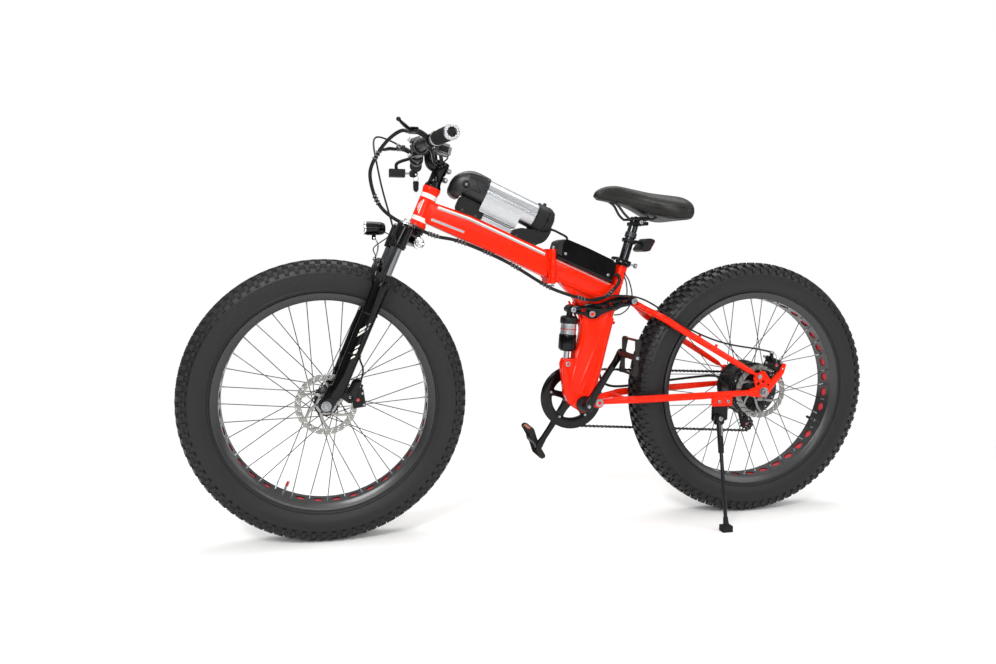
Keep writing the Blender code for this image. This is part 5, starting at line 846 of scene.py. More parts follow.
for low, high, start, end in ((554, 593, -64, -56), (560, 587, -50, -43), (566, 581, -37, -31)):
    patch = []
    for k in range(7):
        t = math.radians(start + (end - start) * k / 6)
        out = STEER_AHEAD * math.cos(t) + Vector((0, math.sin(t), 0))
        patch.append([steer(h) + out * r for h, r in ((low, 22.0), (high, 22.0), (high, 21.2), (low, 21.2))])
    foils.append(loft(patch))
piece("head_bands", "front_frame", decal_white, foils)
race_line = [(510, 15), (510, 23.4), (511, 24.2), (515.8, 24.2), (516.8, 23.4), (516.8, 15)]
piece("head_races", "front_frame", black_alloy, [lathe(race_line, steer(0), STEER_UP, 64)])
piece("fold_pin", "front_frame", zinc_steel, [rod((HINGE_X, HINGE_Y, 682.5), (HINGE_X, HINGE_Y, 787), 3.1, 20)]
      + [bolt((HINGE_X, HINGE_Y, 785.5), (0, 0, 1), 5.4, 4.5),
         lathe([(0, 0), (0, 5.4), (4, 5.4), (4, 0)], (HINGE_X, HINGE_Y, 680), (0, 0, 1), 6)])

# Rear half: the pressed shell keeps the CAD's own shape; round tubes, welds and foils are laid over it.
refined("rear_frame", frame_enamel, 1.6, "rear_frame_shell")
spine = smooth_path([(168, 0, 592), (152, 0, 526), (130, 0, 435), (104, 0, 356)], 8)
rounds = [tube(spine, 20.7, 40, flat=1.06),
          lathe([(-178, 0), (-178, 16.6), (-3, 16.6), (-1.5, 18.2), (0.2, 18.2), (0.2, 14)], seat(0), SEAT_UP, 48),
          drum([(-50, 10), (-50, 23.2), (-49, 24.2), (49, 24.2), (50, 23.2), (50, 10)], BB, 64),
          drum([(-30, 6), (-30, 15.4), (-29.2, 16.2), (29.2, 16.2), (30, 15.4), (30, 6)], SWING, 48)]
for side in (-1, 1):
    rounds.append(rod(beside(ROCKER, side * 17), beside(ROCKER, side * 26), 13.2, 40, edge=1.4))
piece("rear_tubes", "rear_frame", frame_enamel, rounds, smooth=45)
post_weld = [seat(-66, 17.0 * math.cos(TAU * k / 40), 17.0 * math.sin(TAU * k / 40))
             + Vector((0, 0, -6 * math.cos(TAU * k / 40))) for k in range(41)]
shell_weld = [Vector(beside(BB, -29, 24.6 * math.cos(a), 24.6 * math.sin(a)))
              for a in (math.radians(20 + 140 * k / 30) for k in range(31))]
shell_weld_right = [Vector(beside(BB, 20, 24.4 * math.cos(a), 24.4 * math.sin(a)))
                    for a in (math.radians(10 + 160 * k / 30) for k in range(31))]
seam = rounded_ring(HINGE_X + 11.8, 724.0, 0.0, 68, 49, 8)
piece("rear_welds", "rear_frame", frame_enamel,
      [bead(post_weld), bead(shell_weld), bead(shell_weld_right), bead(seam + seam[:1], 2.6)], smooth=60)
deck = [Vector((2.0, 0, 759.4)), Vector((171.0, 0, 688.2))]
slope = (deck[1] - deck[0]).normalized()
foils = []
for side in (-1, 1):
    rings = []
    for k in range(17):
        p = deck[0] + (deck[1] - deck[0]) * (0.03 + 0.94 * k / 16)
        off = Vector((slope.z, 0, -slope.x))
        rings.append([p + off * 3.4 + Vector((0, side * 24.3, 0)), p + off * 6.4 + Vector((0, side * 24.3, 0)),
                      p + off * 6.4 + Vector((0, side * 23.6, 0)), p + off * 3.4 + Vector((0, side * 23.6, 0))])
    foils.append(loft(rings))
piece("deck_foils", "rear_frame", decal_grey, foils)
crease = [(14, 700), (60, 683), (112, 664), (150, 652), (170, 650)]
piece("rear_pressing", "rear_frame", frame_enamel,
      [bent([(x, side * 22.6, z) for x, z in crease], 3.0, 12) for side in (-1, 1)]
      + [bent([(x, side * 17.6, z) for x, z in ((58, 636), (92, 560), (84, 500), (60, 440), (56, 380))], 3.2,
              12) for side in (-1, 1)])
pins = []
for side in (-1, 1):
    pins += [lathe([(0, 0), (0, 9.4), (3.4, 9.4), (4.2, 8.4), (4.2, 5.0), (2.0, 4.4), (2.0, 0)],
                   beside(ROCKER, side * 31.9), (0, side, 0), 28),
             rod(beside(ROCKER, side * 25), beside(ROCKER, side * 32), 5.0, 20),
             lathe([(0, 0), (0, 11.6), (3.6, 11.4), (4.4, 10), (4.4, 5.4), (2.2, 5), (2.2, 0)],
                   beside(SWING, side * 45.0), (0, side, 0), 28),
             lathe([(0, 0), (0, 7.6), (3, 7.4), (3.6, 6.6), (3.6, 3.6), (1.4, 3.2), (1.4, 0)],
                   beside(SHOCK_FOOT, side * 19.2), (0, side, 0), 24),
             rod(beside(SWING, side * 29), beside(SWING, side * 46), 6.0, 20)]
piece("rear_pivot_bolts", "rear_frame", zinc_steel, pins)
cups = [drum([(side * 49.6, 10), (side * 49.6, 21), (side * 51.4, 22), (side * 54, 21.4), (side * 54, 10)], BB,
             40, ripple=lambda h, r, t: -0.9 if math.cos(16 * t) > 0.3 and r > 20 else 0.0) for side in (-1, 1)]
piece("bracket_cups", "rear_frame", dark_steel, cups)
piece("rear_fold_plate", "rear_frame", frame_enamel,
      [block((HINGE_X + 5.8, 0, 735), (10.6, 60.4, 96.4)),
       block((HINGE_X + 5.8, -31.5, 735), (10.2, 9.2, 37.2)), block((HINGE_X + 9, 35, 735), (8.2, 14.2, 26.2)),
       rod((HINGE_X, HINGE_Y, 716.2), (HINGE_X, HINGE_Y, 753.8), 6.6, 32)], bevel=1.8)

# Swing arm: chain stays, drop-outs, pivot barrels and the stand's bracket.
arm, bosses = [], []
for side in (-1, 1):
    way = [(145, side * 37.5, 352), (181, side * 41.5, 355), (213, side * 52, 358), (251, side * 67, 361),
           (423, side * 80, 367), (592, side * 90.5, 374)]
    arm.append(bent(way, 0, 32, 6, [7.2, 9.6, 10.4, 10.4, 10.2, 7.8]))
    bosses.append(lathe([(30.5, 6.6), (30.5, 14.8), (31.2, 15.6), (43.4, 15.6), (44.2, 14.8), (44.2, 6.6)],
                        beside(SWING, 0), (0, side, 0), 48))
    bosses.append(rod(beside(STAY_END, side * 92), beside(STAY_END, side * 101), 4.5, 20))
arm.append(rod((205, -52, 358), (205, 52, 358), 9.5, 28))
piece("chain_stays", "swingarm", frame_enamel, arm + bosses, ("swingarm",), smooth=45)
left_drop = [(-44, -12), (-14, -15), (2, -16), (15, -10), (24, 2), (31, 12), (33, 22), (24, 34), (8, 52), (4, 60),
             (-4, 62), (-12, 60), (-8, 56), (-20, 57), (-30, 50), (-32, 40), (-24, 14), (-44, 10)]
right_drop = [(-44, -12), (-14, -15), (4, -42), (20, -42), (26, -30), (15, -6), (14, 12), (-6, 30), (-10, 54),
              (-20, 57), (-30, 50), (-32, 40), (-24, 14), (-44, 10)]
tab = outline_at(REAR_AXLE, ((16, 26), (49.6, 59.6), (60.3, 83.3), (72, 80), (64, 52), (30, 12)), 4, 3)
holes = [circle((REAR_AXLE[0] + dx, REAR_AXLE[1] + dz), r, 24)
         for dx, dz, r in ((0, 0, 6.2), (-2, 30, 4.6), (14, 20, 3.8), (-17, 24, 5.2))]
plates = [sheet_metal(outline_at(REAR_AXLE, left_drop, 5, 4), holes, -94, -88, 0.7),
          sheet_metal(outline_at(REAR_AXLE, right_drop, 5, 4), holes[:2], 88, 94, 0.7),
          sheet_metal(tab, [circle((REAR_AXLE[0] + 62, REAR_AXLE[1] + 66), 3.2, 16)], -93.9, -88.1, 0.7)]
piece("drop_outs", "swingarm", frame_enamel, plates)
piece("stand_bracket", "swingarm", frame_enamel, [block(beside(STAND, -90, 16, 49), (64, 12, 30))], bevel=3.0)
piece("stand_bracket_shoe", "swingarm", black_alloy, [block(beside(STAND, -90, 10, 14), (50, 9, 44))], bevel=3.0)
STAND_WAY = Vector((-0.03, -0.25, -0.967)).normalized()
STAND_AXIS = Vector((0.0, -0.969, 0.248)).normalized()
hip = Vector(beside(STAND, -106.0))
nuts = [lathe([(0, 0), (0, 7.6), (3.4, 7.4), (3.4, 0)], beside(STAY_END, side * 99.6), (0, side, 0), 6)
        for side in (-1, 1)]
nuts += [rod(hip - STAND_AXIS * 15, hip + STAND_AXIS * 9, 3.6, 20),
         bolt(hip + STAND_AXIS * 8.2, STAND_AXIS, 6.4, 4.4),
         bolt(beside(STAND, -96.2, 4, 49), (0, -1, 0), 5.0, 4.0),
         bolt(beside(STAND, -96.2, 32, 49), (0, -1, 0), 5.0, 4.0)]
piece("swing_arm_bolts", "swingarm", zinc_steel, nuts)

# Seat stays with their yoke and web.
stays, discs = [], []
rx, rz = ROCKER_REAR
for side in (-1, 1):
    way = [(rx + 2, side * 10, rz - 1), (rx + 24, side * 16, rz - 13), (rx + 44, side * 31, rz - 26),
           (rx + 80, side * 63, rz - 48), (rx + 150, side * 72, rz - 90),
           beside(STAY_END, side * 92, -42, 25), beside(STAY_END, side * 98.8, -20, 12),
           beside(STAY_END, side * 97, -7, 4)]
    stays.append(bent(way, 0, 28, 6, [8.5, 8.5, 8.8, 10.0, 9.8, 8.0, 4.4, 3.0]))
    discs.append(rod(beside(STAY_END, side * 94.6), beside(STAY_END, side * 99), 9.5, 32))
yoke = lathe([(-25.6, 6.8), (-25.6, 11.6), (-24.6, 12.6), (24.6, 12.6), (25.6, 11.6), (25.6, 6.8)], (rx, 0, rz),
             (0, 1, 0), 48)
piece("seat_stay_tubes", "seat_stays", frame_enamel, stays + discs + [yoke], ("seat_stays",), smooth=45)
web = sheet_metal(rounded([(rx + 14, rz - 5), (rx + 46, rz - 24), (rx + 44, rz - 31), (rx + 12, rz - 12)], 2, 3),
                  [], -36, 36, 0.8)
guides = [rod((rx + dx - 2, -78 - (dx - 180) * 0.07, rz + dz + 2),
              (rx + dx + 6, -78 - (dx - 180) * 0.07, rz + dz + 16), 4.0, 16)
          for dx, dz in ((180, -108), (230, -138))]
piece("stay_web", "seat_stays", frame_enamel, [web] + guides)

# Rocker, pins, shock absorber.
plate_line = [(46, 610), (51, 623), (64, 628), (88, 625), (97, 634), (130, 630), (186, 651), (238, 649),
              (249, 641), (247, 630), (187, 617), (146, 604), (124, 589), (104, 588), (88, 600), (60, 602)]
oval = [(78, 613), (84, 618.5), (92, 618), (94, 612), (88, 607.5), (80, 608)]
cutouts = [rounded(oval, 4, 4), circle((148, 622), 4.5), circle((168, 630), 5.2), circle(ROCKER, 5.6),
           circle(ROCKER_FRONT, 4.4), rounded([(193, 631), (216, 636), (216, 641), (193, 637)], 2.4, 4)]
wings = [sheet_metal(rounded(plate_line, 9, 5), cutouts, min(side * 26.4, side * 31.4),
                     max(side * 26.4, side * 31.4), 1.0) for side in (-1, 1)]
piece("rocker_plates", "rocker", black_lacquer, wings, ("rocker_link",))
pins = []
for (x, z), r in ((ROCKER_REAR, 5.0), (ROCKER_FRONT, 4.2)):
    pins.append(rod((x, -31, z), (x, 31, z), r, 20))
    for side in (-1, 1):
        pins.append(lathe([(0, 0), (0, r + 3.4), (2.6, r + 3.0), (3.2, r + 1.8), (3.2, r - 1.4), (1.4, r - 1.8),
                           (1.4, 0)], (x, side * 31.2, z), (0, side, 0), 24))
piece("rocker_pins", "rocker", zinc_steel, pins)
base = Vector(beside(SHOCK_FOOT, 0))
up = Vector(beside(ROCKER_FRONT, 0, -SHOCK_FOOT[0], -SHOCK_FOOT[1]))
far = up.length
up = up.normalized()
can = [(36, 9.9), (36, 18), (37, 19.4), (42, 24.4), (44, 25), (80, 25), (82, 24.4), (84, 23), (84, 9.9)]
piece("shock_can_shell", "shock", black_lacquer, [lathe(can, base, up, 64)], ("shock_can",))
collar = [(84, 9.9), (84, 22.4), (88, 22.6), (92, 21.6), (96, 22.6), (100, 21.6), (104, 22.6), (108, 21.6),
          (112, 22.6), (114.5, 22.4), (114.5, 9.9)]
piece("shock_spring_collar", "shock", alloy, [lathe(collar, base, up, 64)])
piece("shock_ring", "shock", red_lens, [lathe([(97.4, 20), (97.4, 23.2), (99.6, 23.2), (99.6, 20)], base, up, 64)])
cap = [(114.5, 0), (114.5, 24.2), (116, 25), (130, 25), (131, 24.4), (134, 21.6), (135, 19), (137, 9),
       (far - 8, 8.6), (far - 8, 0)]
piece("shock_cap", "shock", moulded_black, [lathe(cap, base, up, 64),
      rod(beside(ROCKER_FRONT, -9.5), beside(ROCKER_FRONT, 9.5), 11.5, 36)])
shaft = [lathe([(8, 0), (8, 8.3), (90, 8.3), (90, 0)], base, up, 32),
         rod((base.x, -9.6, base.z), (base.x, 9.6, base.z), 10.5, 32)]
piece("shock_rod", "rear_frame", chrome, shaft, ("shock_shaft",))

# Kickstand: knuckle, sleeve, leg, rubber foot and its return spring.
long = (hip.z - 7.0) / -STAND_WAY.z
piece("stand_knuckle", "kickstand", black_alloy, [block(hip + Vector((0, 0, -2)), (30, 14, 26))],
      ("kickstand",), bevel=3.0)
piece("stand_sleeve", "kickstand", satin_black, [rod(hip + STAND_WAY * 8, hip + STAND_WAY * 96, 8.2, 32, edge=1.2)])
piece("stand_leg", "kickstand", satin_black, [rod(hip + STAND_WAY * 90, hip + STAND_WAY * (long - 10), 5.2, 24)])
toe = hip + STAND_WAY * (long - 8)
piece("stand_foot", "kickstand", grip_rubber,
      [block((toe.x, toe.y, 8.9), (30, 24, 17.4)),
       rod((toe.x, toe.y, 14), hip + STAND_WAY * (long - 34), 8.4, 20, tip=6.4)], bevel=2.6)
turns = [hip + STAND_WAY * (14 + 30 * k / 120) + Vector((0, -11.5, 0))
         + Vector((math.cos(TAU * k / 10) * 3.2, math.sin(TAU * k / 10) * 3.2, 0)) for k in range(121)]
piece("stand_spring", "kickstand", zinc_steel, [tube(turns, 0.8, 6)])


# Fork: steerer, crown, stanchions, lowers with their arch, and foil stripes.
def crown_section(y, front_edge, back_edge, low, high):
    """A rounded section of the crown across the bicycle."""
    line = rounded([(front_edge - 4, low), (front_edge, low + 8), (front_edge, high - 8), (front_edge - 8, high),
                    (back_edge + 8, high), (back_edge, high - 8), (back_edge, low + 8), (back_edge + 4, low)], 6, 3)
    return [steer(t, ahead, y) for ahead, t in line]


sections = [crown_section(-86, 48, 22, 470, 499), crown_section(-80, 51, 17, 466, 503),
            crown_section(-62, 50, 8, 467, 504), crown_section(-34, 44, -18, 468, 505),
            crown_section(0, 38, -24, 469, 505), crown_section(34, 44, -18, 468, 505),
            crown_section(62, 50, 8, 467, 504), crown_section(80, 51, 17, 466, 503),
            crown_section(86, 48, 22, 470, 499)]
crown = [loft(sections), lathe([(470, 0), (470, 14.3), (697, 14.3), (698, 13), (698, 0)], steer(0), STEER_UP,
                               48),
         lathe([(503, 14), (503, 22.5), (505, 23.6), (515, 23.4), (516.7, 22.4), (516.7, 14)], steer(0),
               STEER_UP, 64)]
for side in (-1, 1):
    crown.append(lathe([(443, 15.2), (443, 19.8), (444.5, 21), (500, 21), (506, 20.4), (508, 18.6),
                        (508, 15.2)], steer(0, LEG_OFFSET, side * LEG_Y), STEER_UP, 56))
piece("fork_crown_casting", "steering", black_lacquer, crown, ("fork_crown",))
tubes_up = [lathe([(270, 0), (270, 14.4), (271, 15), (449, 15), (449, 0)],
                  steer(0, LEG_OFFSET, side * LEG_Y), STEER_UP, 56) for side in (-1, 1)]
piece("stanchions", "steering", dark_chrome, tubes_up)
knobs = []
for side in (-1, 1):
    knobs.append(lathe([(507, 0), (507, 16.5), (508, 17.5), (512, 17), (513, 15), (513, 0)],
                       steer(0, LEG_OFFSET, side * LEG_Y), STEER_UP, 48))
    knobs.append(lathe([(512, 0), (512, 10), (521, 9.2), (522.5, 7.6), (522.5, 0)],
                       steer(0, LEG_OFFSET, side * LEG_Y), STEER_UP, 48,
                       ripple=lambda h, r, t: -0.7 if math.cos(14 * t) > 0.4 and r > 9 else 0.0))
piece("fork_top_caps", "steering", alloy, knobs)
seals = [lathe([(352, 15.2), (352, 21.8), (353, 22.4), (362, 22.2), (366, 19.4), (368.5, 17.2), (369, 15.3)],
               steer(0, LEG_OFFSET, side * LEG_Y), STEER_UP, 56) for side in (-1, 1)]
piece("fork_dust_seals", "fork_lowers", grip_rubber, seals)
legs = []
for side in (-1, 1):
    profile = [(24, 0), (24, 11), (27, 13.4), (36, 16), (50, 19.2), (90, 19.8), (260, 20.8), (330, 21.4),
               (352, 21.6), (354, 21), (354, 0)]
    legs.append(lathe(profile, steer(0, LEG_OFFSET, side * LEG_Y), STEER_UP, 64))
arch_line = [(-78, 322, 14), (-77.5, 344, 5), (-72, 368, 1), (-60, 382, 0), (-38, 392, 0), (0, 398, 0),
             (38, 392, 0), (60, 382, 0), (72, 368, 1), (77.5, 344, 5), (78, 322, 14)]
AHEAD_ARCH = LEG_OFFSET + 24.0
legs.append(tube(smooth_path([steer(t, AHEAD_ARCH - back, y) for y, t, back in arch_line], 6), 7.8, 28, flat=1.0))
legs.append(tube(smooth_path([steer(t + 3, AHEAD_ARCH - back - 11, y) for y, t, back in arch_line[2:-2]], 6),
                 4.2, 20))
piece("fork_leg_castings", "fork_lowers", black_lacquer, legs, ("fork_lowers",))
foot = [(-16, -2), (-11, -14), (2, -18), (13, -12), (38, 26), (30, 60), (8, 56), (-13, 12)]
foot = outline_at(FRONT_AXLE, foot, 7, 5)
feet = [sheet_metal(foot, [circle(FRONT_AXLE, 6.3)], min(side * 71, side * 85), max(side * 71, side * 85), 2.4)
        for side in (-1, 1)]
tab = [(24, 30), (58, 4), (74, 12), (90, 62), (80, 72), (66, 66), (52, 34), (40, 40), (46, 64), (34, 62)]
tab = outline_at(FRONT_AXLE, tab, 7, 5)
feet.append(sheet_metal(tab, [circle((FRONT_AXLE[0] + 62, FRONT_AXLE[1] + 22), 5)], -84, -78.9, 0.9))
piece("fork_drop_outs", "fork_lowers", black_lacquer, feet)


def wrap(low, high, slant, start, end, radius, y, steps=16):
    """A foil round the outside of a fork leg, with slanted ends."""
    rings = []
    for k in range(steps + 1):
        t = math.radians(start + (end - start) * k / steps)
        lift = slant * (k / steps)
        out = STEER_AHEAD * math.cos(t) + Vector((0, math.copysign(1, y), 0)) * math.sin(t)
        rings.append([steer(h + lift, LEG_OFFSET, y) + out * r
                      for h, r in ((low, radius + 0.35), (high, radius + 0.35), (high, radius - 0.4),
                                   (low, radius - 0.4))])
    return loft(rings)


stripes = []
for side in (-1, 1):
    y = side * LEG_Y
    for low, high in ((196, 203), (208, 215)):
        stripes.append(wrap(low, high, 26, 66, 118, 20.5, y))
    for low, high in ((136, 142), (148, 158), (164, 170)):
        stripes.append(wrap(low, high, 10, 84, 106, 20.1, y, 8))
piece("fork_foils", "fork_lowers", decal_white, stripes)

# Headlight, its curved strap and lead, and the round horn behind the crown.
pin = steer(447, 92)
strap = [steer(390, AHEAD_ARCH + 10.8), steer(412, AHEAD_ARCH + 11), steer(432, AHEAD_ARCH + 16),
         steer(444, AHEAD_ARCH + 26), pin]
piece("lamp_strap", "fork_lowers", chrome,
      [tube(smooth_path(strap, 8), 2.0, 20, flat=3.3),
       rod((pin.x, -14.5, pin.z), (pin.x, 14.5, pin.z), 3.0, 16),
       bolt(steer(398, AHEAD_ARCH + 12), STEER_AHEAD, 5.4, 4.2)], ("light_strap",))
lamp_at = Vector((pin.x + 4.0, 0, pin.z + 26.0))
shell = [(-28.5, 14.8), (-27.5, 17.2), (-20, 18), (-8, 18), (4, 17.6), (16, 16.6), (23, 13.8), (26.4, 8.0),
         (27, 0), (10, 0), (-20, 12.5)]
body = [lathe(shell, lamp_at, (1, 0, 0), 56)]
ears = [block((pin.x, side * 11.4, pin.z + 7), (9, 3.4, 22)) for side in (-1, 1)]
piece("lamp_shell", "headlight", gloss_plastic, body, ("headlight",))
piece("lamp_ears", "headlight", gloss_plastic, ears, bevel=1.0)
bezel = [(-29, 14.2), (-29.2, 16.2), (-28.4, 17.8), (-26.2, 18.3), (-24.6, 18.1), (-24.6, 14.2)]
piece("lamp_bezel", "headlight", chrome, [lathe(bezel, lamp_at, (1, 0, 0), 64)])
mirror = [(-26.5, 14.6), (-20, 13.2), (-12, 10.5), (-6, 6.6), (-3, 0), (-1, 0), (-4, 8), (-10, 12), (-18, 14.4),
          (-25.5, 15.4)]
piece("lamp_mirror", "headlight", chrome, [lathe(mirror, lamp_at, (1, 0, 0), 48)])
lamp_glass, tree, shader, place = blank("lamp_glass", "#F2F5F6", 0.04, 0.0, Transmission_Weight=0.9, IOR=1.49)
fluting = add(tree, "ShaderNodeTexWave", {"Vector": place, "Scale": 90.0}, bands_direction="Y")
bump = add(tree, "ShaderNodeBump", {"Height": fluting, "Strength": 0.3, "Distance": 0.0004})
tree.links.new(bump, shader.inputs["Normal"])
piece("lamp_lens", "headlight", lamp_glass,
      [lathe([(-28.8, 0), (-28.6, 8), (-27.6, 14.3), (-26, 14.3), (-26.6, 8), (-26.8, 0)], lamp_at, (1, 0, 0), 48)])
lead = [lamp_at + Vector((22, -2, -8)), lamp_at + Vector((34, -12, -20)), steer(424, AHEAD_ARCH + 26, -22),
        steer(406, AHEAD_ARCH + 15, -30), steer(392, AHEAD_ARCH + 10, -42), steer(372, AHEAD_ARCH + 9, -60)]
piece("lamp_lead", "fork_lowers", cable_jacket, [bent(lead, 1.5, 10, 8)])
horn_at = Vector((-383.0, -50.0, 792.0))
horn_way = Vector((0.34, -0.94, 0.05)).normalized()
piece("horn_cup", "steering", moulded_black,
      [lathe([(-8, 0), (-8, 8), (-4, 12.6), (4, 14.6), (9, 15), (9, 13.2), (4, 13), (4, 0)], horn_at, horn_way,
             48), block(steer(482, -22, -36), (16, 22, 10))], ("horn",))
piece("horn_face", "steering", chrome,
      [lathe([(7, 15.1), (10, 15.2), (11.2, 13.8), (11, 12.2), (9, 8), (6.6, 5), (9.4, 2.6), (9.8, 0), (4, 0),
              (4, 13)], horn_at, horn_way, 56)])

# Battery: drawn case with its rail, faceted cap with lock, dock feet and cup.
cap_plastic = surface("cap_plastic", "#141415", 0.36, grain=0.8, relief=0.03, shade="#1C1C1D",
                      rough_by=0.06, Specular_IOR_Level=0.4)
made, tree, shader, place = blank("drawn_aluminium", "#BFC1C3", 0.32, 1.0)
along = add(tree, "ShaderNodeMapping", {"Vector": place, "Rotation": (0, BATTERY_LEAN, 0),
                                        "Scale": (14.0, 1400.0, 1400.0)})
lines = add(tree, "ShaderNodeTexNoise", {"Vector": along, "Scale": 1.0, "Detail": 3.0})
span = add(tree, "ShaderNodeMapRange", {"Value": lines, "From Min": 0.3, "From Max": 0.7, "To Min": 0.24,
                                        "To Max": 0.4})
tree.links.new(span, shader.inputs["Roughness"])
tint = add(tree, "ShaderNodeMix", {"Factor": lines, "A": linear("#C6C8CA"), "B": linear("#A2A4A7")},
           data_type="RGBA")
tree.links.new(tint, shader.inputs["Base Color"])
bump = add(tree, "ShaderNodeBump", {"Height": lines, "Strength": 0.5, "Distance": 0.00003})
tree.links.new(bump, shader.inputs["Normal"])
drawn_aluminium = made


def case_ring(along_at):
    """The case's section: round on top, its flanks drawn in smoothly to a flanged foot that runs on the dock."""
    line = [(35.5 * math.cos(a), 35.5 * math.sin(a)) for a in (math.radians(d) for d in range(-18, 199, 8))]
    left = [(-32.6, -18), (-30.4, -26), (-27.6, -34), (-25, -42), (-23.6, -50), (-23.4, -53), (-25.6, -53.4),
            (-25.6, -56)]
    return [cell(along_at, u, y) for y, u in line + left + [(-y, u) for y, u in reversed(left)]]


piece("battery_case_drawn", "battery", drawn_aluminium,
      [loft([case_ring(1), case_ring(3), case_ring(112)]),
       lathe([(0.2, 0), (0.2, 35), (1, 35.5), (175, 35.5), (175.8, 35), (175.8, 0)], cell(0), BATTERY_WAY, 72)],
      ("battery_case",), smooth=30)
piece("battery_case_edge", "battery", dark_steel,
      [block(cell(57, -56.6, side * 21), (108, 9, 1.2), about_y(-23.9)) for side in (-1, 1)])


CAP_CORNER = 2 / 3.2


def cap_ring(along_at, top, low, wide):
    """A soft-cornered section of the cap."""
    out = []
    for k in range(40):
        t = TAU * k / 40
        c, n = math.cos(t), math.sin(t)
        out.append(cell(along_at, (top + low) / 2 + (top - low) / 2 * math.copysign(abs(n) ** CAP_CORNER, n),
                        wide / 2 * math.copysign(abs(c) ** CAP_CORNER, c)))
    return out


stages = [(-0.2, 36.4, -36, 73), (-1.6, 37.4, -36, 75), (-8, 38, -36, 76.4), (-34, 38.6, -36, 78),
          (-50, 37, -36, 77.4), (-58, 34.6, -36, 76), (-61, 33.4, -36.2, 75.4), (-62.4, 32.8, -49, 74.6),
          (-66, 31, -52.5, 73), (-76, 24, -53, 67), (-86, 14, -50, 57), (-92, 5, -45, 47), (-95.4, -5, -38, 33),
          (-96.4, -12, -31, 20)]
shell = piece("battery_cap_shell", "battery", cap_plastic, [loft([cap_ring(*s) for s in stages])],
              ("battery_cap",), smooth=32)
shell_tree = BVHTree.FromPolygons([tuple(v.co) for v in shell.data.vertices],
                                  [tuple(p.vertices) for p in shell.data.polygons])


def on_cap(line, side, lift=0.0):
    """Points of a side-view line dropped onto the cap's flank."""
    out = []
    for a, u in line:
        hit = shell_tree.ray_cast(cell(a, u, side * 200) * MM, Vector((0, -side, 0)))[0]
        if hit:
            out.append(hit * 1000 + Vector((0, side * lift, 0)))
    return out


def eased(line):
    """A flat line's points as a smooth curve."""
    return [(p.x, p.y) for p in smooth_path([(a, u, 0) for a, u in line], 5)]


CAP_CREASES = (
    [(-93, -8), (-80, 4), (-62, 11), (-40, 15)],
    [(-40, 15), (-33, 8), (-28, -1)],
    [(-28, -1), (-21, -7), (-16, -12), (-24, -14), (-34, -13), (-46, -20), (-56, -30), (-60, -40)],
)
beads = []
for side in (-1, 1):
    for part in CAP_CREASES:
        beads.append(tube(on_cap(eased(part), side, 0.1), 0.9, 8))
    beads.append(tube(on_cap(eased([(-91, 0), (-78, 14), (-60, 23), (-36, 28), (-12, 30)]), side, 0.0), 1.3, 10))
piece("battery_cap_edges", "battery", black_lacquer, beads, smooth=180)
lock_at, lock_way = cell(-60, -8, -36.4), Vector((0, -1, 0))
piece("battery_lock", "battery", black_lacquer,
      [lathe([(-3, 0), (-3, 10.6), (1.4, 10.4), (2.4, 9.6), (2.4, 7.6), (1.2, 7), (1.2, 0)], lock_at, lock_way,
             40)])
piece("battery_lock_barrel", "battery", black_alloy,
      [lathe([(0.5, 0), (0.5, 6.8), (1.8, 6.6), (2.0, 6), (2.0, 0)], lock_at, lock_way, 32)])
piece("battery_lock_cross", "battery", zinc_steel,
      [block(lock_at + lock_way * 2.0, (x, 0.5, z), about_y(40)) for x, z in ((1.5, 9), (9, 1.5))])


def at_cell(points):
    """Battery points as a side-view outline."""
    return [(cell(a, u).x, cell(a, u).z) for a, u in points]


front_foot = rounded(at_cell([(-57.6, -37), (-8, -37), (12, -44), (19, -58), (17, -82), (-48, -82),
                              (-57.6, -70)]), 8, 4)
rear_foot = rounded(at_cell([(108, -64), (128, -46), (150, -40), (176, -30), (206, -12), (211, -22), (208, -45),
                             (202, -57), (190, -68), (176, -82), (110, -82)]), 7, 4)
rail_line = at_cell([(-2, -63), (122, -63), (122, -82), (-2, -82)])
piece("dock_feet", "front_frame", moulded_black, [prism(front_foot, -19, 19), prism(rear_foot, -22, 22)],
      ("battery_dock",), bevel=2.6)
piece("dock_rail", "front_frame", drawn_aluminium, [prism(rail_line, -9, 9)], bevel=0.8)
cup = [(150, 35.8), (150, 39), (151, 39.6), (176, 39.6), (190, 39), (201, 33), (207, 20), (208, 0), (176.5, 0),
       (176.5, 35.8)]
ridge = [rod(cell(168, 37), cell(168, 46), 5.4, 28, tip=4.6),
         rod(cell(172, -4, 0), cell(215, -13, 0), 6.0, 24, tip=4.6)]
piece("dock_cup", "front_frame", moulded_black, [lathe(cup, cell(0), BATTERY_WAY, 64)] + ridge, smooth=35)
bands = [lathe([(a, 39.4), (a + 0.6, 40.4), (a + 2.4, 40.4), (a + 3, 39.4)], cell(0), BATTERY_WAY, 64)
         for a in (151.5, 182)]
piece("dock_cup_ribs", "front_frame", gloss_plastic, bands)
piece("dock_screws", "front_frame", dark_steel,
      [bolt(cell(a, -72, side * y), (0, side, 0), 3.4, 2.0) for side in (-1, 1)
       for a, y in ((-40, 18.8), (0, 18.8), (125, 21.8), (180, 21.8))])

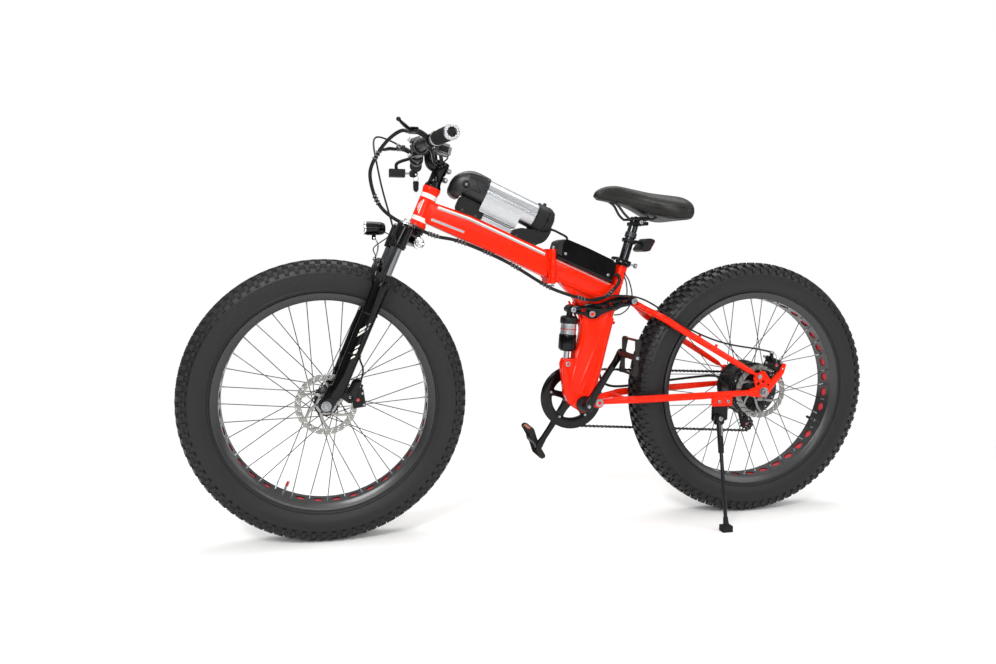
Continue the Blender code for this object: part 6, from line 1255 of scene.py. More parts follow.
# Controller box: moulded cover, base flange and screws.
cover = rounded([(4.2, 786), (10, 804), (35, 811), (97, 787), (174, 753), (183, 741), (169, 690.5), (4.2, 760.2)],
                9, 5)
piece("controller_cover", "rear_frame", gloss_plastic, [prism(cover, -32.6, 32.6)], ("controller_box",), bevel=7.0)
nose = rounded([(3.6, 770), (3.6, 786.5), (9.6, 804.6), (30, 811), (22, 792), (20, 762)], 5, 4)
piece("controller_nose", "rear_frame", cap_plastic, [prism(nose, -33.2, 33.2)], bevel=7.0)
flange = rounded([(4.6, 765), (4.6, 760.2), (169, 690.6), (171, 696)], 1.4, 2)
piece("controller_base", "rear_frame", moulded_black, [prism(flange, -33.4, 33.4)], bevel=0.7)
piece("controller_screws", "rear_frame", zinc_steel,
      [bolt((x, side * 32.3, z), (0, side, 0), 3.8, 1.6) for side in (-1, 1) for x, z in ((30, 770), (156, 712))])


# Stem: riser with a flared foot, clamped arm, bar clamp with face plate and bolts.
riser = lathe([(632.4, 14.8), (632.4, 22.4), (633.6, 23), (637, 22.4), (643, 18.8), (649, 17.6), (672, 17.6),
               (676, 19.8), (703, 20), (706, 18.8), (706.6, 14), (706.6, 0), (700, 0), (700, 14.8)],
              steer(0), STEER_UP, 64)
arm = smooth_path([steer(690, 4), steer(692, 26), beside(BAR, 0, 26, -12), beside(BAR, 0, 4, -1)], 8)
stem_parts = [riser, tube(arm, 15.5, 28, flat=1.15, side=(0, 1, 0))]
piece("stem_casting", "steering", black_lacquer, stem_parts, ("stem",))
clamp_body = [drum([(-24, 16.1), (-24, 21.5), (-22.5, 23), (22.5, 23), (24, 21.5), (24, 16.1)], BAR, 64)]
clamp_body += [block(beside(BAR, 0, -13, side * 19.5), (26, 44, 8), about_y(20)) for side in (-1, 1)]
piece("stem_bar_clamp", "steering", black_lacquer, clamp_body, bevel=1.6)
face = [drum([(side * 24, 16.2), (side * 24.1, 22.2), (side * 25.2, 21.2), (side * 25.4, 17.2),
              (side * 24.4, 16.2)], BAR, 64) for side in (-1, 1)]
piece("stem_face_rings", "steering", dark_steel, face)
screws = [bolt(beside(BAR, y, -27, side * 21), (-1, 0, 0.3 * side), 4.0, 4.0) for y in (-13, 13)
          for side in (-1, 1)]
piece("stem_pinch_lugs", "steering", black_lacquer,
      [block(steer(t, -23, 0), (14, 24, 12), about_y(-22.5)) for t in (664, 690)], bevel=2.4)
screws += [bolt(steer(t, -24, side * 12), (0, side, 0), 4.2, 3.2) for t in (664, 690) for side in (-1, 1)]
screws.append(lathe([(706.4, 0), (706.4, 9), (708.4, 8.2), (708.4, 3.6), (707, 3.4), (707, 0)], steer(0),
                    STEER_UP, 32))
piece("stem_screws", "steering", zinc_steel, screws)

# Handlebar with its bends and butted middle.
spots = [-BAR_HALF, -260, -200, -150, -128, -116, -90, -60, -30, 0, 30, 60, 90, 116, 128, 150, 200, 260, BAR_HALF]
widths = [11.1] * 5 + [14.0] + [15.8] * 7 + [14.0] + [11.1] * 5
line = [bar_at(y) for y in spots]
piece("bar_tube", "steering", satin_black, [tube(smooth_path(line, 5), 11.1, 36, radii=spread(widths, 5))],
      ("handlebar",))


def on_bar(y, side=None):
    """The bar's centre at y and its direction, pointing outwards on that side."""
    way = along_bar(y)
    return Vector(bar_at(y)), way * (side or 1)


def sleeve(y, side, profile, count=64, ripple=None):
    """A shape turned about the bar at y."""
    spot, way = on_bar(y, side)
    return lathe(profile, spot, way, count, ripple=ripple)


def palm(h, r, t):
    """Grip rubber: raised rings, and diamonds under the palm."""
    if r < 15.9:
        return 0.0
    ring_cut = -0.7 if math.sin(h * 1.25) > 0.2 else 0.0
    return ring_cut + (0.5 if math.cos(9 * t) * math.cos(h * 0.6) > 0.2 else 0.0)


def grip_body(y, side, low, high, name, body, node):
    """low and high are measured outwards from y."""
    rows = [low + 12 + 1.6 * k for k in range(int((high - 14 - low - 12) / 1.6))]
    bulge = [(h, 16.3 + 1.0 * math.sin(math.pi * (h - low) / (high - low))) for h in rows]
    profile = [(low + 9, 11.4), (low + 9, 17.6),
               (low + 11, 17.8)] + bulge + [(high - 12, 16.6), (high - 11, 17.6), (high - 9, 17.6),
                                            (high - 9, 11.4)]
    return piece(name, body, grip_rubber, [sleeve(y, side, profile, 96, palm)], (node,), smooth=30)


grip_body(-260, -1, -64, 70, "grip_left_rubber", "steering", "grip_left")
grip_body(260, 1, -46, 70, "throttle_grip_rubber", "throttle", "throttle_grip")
for side, body, low, ring in ((-1, "steering", -64, alloy), (1, "throttle", -46, dark_steel)):
    name = "left" if side < 0 else "right"
    rings = [sleeve(side * 260, side, [(h, 11.4), (h, 17.8), (h + 0.8, 18.6), (h + 8, 18.6), (h + 8.8, 17.8),
                                       (h + 8.8, 11.4)]) for h in (low, 61.2)]
    piece("grip_rings_" + name, body, ring, rings)
    knob, way = on_bar(side * 324, side)
    piece("grip_plug_" + name, body, black_alloy,
          [lathe([(3, 0), (3, 11.0), (5.8, 10.6), (6.4, 9.6), (6.4, 4.6), (4, 4.2), (4, 0)], knob, way, 6)])
    lock, way = on_bar(side * (260 + low + 4), side)
    across = Vector((way.y, -way.x, 0)).normalized()
    piece("grip_screw_" + name, body, zinc_steel,
          [bolt(lock - across * side * 18.2 + Vector((0, 0, -2)), -across * side, 2.6, 1.4)])


def lever_set(side, word):
    """Bar clamp, lever body with adjuster, blade with ball end, and their screws."""
    centre, way = on_bar(side * 150, side)
    pivot = Vector(beside(BAR, side * 158, -34, 18))
    band = lathe([(-8, 11.3), (-8, 15.6), (-7, 16.4), (7, 16.4), (8, 15.6), (8, 11.3)], centre, way, 56)
    neck = tube(smooth_path([centre + Vector((-9, 0, 5)), (pivot + centre) / 2 + Vector((-6, 0, 6)),
                             pivot + Vector((3, -side * 3, -1))], 5), 7.2, 24)
    yoke = [block(pivot + Vector((-1, -side * 9, 0)), (23, 26, 12.5)),
            block(pivot + Vector((-1, side * 5, 5.0)), (19, 15, 2.8)),
            block(pivot + Vector((-1, side * 5, -5.0)), (19, 15, 2.8))]
    piece("lever_body_" + word, "steering", black_alloy, [band, neck] + yoke, ("lever_clamp_" + word,), bevel=1.4)
    barrel = pivot + Vector((-4, -side * 20, 1))
    tip = pivot + Vector((-10, -side * 40, 3))
    reach = (tip - barrel).normalized()
    knurl = lathe([(0, 0), (0, 5.2), (1, 5.8), (9, 5.8), (10, 4.6), (18, 4.4), (20.6, 3.2), (20.8, 0)],
                  barrel, reach, 48, ripple=lambda h, r, t: -0.4 if r > 5 and math.cos(16 * t) > 0 else 0.0)
    pin_parts = [rod(pivot + Vector((0, 0, -7.0)), pivot + Vector((0, 0, 7.0)), 3.0, 20),
                 bolt(centre + Vector((3, 0, -17)), (0, 0, -1), 2.8, 3.0), knurl]
    piece("lever_fittings_" + word, "steering", zinc_steel, pin_parts)
    body = "lever_" + word
    path = smooth_path([pivot + Vector((0, -side * 1.0, 0)), pivot + Vector((-14, side * 17, 0)),
                        pivot + Vector((-28, side * 40, 4)), pivot + Vector((-38, side * 68, 5)),
                        pivot + Vector((-48, side * 94, 8))], 8)
    wide = [3.6 + 1.6 * math.sin(math.pi * k / (len(path) - 1)) for k in range(len(path))]
    blade = tube(path, 3, 24, radii=wide, flat=0.72)
    ball = lathe([(5.4 * math.sin(a), 5.6 * math.cos(a))
                  for a in [math.pi * (k / 16 - 0.5) for k in range(17)]], path[-1], (0, 0, 1), 32)
    piece("lever_blade_" + word, body, black_lacquer if side < 0 else satin_black,
          [blade, ball, rod(pivot + Vector((0, 0, -3.2)), pivot + Vector((0, 0, 3.2)), 6.2, 28)],
          ("brake_lever_" + word,), smooth=60)


lever_set(-1, "left")
lever_set(1, "right")

# Gear pod: clamp, smoked housing with its window, and the thumb trigger.
pod_seat, pod_way = on_bar(-180)
pod_centre = pod_seat + Vector((20, 2, -24))
pod_turn = about_y(-14)
smoked = surface("smoked_plastic", "#3A3B3D", 0.3, grain=2.0, relief=0.02, shade="#4A4B4D",
                 rough_by=0.06, Coat_Weight=0.3, Coat_Roughness=0.1)
piece("gear_pod_clamp", "steering", moulded_black,
      [lathe([(-7, 11.3), (-7, 15), (-6, 15.7), (6, 15.7), (7, 15), (7, 11.3)], pod_seat, pod_way, 48)],
      ("gear_pod",))
piece("gear_pod_housing", "steering", smoked, [block(pod_centre, (40, 30, 30), pod_turn)], bevel=6.0)
piece("gear_pod_window", "steering", decal_white,
      [block(pod_centre + pod_turn @ Vector((4, -0.6, 15.0)), (16, 10, 1.0), pod_turn)], bevel=0.4)
piece("gear_pod_badge", "steering", moulded_black,
      [block(pod_centre + pod_turn @ Vector((0, -15.2, 0)), (24, 1.2, 15), pod_turn)], bevel=0.5)
trigger_at = Vector((-339.7, -167.0, 1013.7))
piece("gear_paddle", "gear_trigger", moulded_black,
      [bent([trigger_at + Vector(p) for p in ((0, 5, 0), (1, 14, -2), (4, 21, -12), (6, 24, -24))], 3.4, 20, 6,
            flat=1.4), rod(trigger_at + Vector((0, 2, 0)), trigger_at + Vector((0, 9, 0)), 6.0, 24)],
      ("gear_trigger",))

# Throttle housing, display with its keys, and the key switch below.
hold, hold_way = on_bar(192)
shell = lathe([(-16, 11.3), (-16, 18.6), (-14, 20), (19, 20), (21, 18.6), (21, 11.3)], hold, hold_way, 64)
piece("throttle_shell", "steering", moulded_black, [shell, block(hold + Vector((4, -2, 18)), (30, 26, 10))],
      ("throttle_housing",), bevel=1.6)
hang, _ = on_bar(100)
turn = about_y(28)
screen_at = hang + Vector((6, 8, 26))
band = lathe([(4, 16), (4, 19), (5, 20), (15, 20), (16, 19), (16, 16)], hang, (0, 1, 0), 48)
key_pos = Vector((-395.7, 128.0, 991.7))
arm = bent([key_pos + Vector((-24, -6, 6)), key_pos + Vector((-22, -18, 26)), hang + Vector((-6, 14, -10))], 4.5,
           20, 8)
barrel = rod(key_pos + Vector((-24, 0, 0)), key_pos + Vector((-2, 0, 0)), 8.5, 36)
piece("switch_housing", "steering", moulded_black,
      [block(screen_at, (46, 34, 16), turn), block(key_pos + Vector((-22, 0, 0)), (44, 26, 22)), band, arm,
       barrel], ("key_switch",), bevel=2.0)
glass_black = surface("display_glass", "#08090C", 0.08, grain=4.0, relief=0.002, shade="#0B0D12",
                      rough_by=0.02, Coat_Weight=0.5)
piece("display_glass", "steering", glass_black,
      [block(screen_at + turn @ Vector((0, 0, 8.2)), (36, 26, 0.8), turn)], bevel=0.3)
piece("display_buttons", "steering", grip_rubber,
      [rod(screen_at + turn @ Vector((x, -17, 0)), screen_at + turn @ Vector((x, -18.2, 0)), 3.4, 24)
       for x in (-12, 0, 12)], bevel=0.4)
piece("key_lock_ring", "steering", zinc_steel,
      [lathe([(-3, 3), (-3, 9), (-1.4, 9.2), (-0.6, 8.2), (-0.6, 3)], key_pos, (1, 0, 0), 48)])
head_line = [(12, -3), (14, -9), (22, -11), (30, -10), (37, -3), (36, 4), (28, 9), (20, 10), (14, 8), (12, 3)]
key_head = sheet_metal(rounded([(key_pos.x + x, key_pos.z + z) for x, z in head_line], 3, 3),
                       [circle((key_pos.x + 31, key_pos.z - 2), 2.6)], 125.6, 130.6, 1.0)
piece("key_head", "key", moulded_black, [key_head], ("ignition_key",))
shaft = [prism([(key_pos.x + 0.4, key_pos.z - 3), (key_pos.x + 13, key_pos.z - 3),
                (key_pos.x + 13, key_pos.z + 3), (key_pos.x + 0.4, key_pos.z + 3)], 127.2, 129.2)]
ring_at = Vector((key_pos.x + 31, 128.2, key_pos.z - 12.9))
shaft.append(tube(closed_ring(ring_at, 7.8, (0.5, 0.86, 0)), 0.8, 10))
tag_line = rounded([(-8, -17), (8, -17), (7, -40), (3, -46), (-3, -46), (-7, -40)], 3, 3)
spot = Vector((key_pos.x + 31, 128.2, key_pos.z - 4))
rim_line = [(a * 1.1, b * 1.06 + 1.5) for a, b in tag_line]
piece("key_ring", "key", zinc_steel, shaft)
piece("spare_key_rim", "key", zinc_steel,
      [loft([[(spot.x + a, spot.y + y, spot.z + b) for a, b in rim_line] for y in (-1.0, 1.0)])], bevel=0.3)
piece("spare_key_head", "key", moulded_black,
      [loft([[(spot.x + a, spot.y + y, spot.z + b) for a, b in tag_line] for y in (-1.8, 1.8)])], bevel=0.5)


# Seat clamp, its skewer and lever, post with head, rails and rear light.
CLAMP = (-5, -23, 25)
ring = lathe([(-9, 16.9), (-9, 19.7), (-8.2, 20.5), (8.2, 20.5), (9, 19.7), (9, 16.9)], seat(CLAMP[0]), SEAT_UP, 72)
piece("seat_clamp_ring", "rear_frame", black_alloy,
      [ring, block(seat(CLAMP[0], 7.5, CLAMP[1]), (12, 12, 14), about_y(-16.1)),
       block(seat(CLAMP[0], -7.5, CLAMP[1]), (12, 12, 14), about_y(-16.1))], ("seat_clamp",), bevel=1.0)
piece("seat_skewer", "rear_frame", zinc_steel,
      [rod(seat(CLAMP[0], -34, CLAMP[1]), seat(CLAMP[0], 19, CLAMP[1]), 2.6, 20),
       lathe([(0, 0), (0, 6.2), (1, 7), (6, 7), (7, 6.2), (7, 0)], seat(CLAMP[0], -34, CLAMP[1]),
             seat(0, 1) - seat(0), 48, ripple=lambda h, r, t: -0.5 if r > 6.5 and math.cos(14 * t) > 0.3 else 0.0)])
blade = smooth_path([seat(CLAMP[0] + 6.5, CLAMP[2] + a, y)
                     for a, y in ((2, -22), (4.4, -8), (4.4, 8), (0, 23), (-11, 31))], 8)
swell = [3.3 + 1.2 * math.sin(math.pi * k / (len(blade) - 1)) for k in range(len(blade))]
piece("seat_quick_lever", "seat_lever", black_lacquer,
      [rod(seat(CLAMP[0] - 6, CLAMP[2], CLAMP[1]), seat(CLAMP[0] + 10, CLAMP[2], CLAMP[1]), 5.6, 32, edge=1.0),
       tube(blade, 3.4, 24, radii=swell, flat=0.8)], ("seat_lever",), smooth=60)
post = lathe([(-130, 11.6), (-130, 13.4), (-129, 13.6), (118, 13.6), (122, 12.6), (122, 0), (-128, 0)],
             seat(0), SEAT_UP, 64)
piece("seat_post_tube", "seatpost", anodised_black, [post], ("seatpost",))
marks = []
back = seat(0) - seat(0, 1)
for t in range(4, 64, 6):
    patch = []
    for k in range(5):
        a = math.radians((36 if t % 12 == 4 else 22) * (k / 4 - 0.5))
        out = back * math.cos(a) + Vector((0, math.sin(a), 0))
        patch.append([seat(h) + out * r for h, r in ((t, 13.68), (t + 0.5, 13.68), (t + 0.5, 13.4), (t, 13.4))])
    marks.append(loft(patch))
piece("seat_post_marks", "seatpost", decal_grey, marks)
collar = lathe([(70, 13.5), (70, 15.8), (71, 16.6), (84, 16.6), (85, 15.8), (85, 13.5)], seat(0), SEAT_UP, 64)
piece("seat_post_collar", "seatpost", dark_steel, [collar])
head = seat(122)
rail_z = head.z + 2.0
jaws = [block((head.x + 8, 0, head.z - 10.4), (44, 52, 10)), block((head.x + 8, 0, head.z + 4.6), (38, 54, 7)),
        rod((head.x + 8, -22, head.z - 7), (head.x + 8, 22, head.z - 7), 10.5, 40)]
piece("seat_head_jaws", "seatpost", black_alloy, jaws, bevel=2.0)
piece("seat_head_bolts", "seatpost", zinc_steel,
      [rod((head.x + 8, side * 28, head.z - 7), (head.x + 8, side * 24, head.z - 7), 6.4, 6) for side in (-1, 1)]
      + [bolt((head.x + x, side * 13, head.z + 8), (0, 0, 1), 3.4, 2.4) for x in (-4, 20) for side in (-1, 1)])
wires = []
for side in (-1, 1):
    wires.append(bent([(head.x - 82, side * 9, 921), (head.x - 60, side * 14, 908), (head.x - 42, side * 21, 884),
                       (head.x - 26, side * 22, rail_z), (head.x - 18, side * 22, rail_z),
                       (head.x + 35, side * 22, rail_z), (head.x + 44, side * 22, rail_z),
                       (head.x + 66, side * 28, rail_z + 12), (head.x + 92, side * 36, 893)], 3.5, 24, 8))
wires += [rod((head.x - 82, -14, 921), (head.x - 82, 14, 921), 4.4, 24),
          rod((head.x + 92, -40, 893), (head.x + 92, 40, 893), 4.4, 24)]
piece("saddle_rail_wires", "seatpost", spoke_steel, wires, ("saddle_rails",), smooth=60)
tail = seat(60)
band = lathe([(-5, 13.65), (-5, 19.6), (-4, 20.6), (4, 20.6), (5, 19.6), (5, 13.65)], tail, SEAT_UP, 56)
shift = tail.x - 227.6
case = rounded([(x + shift + 2, z) for x, z in ((293, 812), (273, 817), (262, 803), (249, 784), (260, 777),
                                                (276, 780))], 6, 4)
piece("rear_light_case", "seatpost", moulded_black,
      [band, rod((tail.x + 17, 0, tail.z - 1), (tail.x + 47, 0, tail.z - 5), 4.5, 28), prism(case, -32, 32)],
      ("rear_light",), bevel=1.2)
lens_line = rounded([(x + shift + 2, z) for x, z in ((292, 809), (294.4, 808), (278.4, 779.6), (276, 781))], 0.8, 2)
piece("rear_light_lens", "seatpost", red_lens, [prism(lens_line, -29, 29)], bevel=0.5)
piece("rear_light_screws", "seatpost", zinc_steel,
      [bolt((tail.x + 14, side * 6.0, tail.z - 1), (0, side, 0), 2.6, 5) for side in (-1, 1)])


# Saddle: a foamed pad under vinyl, pressed out by a cloth simulation, on a moulded tray.
def pad_ring(x, top, low, half, base, inset):
    """A cross-section: crowned top, full sides that turn under, flat underneath."""
    out = []
    for k in range(25):
        a = math.pi * k / 24
        c, s = math.cos(a), math.sin(a)
        out.append((x, (half - inset) * math.copysign(abs(c) ** 0.75, c),
                    low + (top - inset - low) * abs(s) ** 0.7))
    under = max(2.0, half * 0.93 - inset)
    return out + [(x, under * (1 - k / 4), base + 3) for k in (8, 7, 6, 5, 4, 3, 2, 1, 0)]


STATIONS = [(-129, 938, 931, 8, 928), (-122, 949, 930, 15, 924), (-108, 957, 928, 20, 921),
            (-88, 962, 926, 23.5, 918), (-60, 962, 922, 27, 914), (-30, 957, 915, 33, 905),
            (0, 951, 906, 44, 894), (30, 945, 896, 61, 882), (58, 941, 888, 82, 873), (86, 938, 882, 98, 867),
            (112, 935, 881, 103, 866), (130, 930, 882, 99, 868), (142, 922, 885, 88, 872), (148, 912, 890, 70, 878)]
table = [smooth_path([(s[0], s[i], 0) for s in STATIONS], 4) for i in (1, 2, 3, 4)]
rows = [(a.x, a.y, b.y, c.y, d.y) for a, b, c, d in zip(*table)]
vinyl, tree, shader, place = blank("saddle_vinyl", "#0B0B09", 0.38, 0.0, Specular_IOR_Level=0.26, Sheen_Weight=0.03)
pebble = add(tree, "ShaderNodeTexVoronoi", {"Vector": place, "Scale": 620.0}, feature="SMOOTH_F1")
crease = add(tree, "ShaderNodeTexNoise", {"Vector": place, "Scale": 95.0, "Detail": 5.0})
both = add(tree, "ShaderNodeMath", {0: pebble, 1: crease}, operation="ADD")
bump = add(tree, "ShaderNodeBump", {"Height": both, "Strength": 0.45, "Distance": 0.00012})
tree.links.new(bump, shader.inputs["Normal"])
wear = add(tree, "ShaderNodeMix", {"Factor": crease, "A": linear("#10100E"), "B": linear("#1A1917")},
           data_type="RGBA")
tree.links.new(wear, shader.inputs["Base Color"])
sheen = add(tree, "ShaderNodeMapRange", {"Value": crease, "From Min": 0.3, "From Max": 0.7, "To Min": 0.36,
                                         "To Max": 0.5})
tree.links.new(sheen, shader.inputs["Roughness"])


CLOTH_FRAMES = 20


def swollen(obj, voxel, pressure, cap):
    """Remeshes a pad, blows it up as cloth, and moves no point by more than cap metres."""
    remesh = obj.modifiers.new("remesh", "REMESH")
    remesh.mode, remesh.voxel_size = "VOXEL", voxel
    shaped = bpy.data.meshes.new_from_object(obj.evaluated_get(bpy.context.evaluated_depsgraph_get()))
    obj.modifiers.clear()
    obj.data = shaped
    start = [v.co.copy() for v in shaped.vertices]
    cloth = obj.modifiers.new("pad", "CLOTH")
    cloth.settings.use_pressure = True
    cloth.settings.uniform_pressure_force = pressure
    cloth.settings.effector_weights.gravity = 0.0
    cloth.point_cache.frame_start, cloth.point_cache.frame_end = 1, CLOTH_FRAMES
    for frame_number in range(1, CLOTH_FRAMES + 1):
        bpy.context.scene.frame_set(frame_number)
    blown = obj.evaluated_get(bpy.context.evaluated_depsgraph_get()).to_mesh()
    moved = [v.co - s for v, s in zip(blown.vertices, start)]
    obj.modifiers.clear()
    drift = sum(moved, Vector()) / len(moved)
    for v, s, m in zip(shaped.vertices, start, moved):
        step = m - drift
        v.co = s + (step.normalized() * cap if step.length > cap else step)
    bpy.context.scene.frame_set(1)


pad = piece("saddle_cover", "seatpost", vinyl,
            [loft([[(head.x + x, y, z) for x, y, z in pad_ring(*row, 1.6)] for row in rows])], ("saddle",),
            smooth=180)
swollen(pad, voxel=0.004, pressure=4.0, cap=0.0022)
pad.data.materials.clear()
pad.data.materials.append(vinyl)
pad.data.shade_smooth()
pad.modifiers.new("rounding", "SUBSURF").levels = 1
pad.modifiers["rounding"].render_levels = 1
tree_of = BVHTree.FromPolygons([tuple(v.co) for v in pad.data.vertices],
                               [tuple(p.vertices) for p in pad.data.polygons])
seams = []
for side in (-1, 1):
    for drop, thick in ((0.34, 0.55), (0.30, 0.3)):
        trail = []
        for x, top, low, half, base in rows[3:-3:2]:
            z = low + (top - low) * drop
            hit = tree_of.ray_cast(Vector((head.x + x, side * 200, z)) * MM, Vector((0, -side, 0)))[0]
            if hit:
                trail.append(hit * 1000 + Vector((0, side * 0.1, 0)))
        if drop > 0.32:
            seams.append(tube(smooth_path(trail, 3), thick, 8))
        else:
            fine = smooth_path(trail, 4)
            seams += [rod(a, a + (b - a) * 0.6, thick, 6) for a, b in zip(fine, fine[1:])]
piece("saddle_seams", "seatpost", moulded_black, seams)
tray_rows = [(x, half * 0.8, base) for x, top, low, half, base in rows[6:-4]]
tray = loft([[(head.x + x, y, z) for y, z in ((-half, base + 6), (-half, base + 1.6), (-half * 0.9, base + 0.6),
                                              (half * 0.9, base + 0.6), (half, base + 1.6), (half, base + 6))]
             for x, half, base in tray_rows])
piece("saddle_tray", "seatpost", moulded_black, [tray], bevel=0.6)


# Drive: the chain's path is the CAD's, worked out again from the same wheels.
RING_TEETH, COG_TEETH, CRANK = 42, 18, 172.0
GUIDE = (REAR_AXLE[0] + 17.0, REAR_AXLE[1] - 68.0)
RING_R = PITCH / (2 * math.sin(math.pi / RING_TEETH))
COG_R = PITCH / (2 * math.sin(math.pi / COG_TEETH))
JOCKEY_R = 22.5


def gear_line(centre, teeth, phase, tip=3.6):
    """A toothed outline with a rounded gap for each roller."""
    reach, step, out = PITCH / (2 * math.sin(math.pi / teeth)), TAU / teeth, []
    for k in range(teeth):
        for share, r in ((-0.3, -2.6), (-0.2, -3.9), (-0.08, -4.4), (0.08, -4.4), (0.2, -3.9), (0.3, -2.6),
                         (0.41, 1.6), (0.46, tip), (0.54, tip), (0.59, 1.6)):
            t = phase + (k + share) * step
            out.append((centre[0] + (reach + r) * math.cos(t), centre[1] + (reach + r) * math.sin(t)))
    return out


def belt(one, r1, s1, two, r2, s2):
    """Where a belt leaves circle one and meets circle two; s is 1 for anticlockwise."""
    dx, dz = two[0] - one[0], two[1] - one[1]
    way = math.atan2(dz, dx) + math.asin((s1 * r1 - s2 * r2) / math.hypot(dx, dz))
    return [(c[0] + s * r * math.sin(way), c[1] - s * r * math.cos(way))
            for c, r, s in ((one, r1, s1), (two, r2, s2))]


def lower_jockey(drop):
    """The lower jockey wheel's centre, so far below the axle."""
    return REAR_AXLE[0] + 40.0, REAR_AXLE[1] - drop


def chain_walk(drop):
    """Arcs and straights of the chain, with the lower jockey so far below the axle."""
    wheels = [(BB, RING_R, 1), (lower_jockey(drop), JOCKEY_R, 1), (GUIDE, JOCKEY_R, -1), (REAR_AXLE, COG_R, 1)]
    runs = [belt(*one, *two) for one, two in zip(wheels, wheels[1:] + wheels[:1])]
    out = []
    for i, (c, r, s) in enumerate(wheels):
        a0, a1 = (math.atan2(p[1] - c[1], p[0] - c[0]) for p in (runs[i - 1][1], runs[i][0]))
        turn = (s * (a1 - a0)) % TAU
        out += [(c, r, a0, s * turn, r * turn), (runs[i][0], runs[i][1], None, 0, math.dist(*runs[i]))]
    return out, sum(step[4] for step in out)


low_drop, high_drop = 119.0, 150.0
LINKS = math.ceil(chain_walk(low_drop)[1] / PITCH / 2) * 2
for _ in range(40):
    half_way = (low_drop + high_drop) / 2
    if chain_walk(half_way)[1] < LINKS * PITCH:
        low_drop = half_way
    else:
        high_drop = half_way
TENSION = lower_jockey(low_drop)
steps_of, chain_long = chain_walk(low_drop)


def on_chain(s):
    """The chain's centre line so far along it, as (x, z)."""
    s %= chain_long
    for a, b, start, turn, length in steps_of:
        if s <= length:
            share = s / length
            if start is None:
                return Vector((a[0] + (b[0] - a[0]) * share, a[1] + (b[1] - a[1]) * share))
            return Vector((a[0] + b * math.cos(start + turn * share), a[1] + b * math.sin(start + turn * share)))
        s -= length
    return Vector(steps_of[0][1])


def side_plate(one, two, y, thick, outer):
    """One link plate, waisted between its two round ends."""
    way = (two - one).normalized()
    off = Vector((-way.y, way.x))
    out = []
    for end, sign in ((two, 1), (one, -1)):
        for k in range(7):
            t = math.pi * (k / 6 - 0.5)
            out.append(end + (way * math.cos(t) + off * math.sin(t)) * sign * outer)
        out.append((one + two) / 2 + off * sign * outer * 0.55)
    return loft([[(p.x, y - thick / 2, p.y) for p in out], [(p.x, y + thick / 2, p.y) for p in out]])


pitch_now = chain_long / LINKS
pins = [on_chain(k * pitch_now) for k in range(LINKS)]
inner, outer, rollers = [], [], []
for k, one in enumerate(pins):
    two = pins[(k + 1) % LINKS]
    for side in (-1, 1):
        (outer if k % 2 else inner).append(side_plate(one, two, CHAIN_Y + side * (3.2 if k % 2 else 2.0), 1.0,
                                                      3.9 if k % 2 else 4.0))
    rollers.append(rod((one.x, CHAIN_Y - 1.5, one.y), (one.x, CHAIN_Y + 1.5, one.y), 3.7, 12, edge=0.2))
    rollers.append(rod((one.x, CHAIN_Y - 4.1, one.y), (one.x, CHAIN_Y + 4.1, one.y), 1.7, 8, edge=0.3))
chain_dark = surface("oiled_chain_steel", "#2E2C29", 0.34, metal=1.0, grain=0.7, relief=0.02, shade="#1C1A18",
                     cloud=14.0)
chain_light = surface("chain_plate_steel", "#5A5957", 0.32, metal=1.0, grain=0.7, relief=0.02,
                      shade="#3C3B38", cloud=14.0)
piece("chain_outer_plates", "rear_frame", chain_light, outer, ("chain",))
piece("chain_inner_plates", "rear_frame", chain_dark, inner)
piece("chain_rollers", "rear_frame", chain_dark, rollers)

# Chainring between two guard rings on a five-armed spider.
ring_phase = steps_of[0][2]
piece("chainring_teeth", "crank", dark_steel,
      [sheet_metal(gear_line(BB, RING_TEETH, ring_phase), [circle(BB, RING_R - 16, 96)], CHAIN_Y - 1.0,
                   CHAIN_Y + 1.0, 0.2)])
guards = []
for side in (-1, 1):
    guards.append(lathe([(side * 4.4, RING_R - 23), (side * 4.4, RING_R + 7), (side * 5.2, RING_R + 8),
                         (side * 6.2, RING_R + 8), (side * 6.8, RING_R + 7), (side * 6.8, RING_R - 8),
                         (side * 6.2, RING_R - 20), (side * 5.6, RING_R - 23)], beside(BB, CHAIN_Y), (0, 1, 0),
                        128))
guards.append(lathe([(-4.4, RING_R - 23), (-4.4, RING_R - 15), (4.4, RING_R - 15), (4.4, RING_R - 23)],
                    beside(BB, CHAIN_Y), (0, 1, 0), 96))
for k in range(5):
    a = math.radians(72 * k + 20)
    one, two = Vector((math.cos(a), math.sin(a))), Vector((-math.sin(a), math.cos(a)))
    line = [(14, 13), (34, 9), (RING_R - 30, 8.5), (RING_R - 18, 14)]
    arm = [Vector(BB) + one * r + two * h
           for r, h in line] + [Vector(BB) + one * r - two * h for r, h in reversed(line)]
    guards.append(prism([tuple(p) for p in rounded(arm, 5, 3)], CHAIN_Y - 3.6, CHAIN_Y + 3.6))
guards.append(lathe([(-5.2, 10.2), (-5.2, 23), (-4, 24), (4, 24), (5.2, 23), (5.2, 10.2)], beside(BB, CHAIN_Y),
                    (0, 1, 0), 64))
piece("chainring_guards", "crank", gloss_plastic, guards, ("chainring",), bevel=0.6)
ring_bolts = [bolt(beside(BB, CHAIN_Y + side * 6.4, (RING_R - 18) * math.cos(math.radians(72 * k + 20)),
                          (RING_R - 18) * math.sin(math.radians(72 * k + 20))), (0, side, 0), 4.0, 1.4)
              for k in range(5) for side in (-1, 1)]
piece("chainring_bolts", "crank", zinc_steel, ring_bolts)


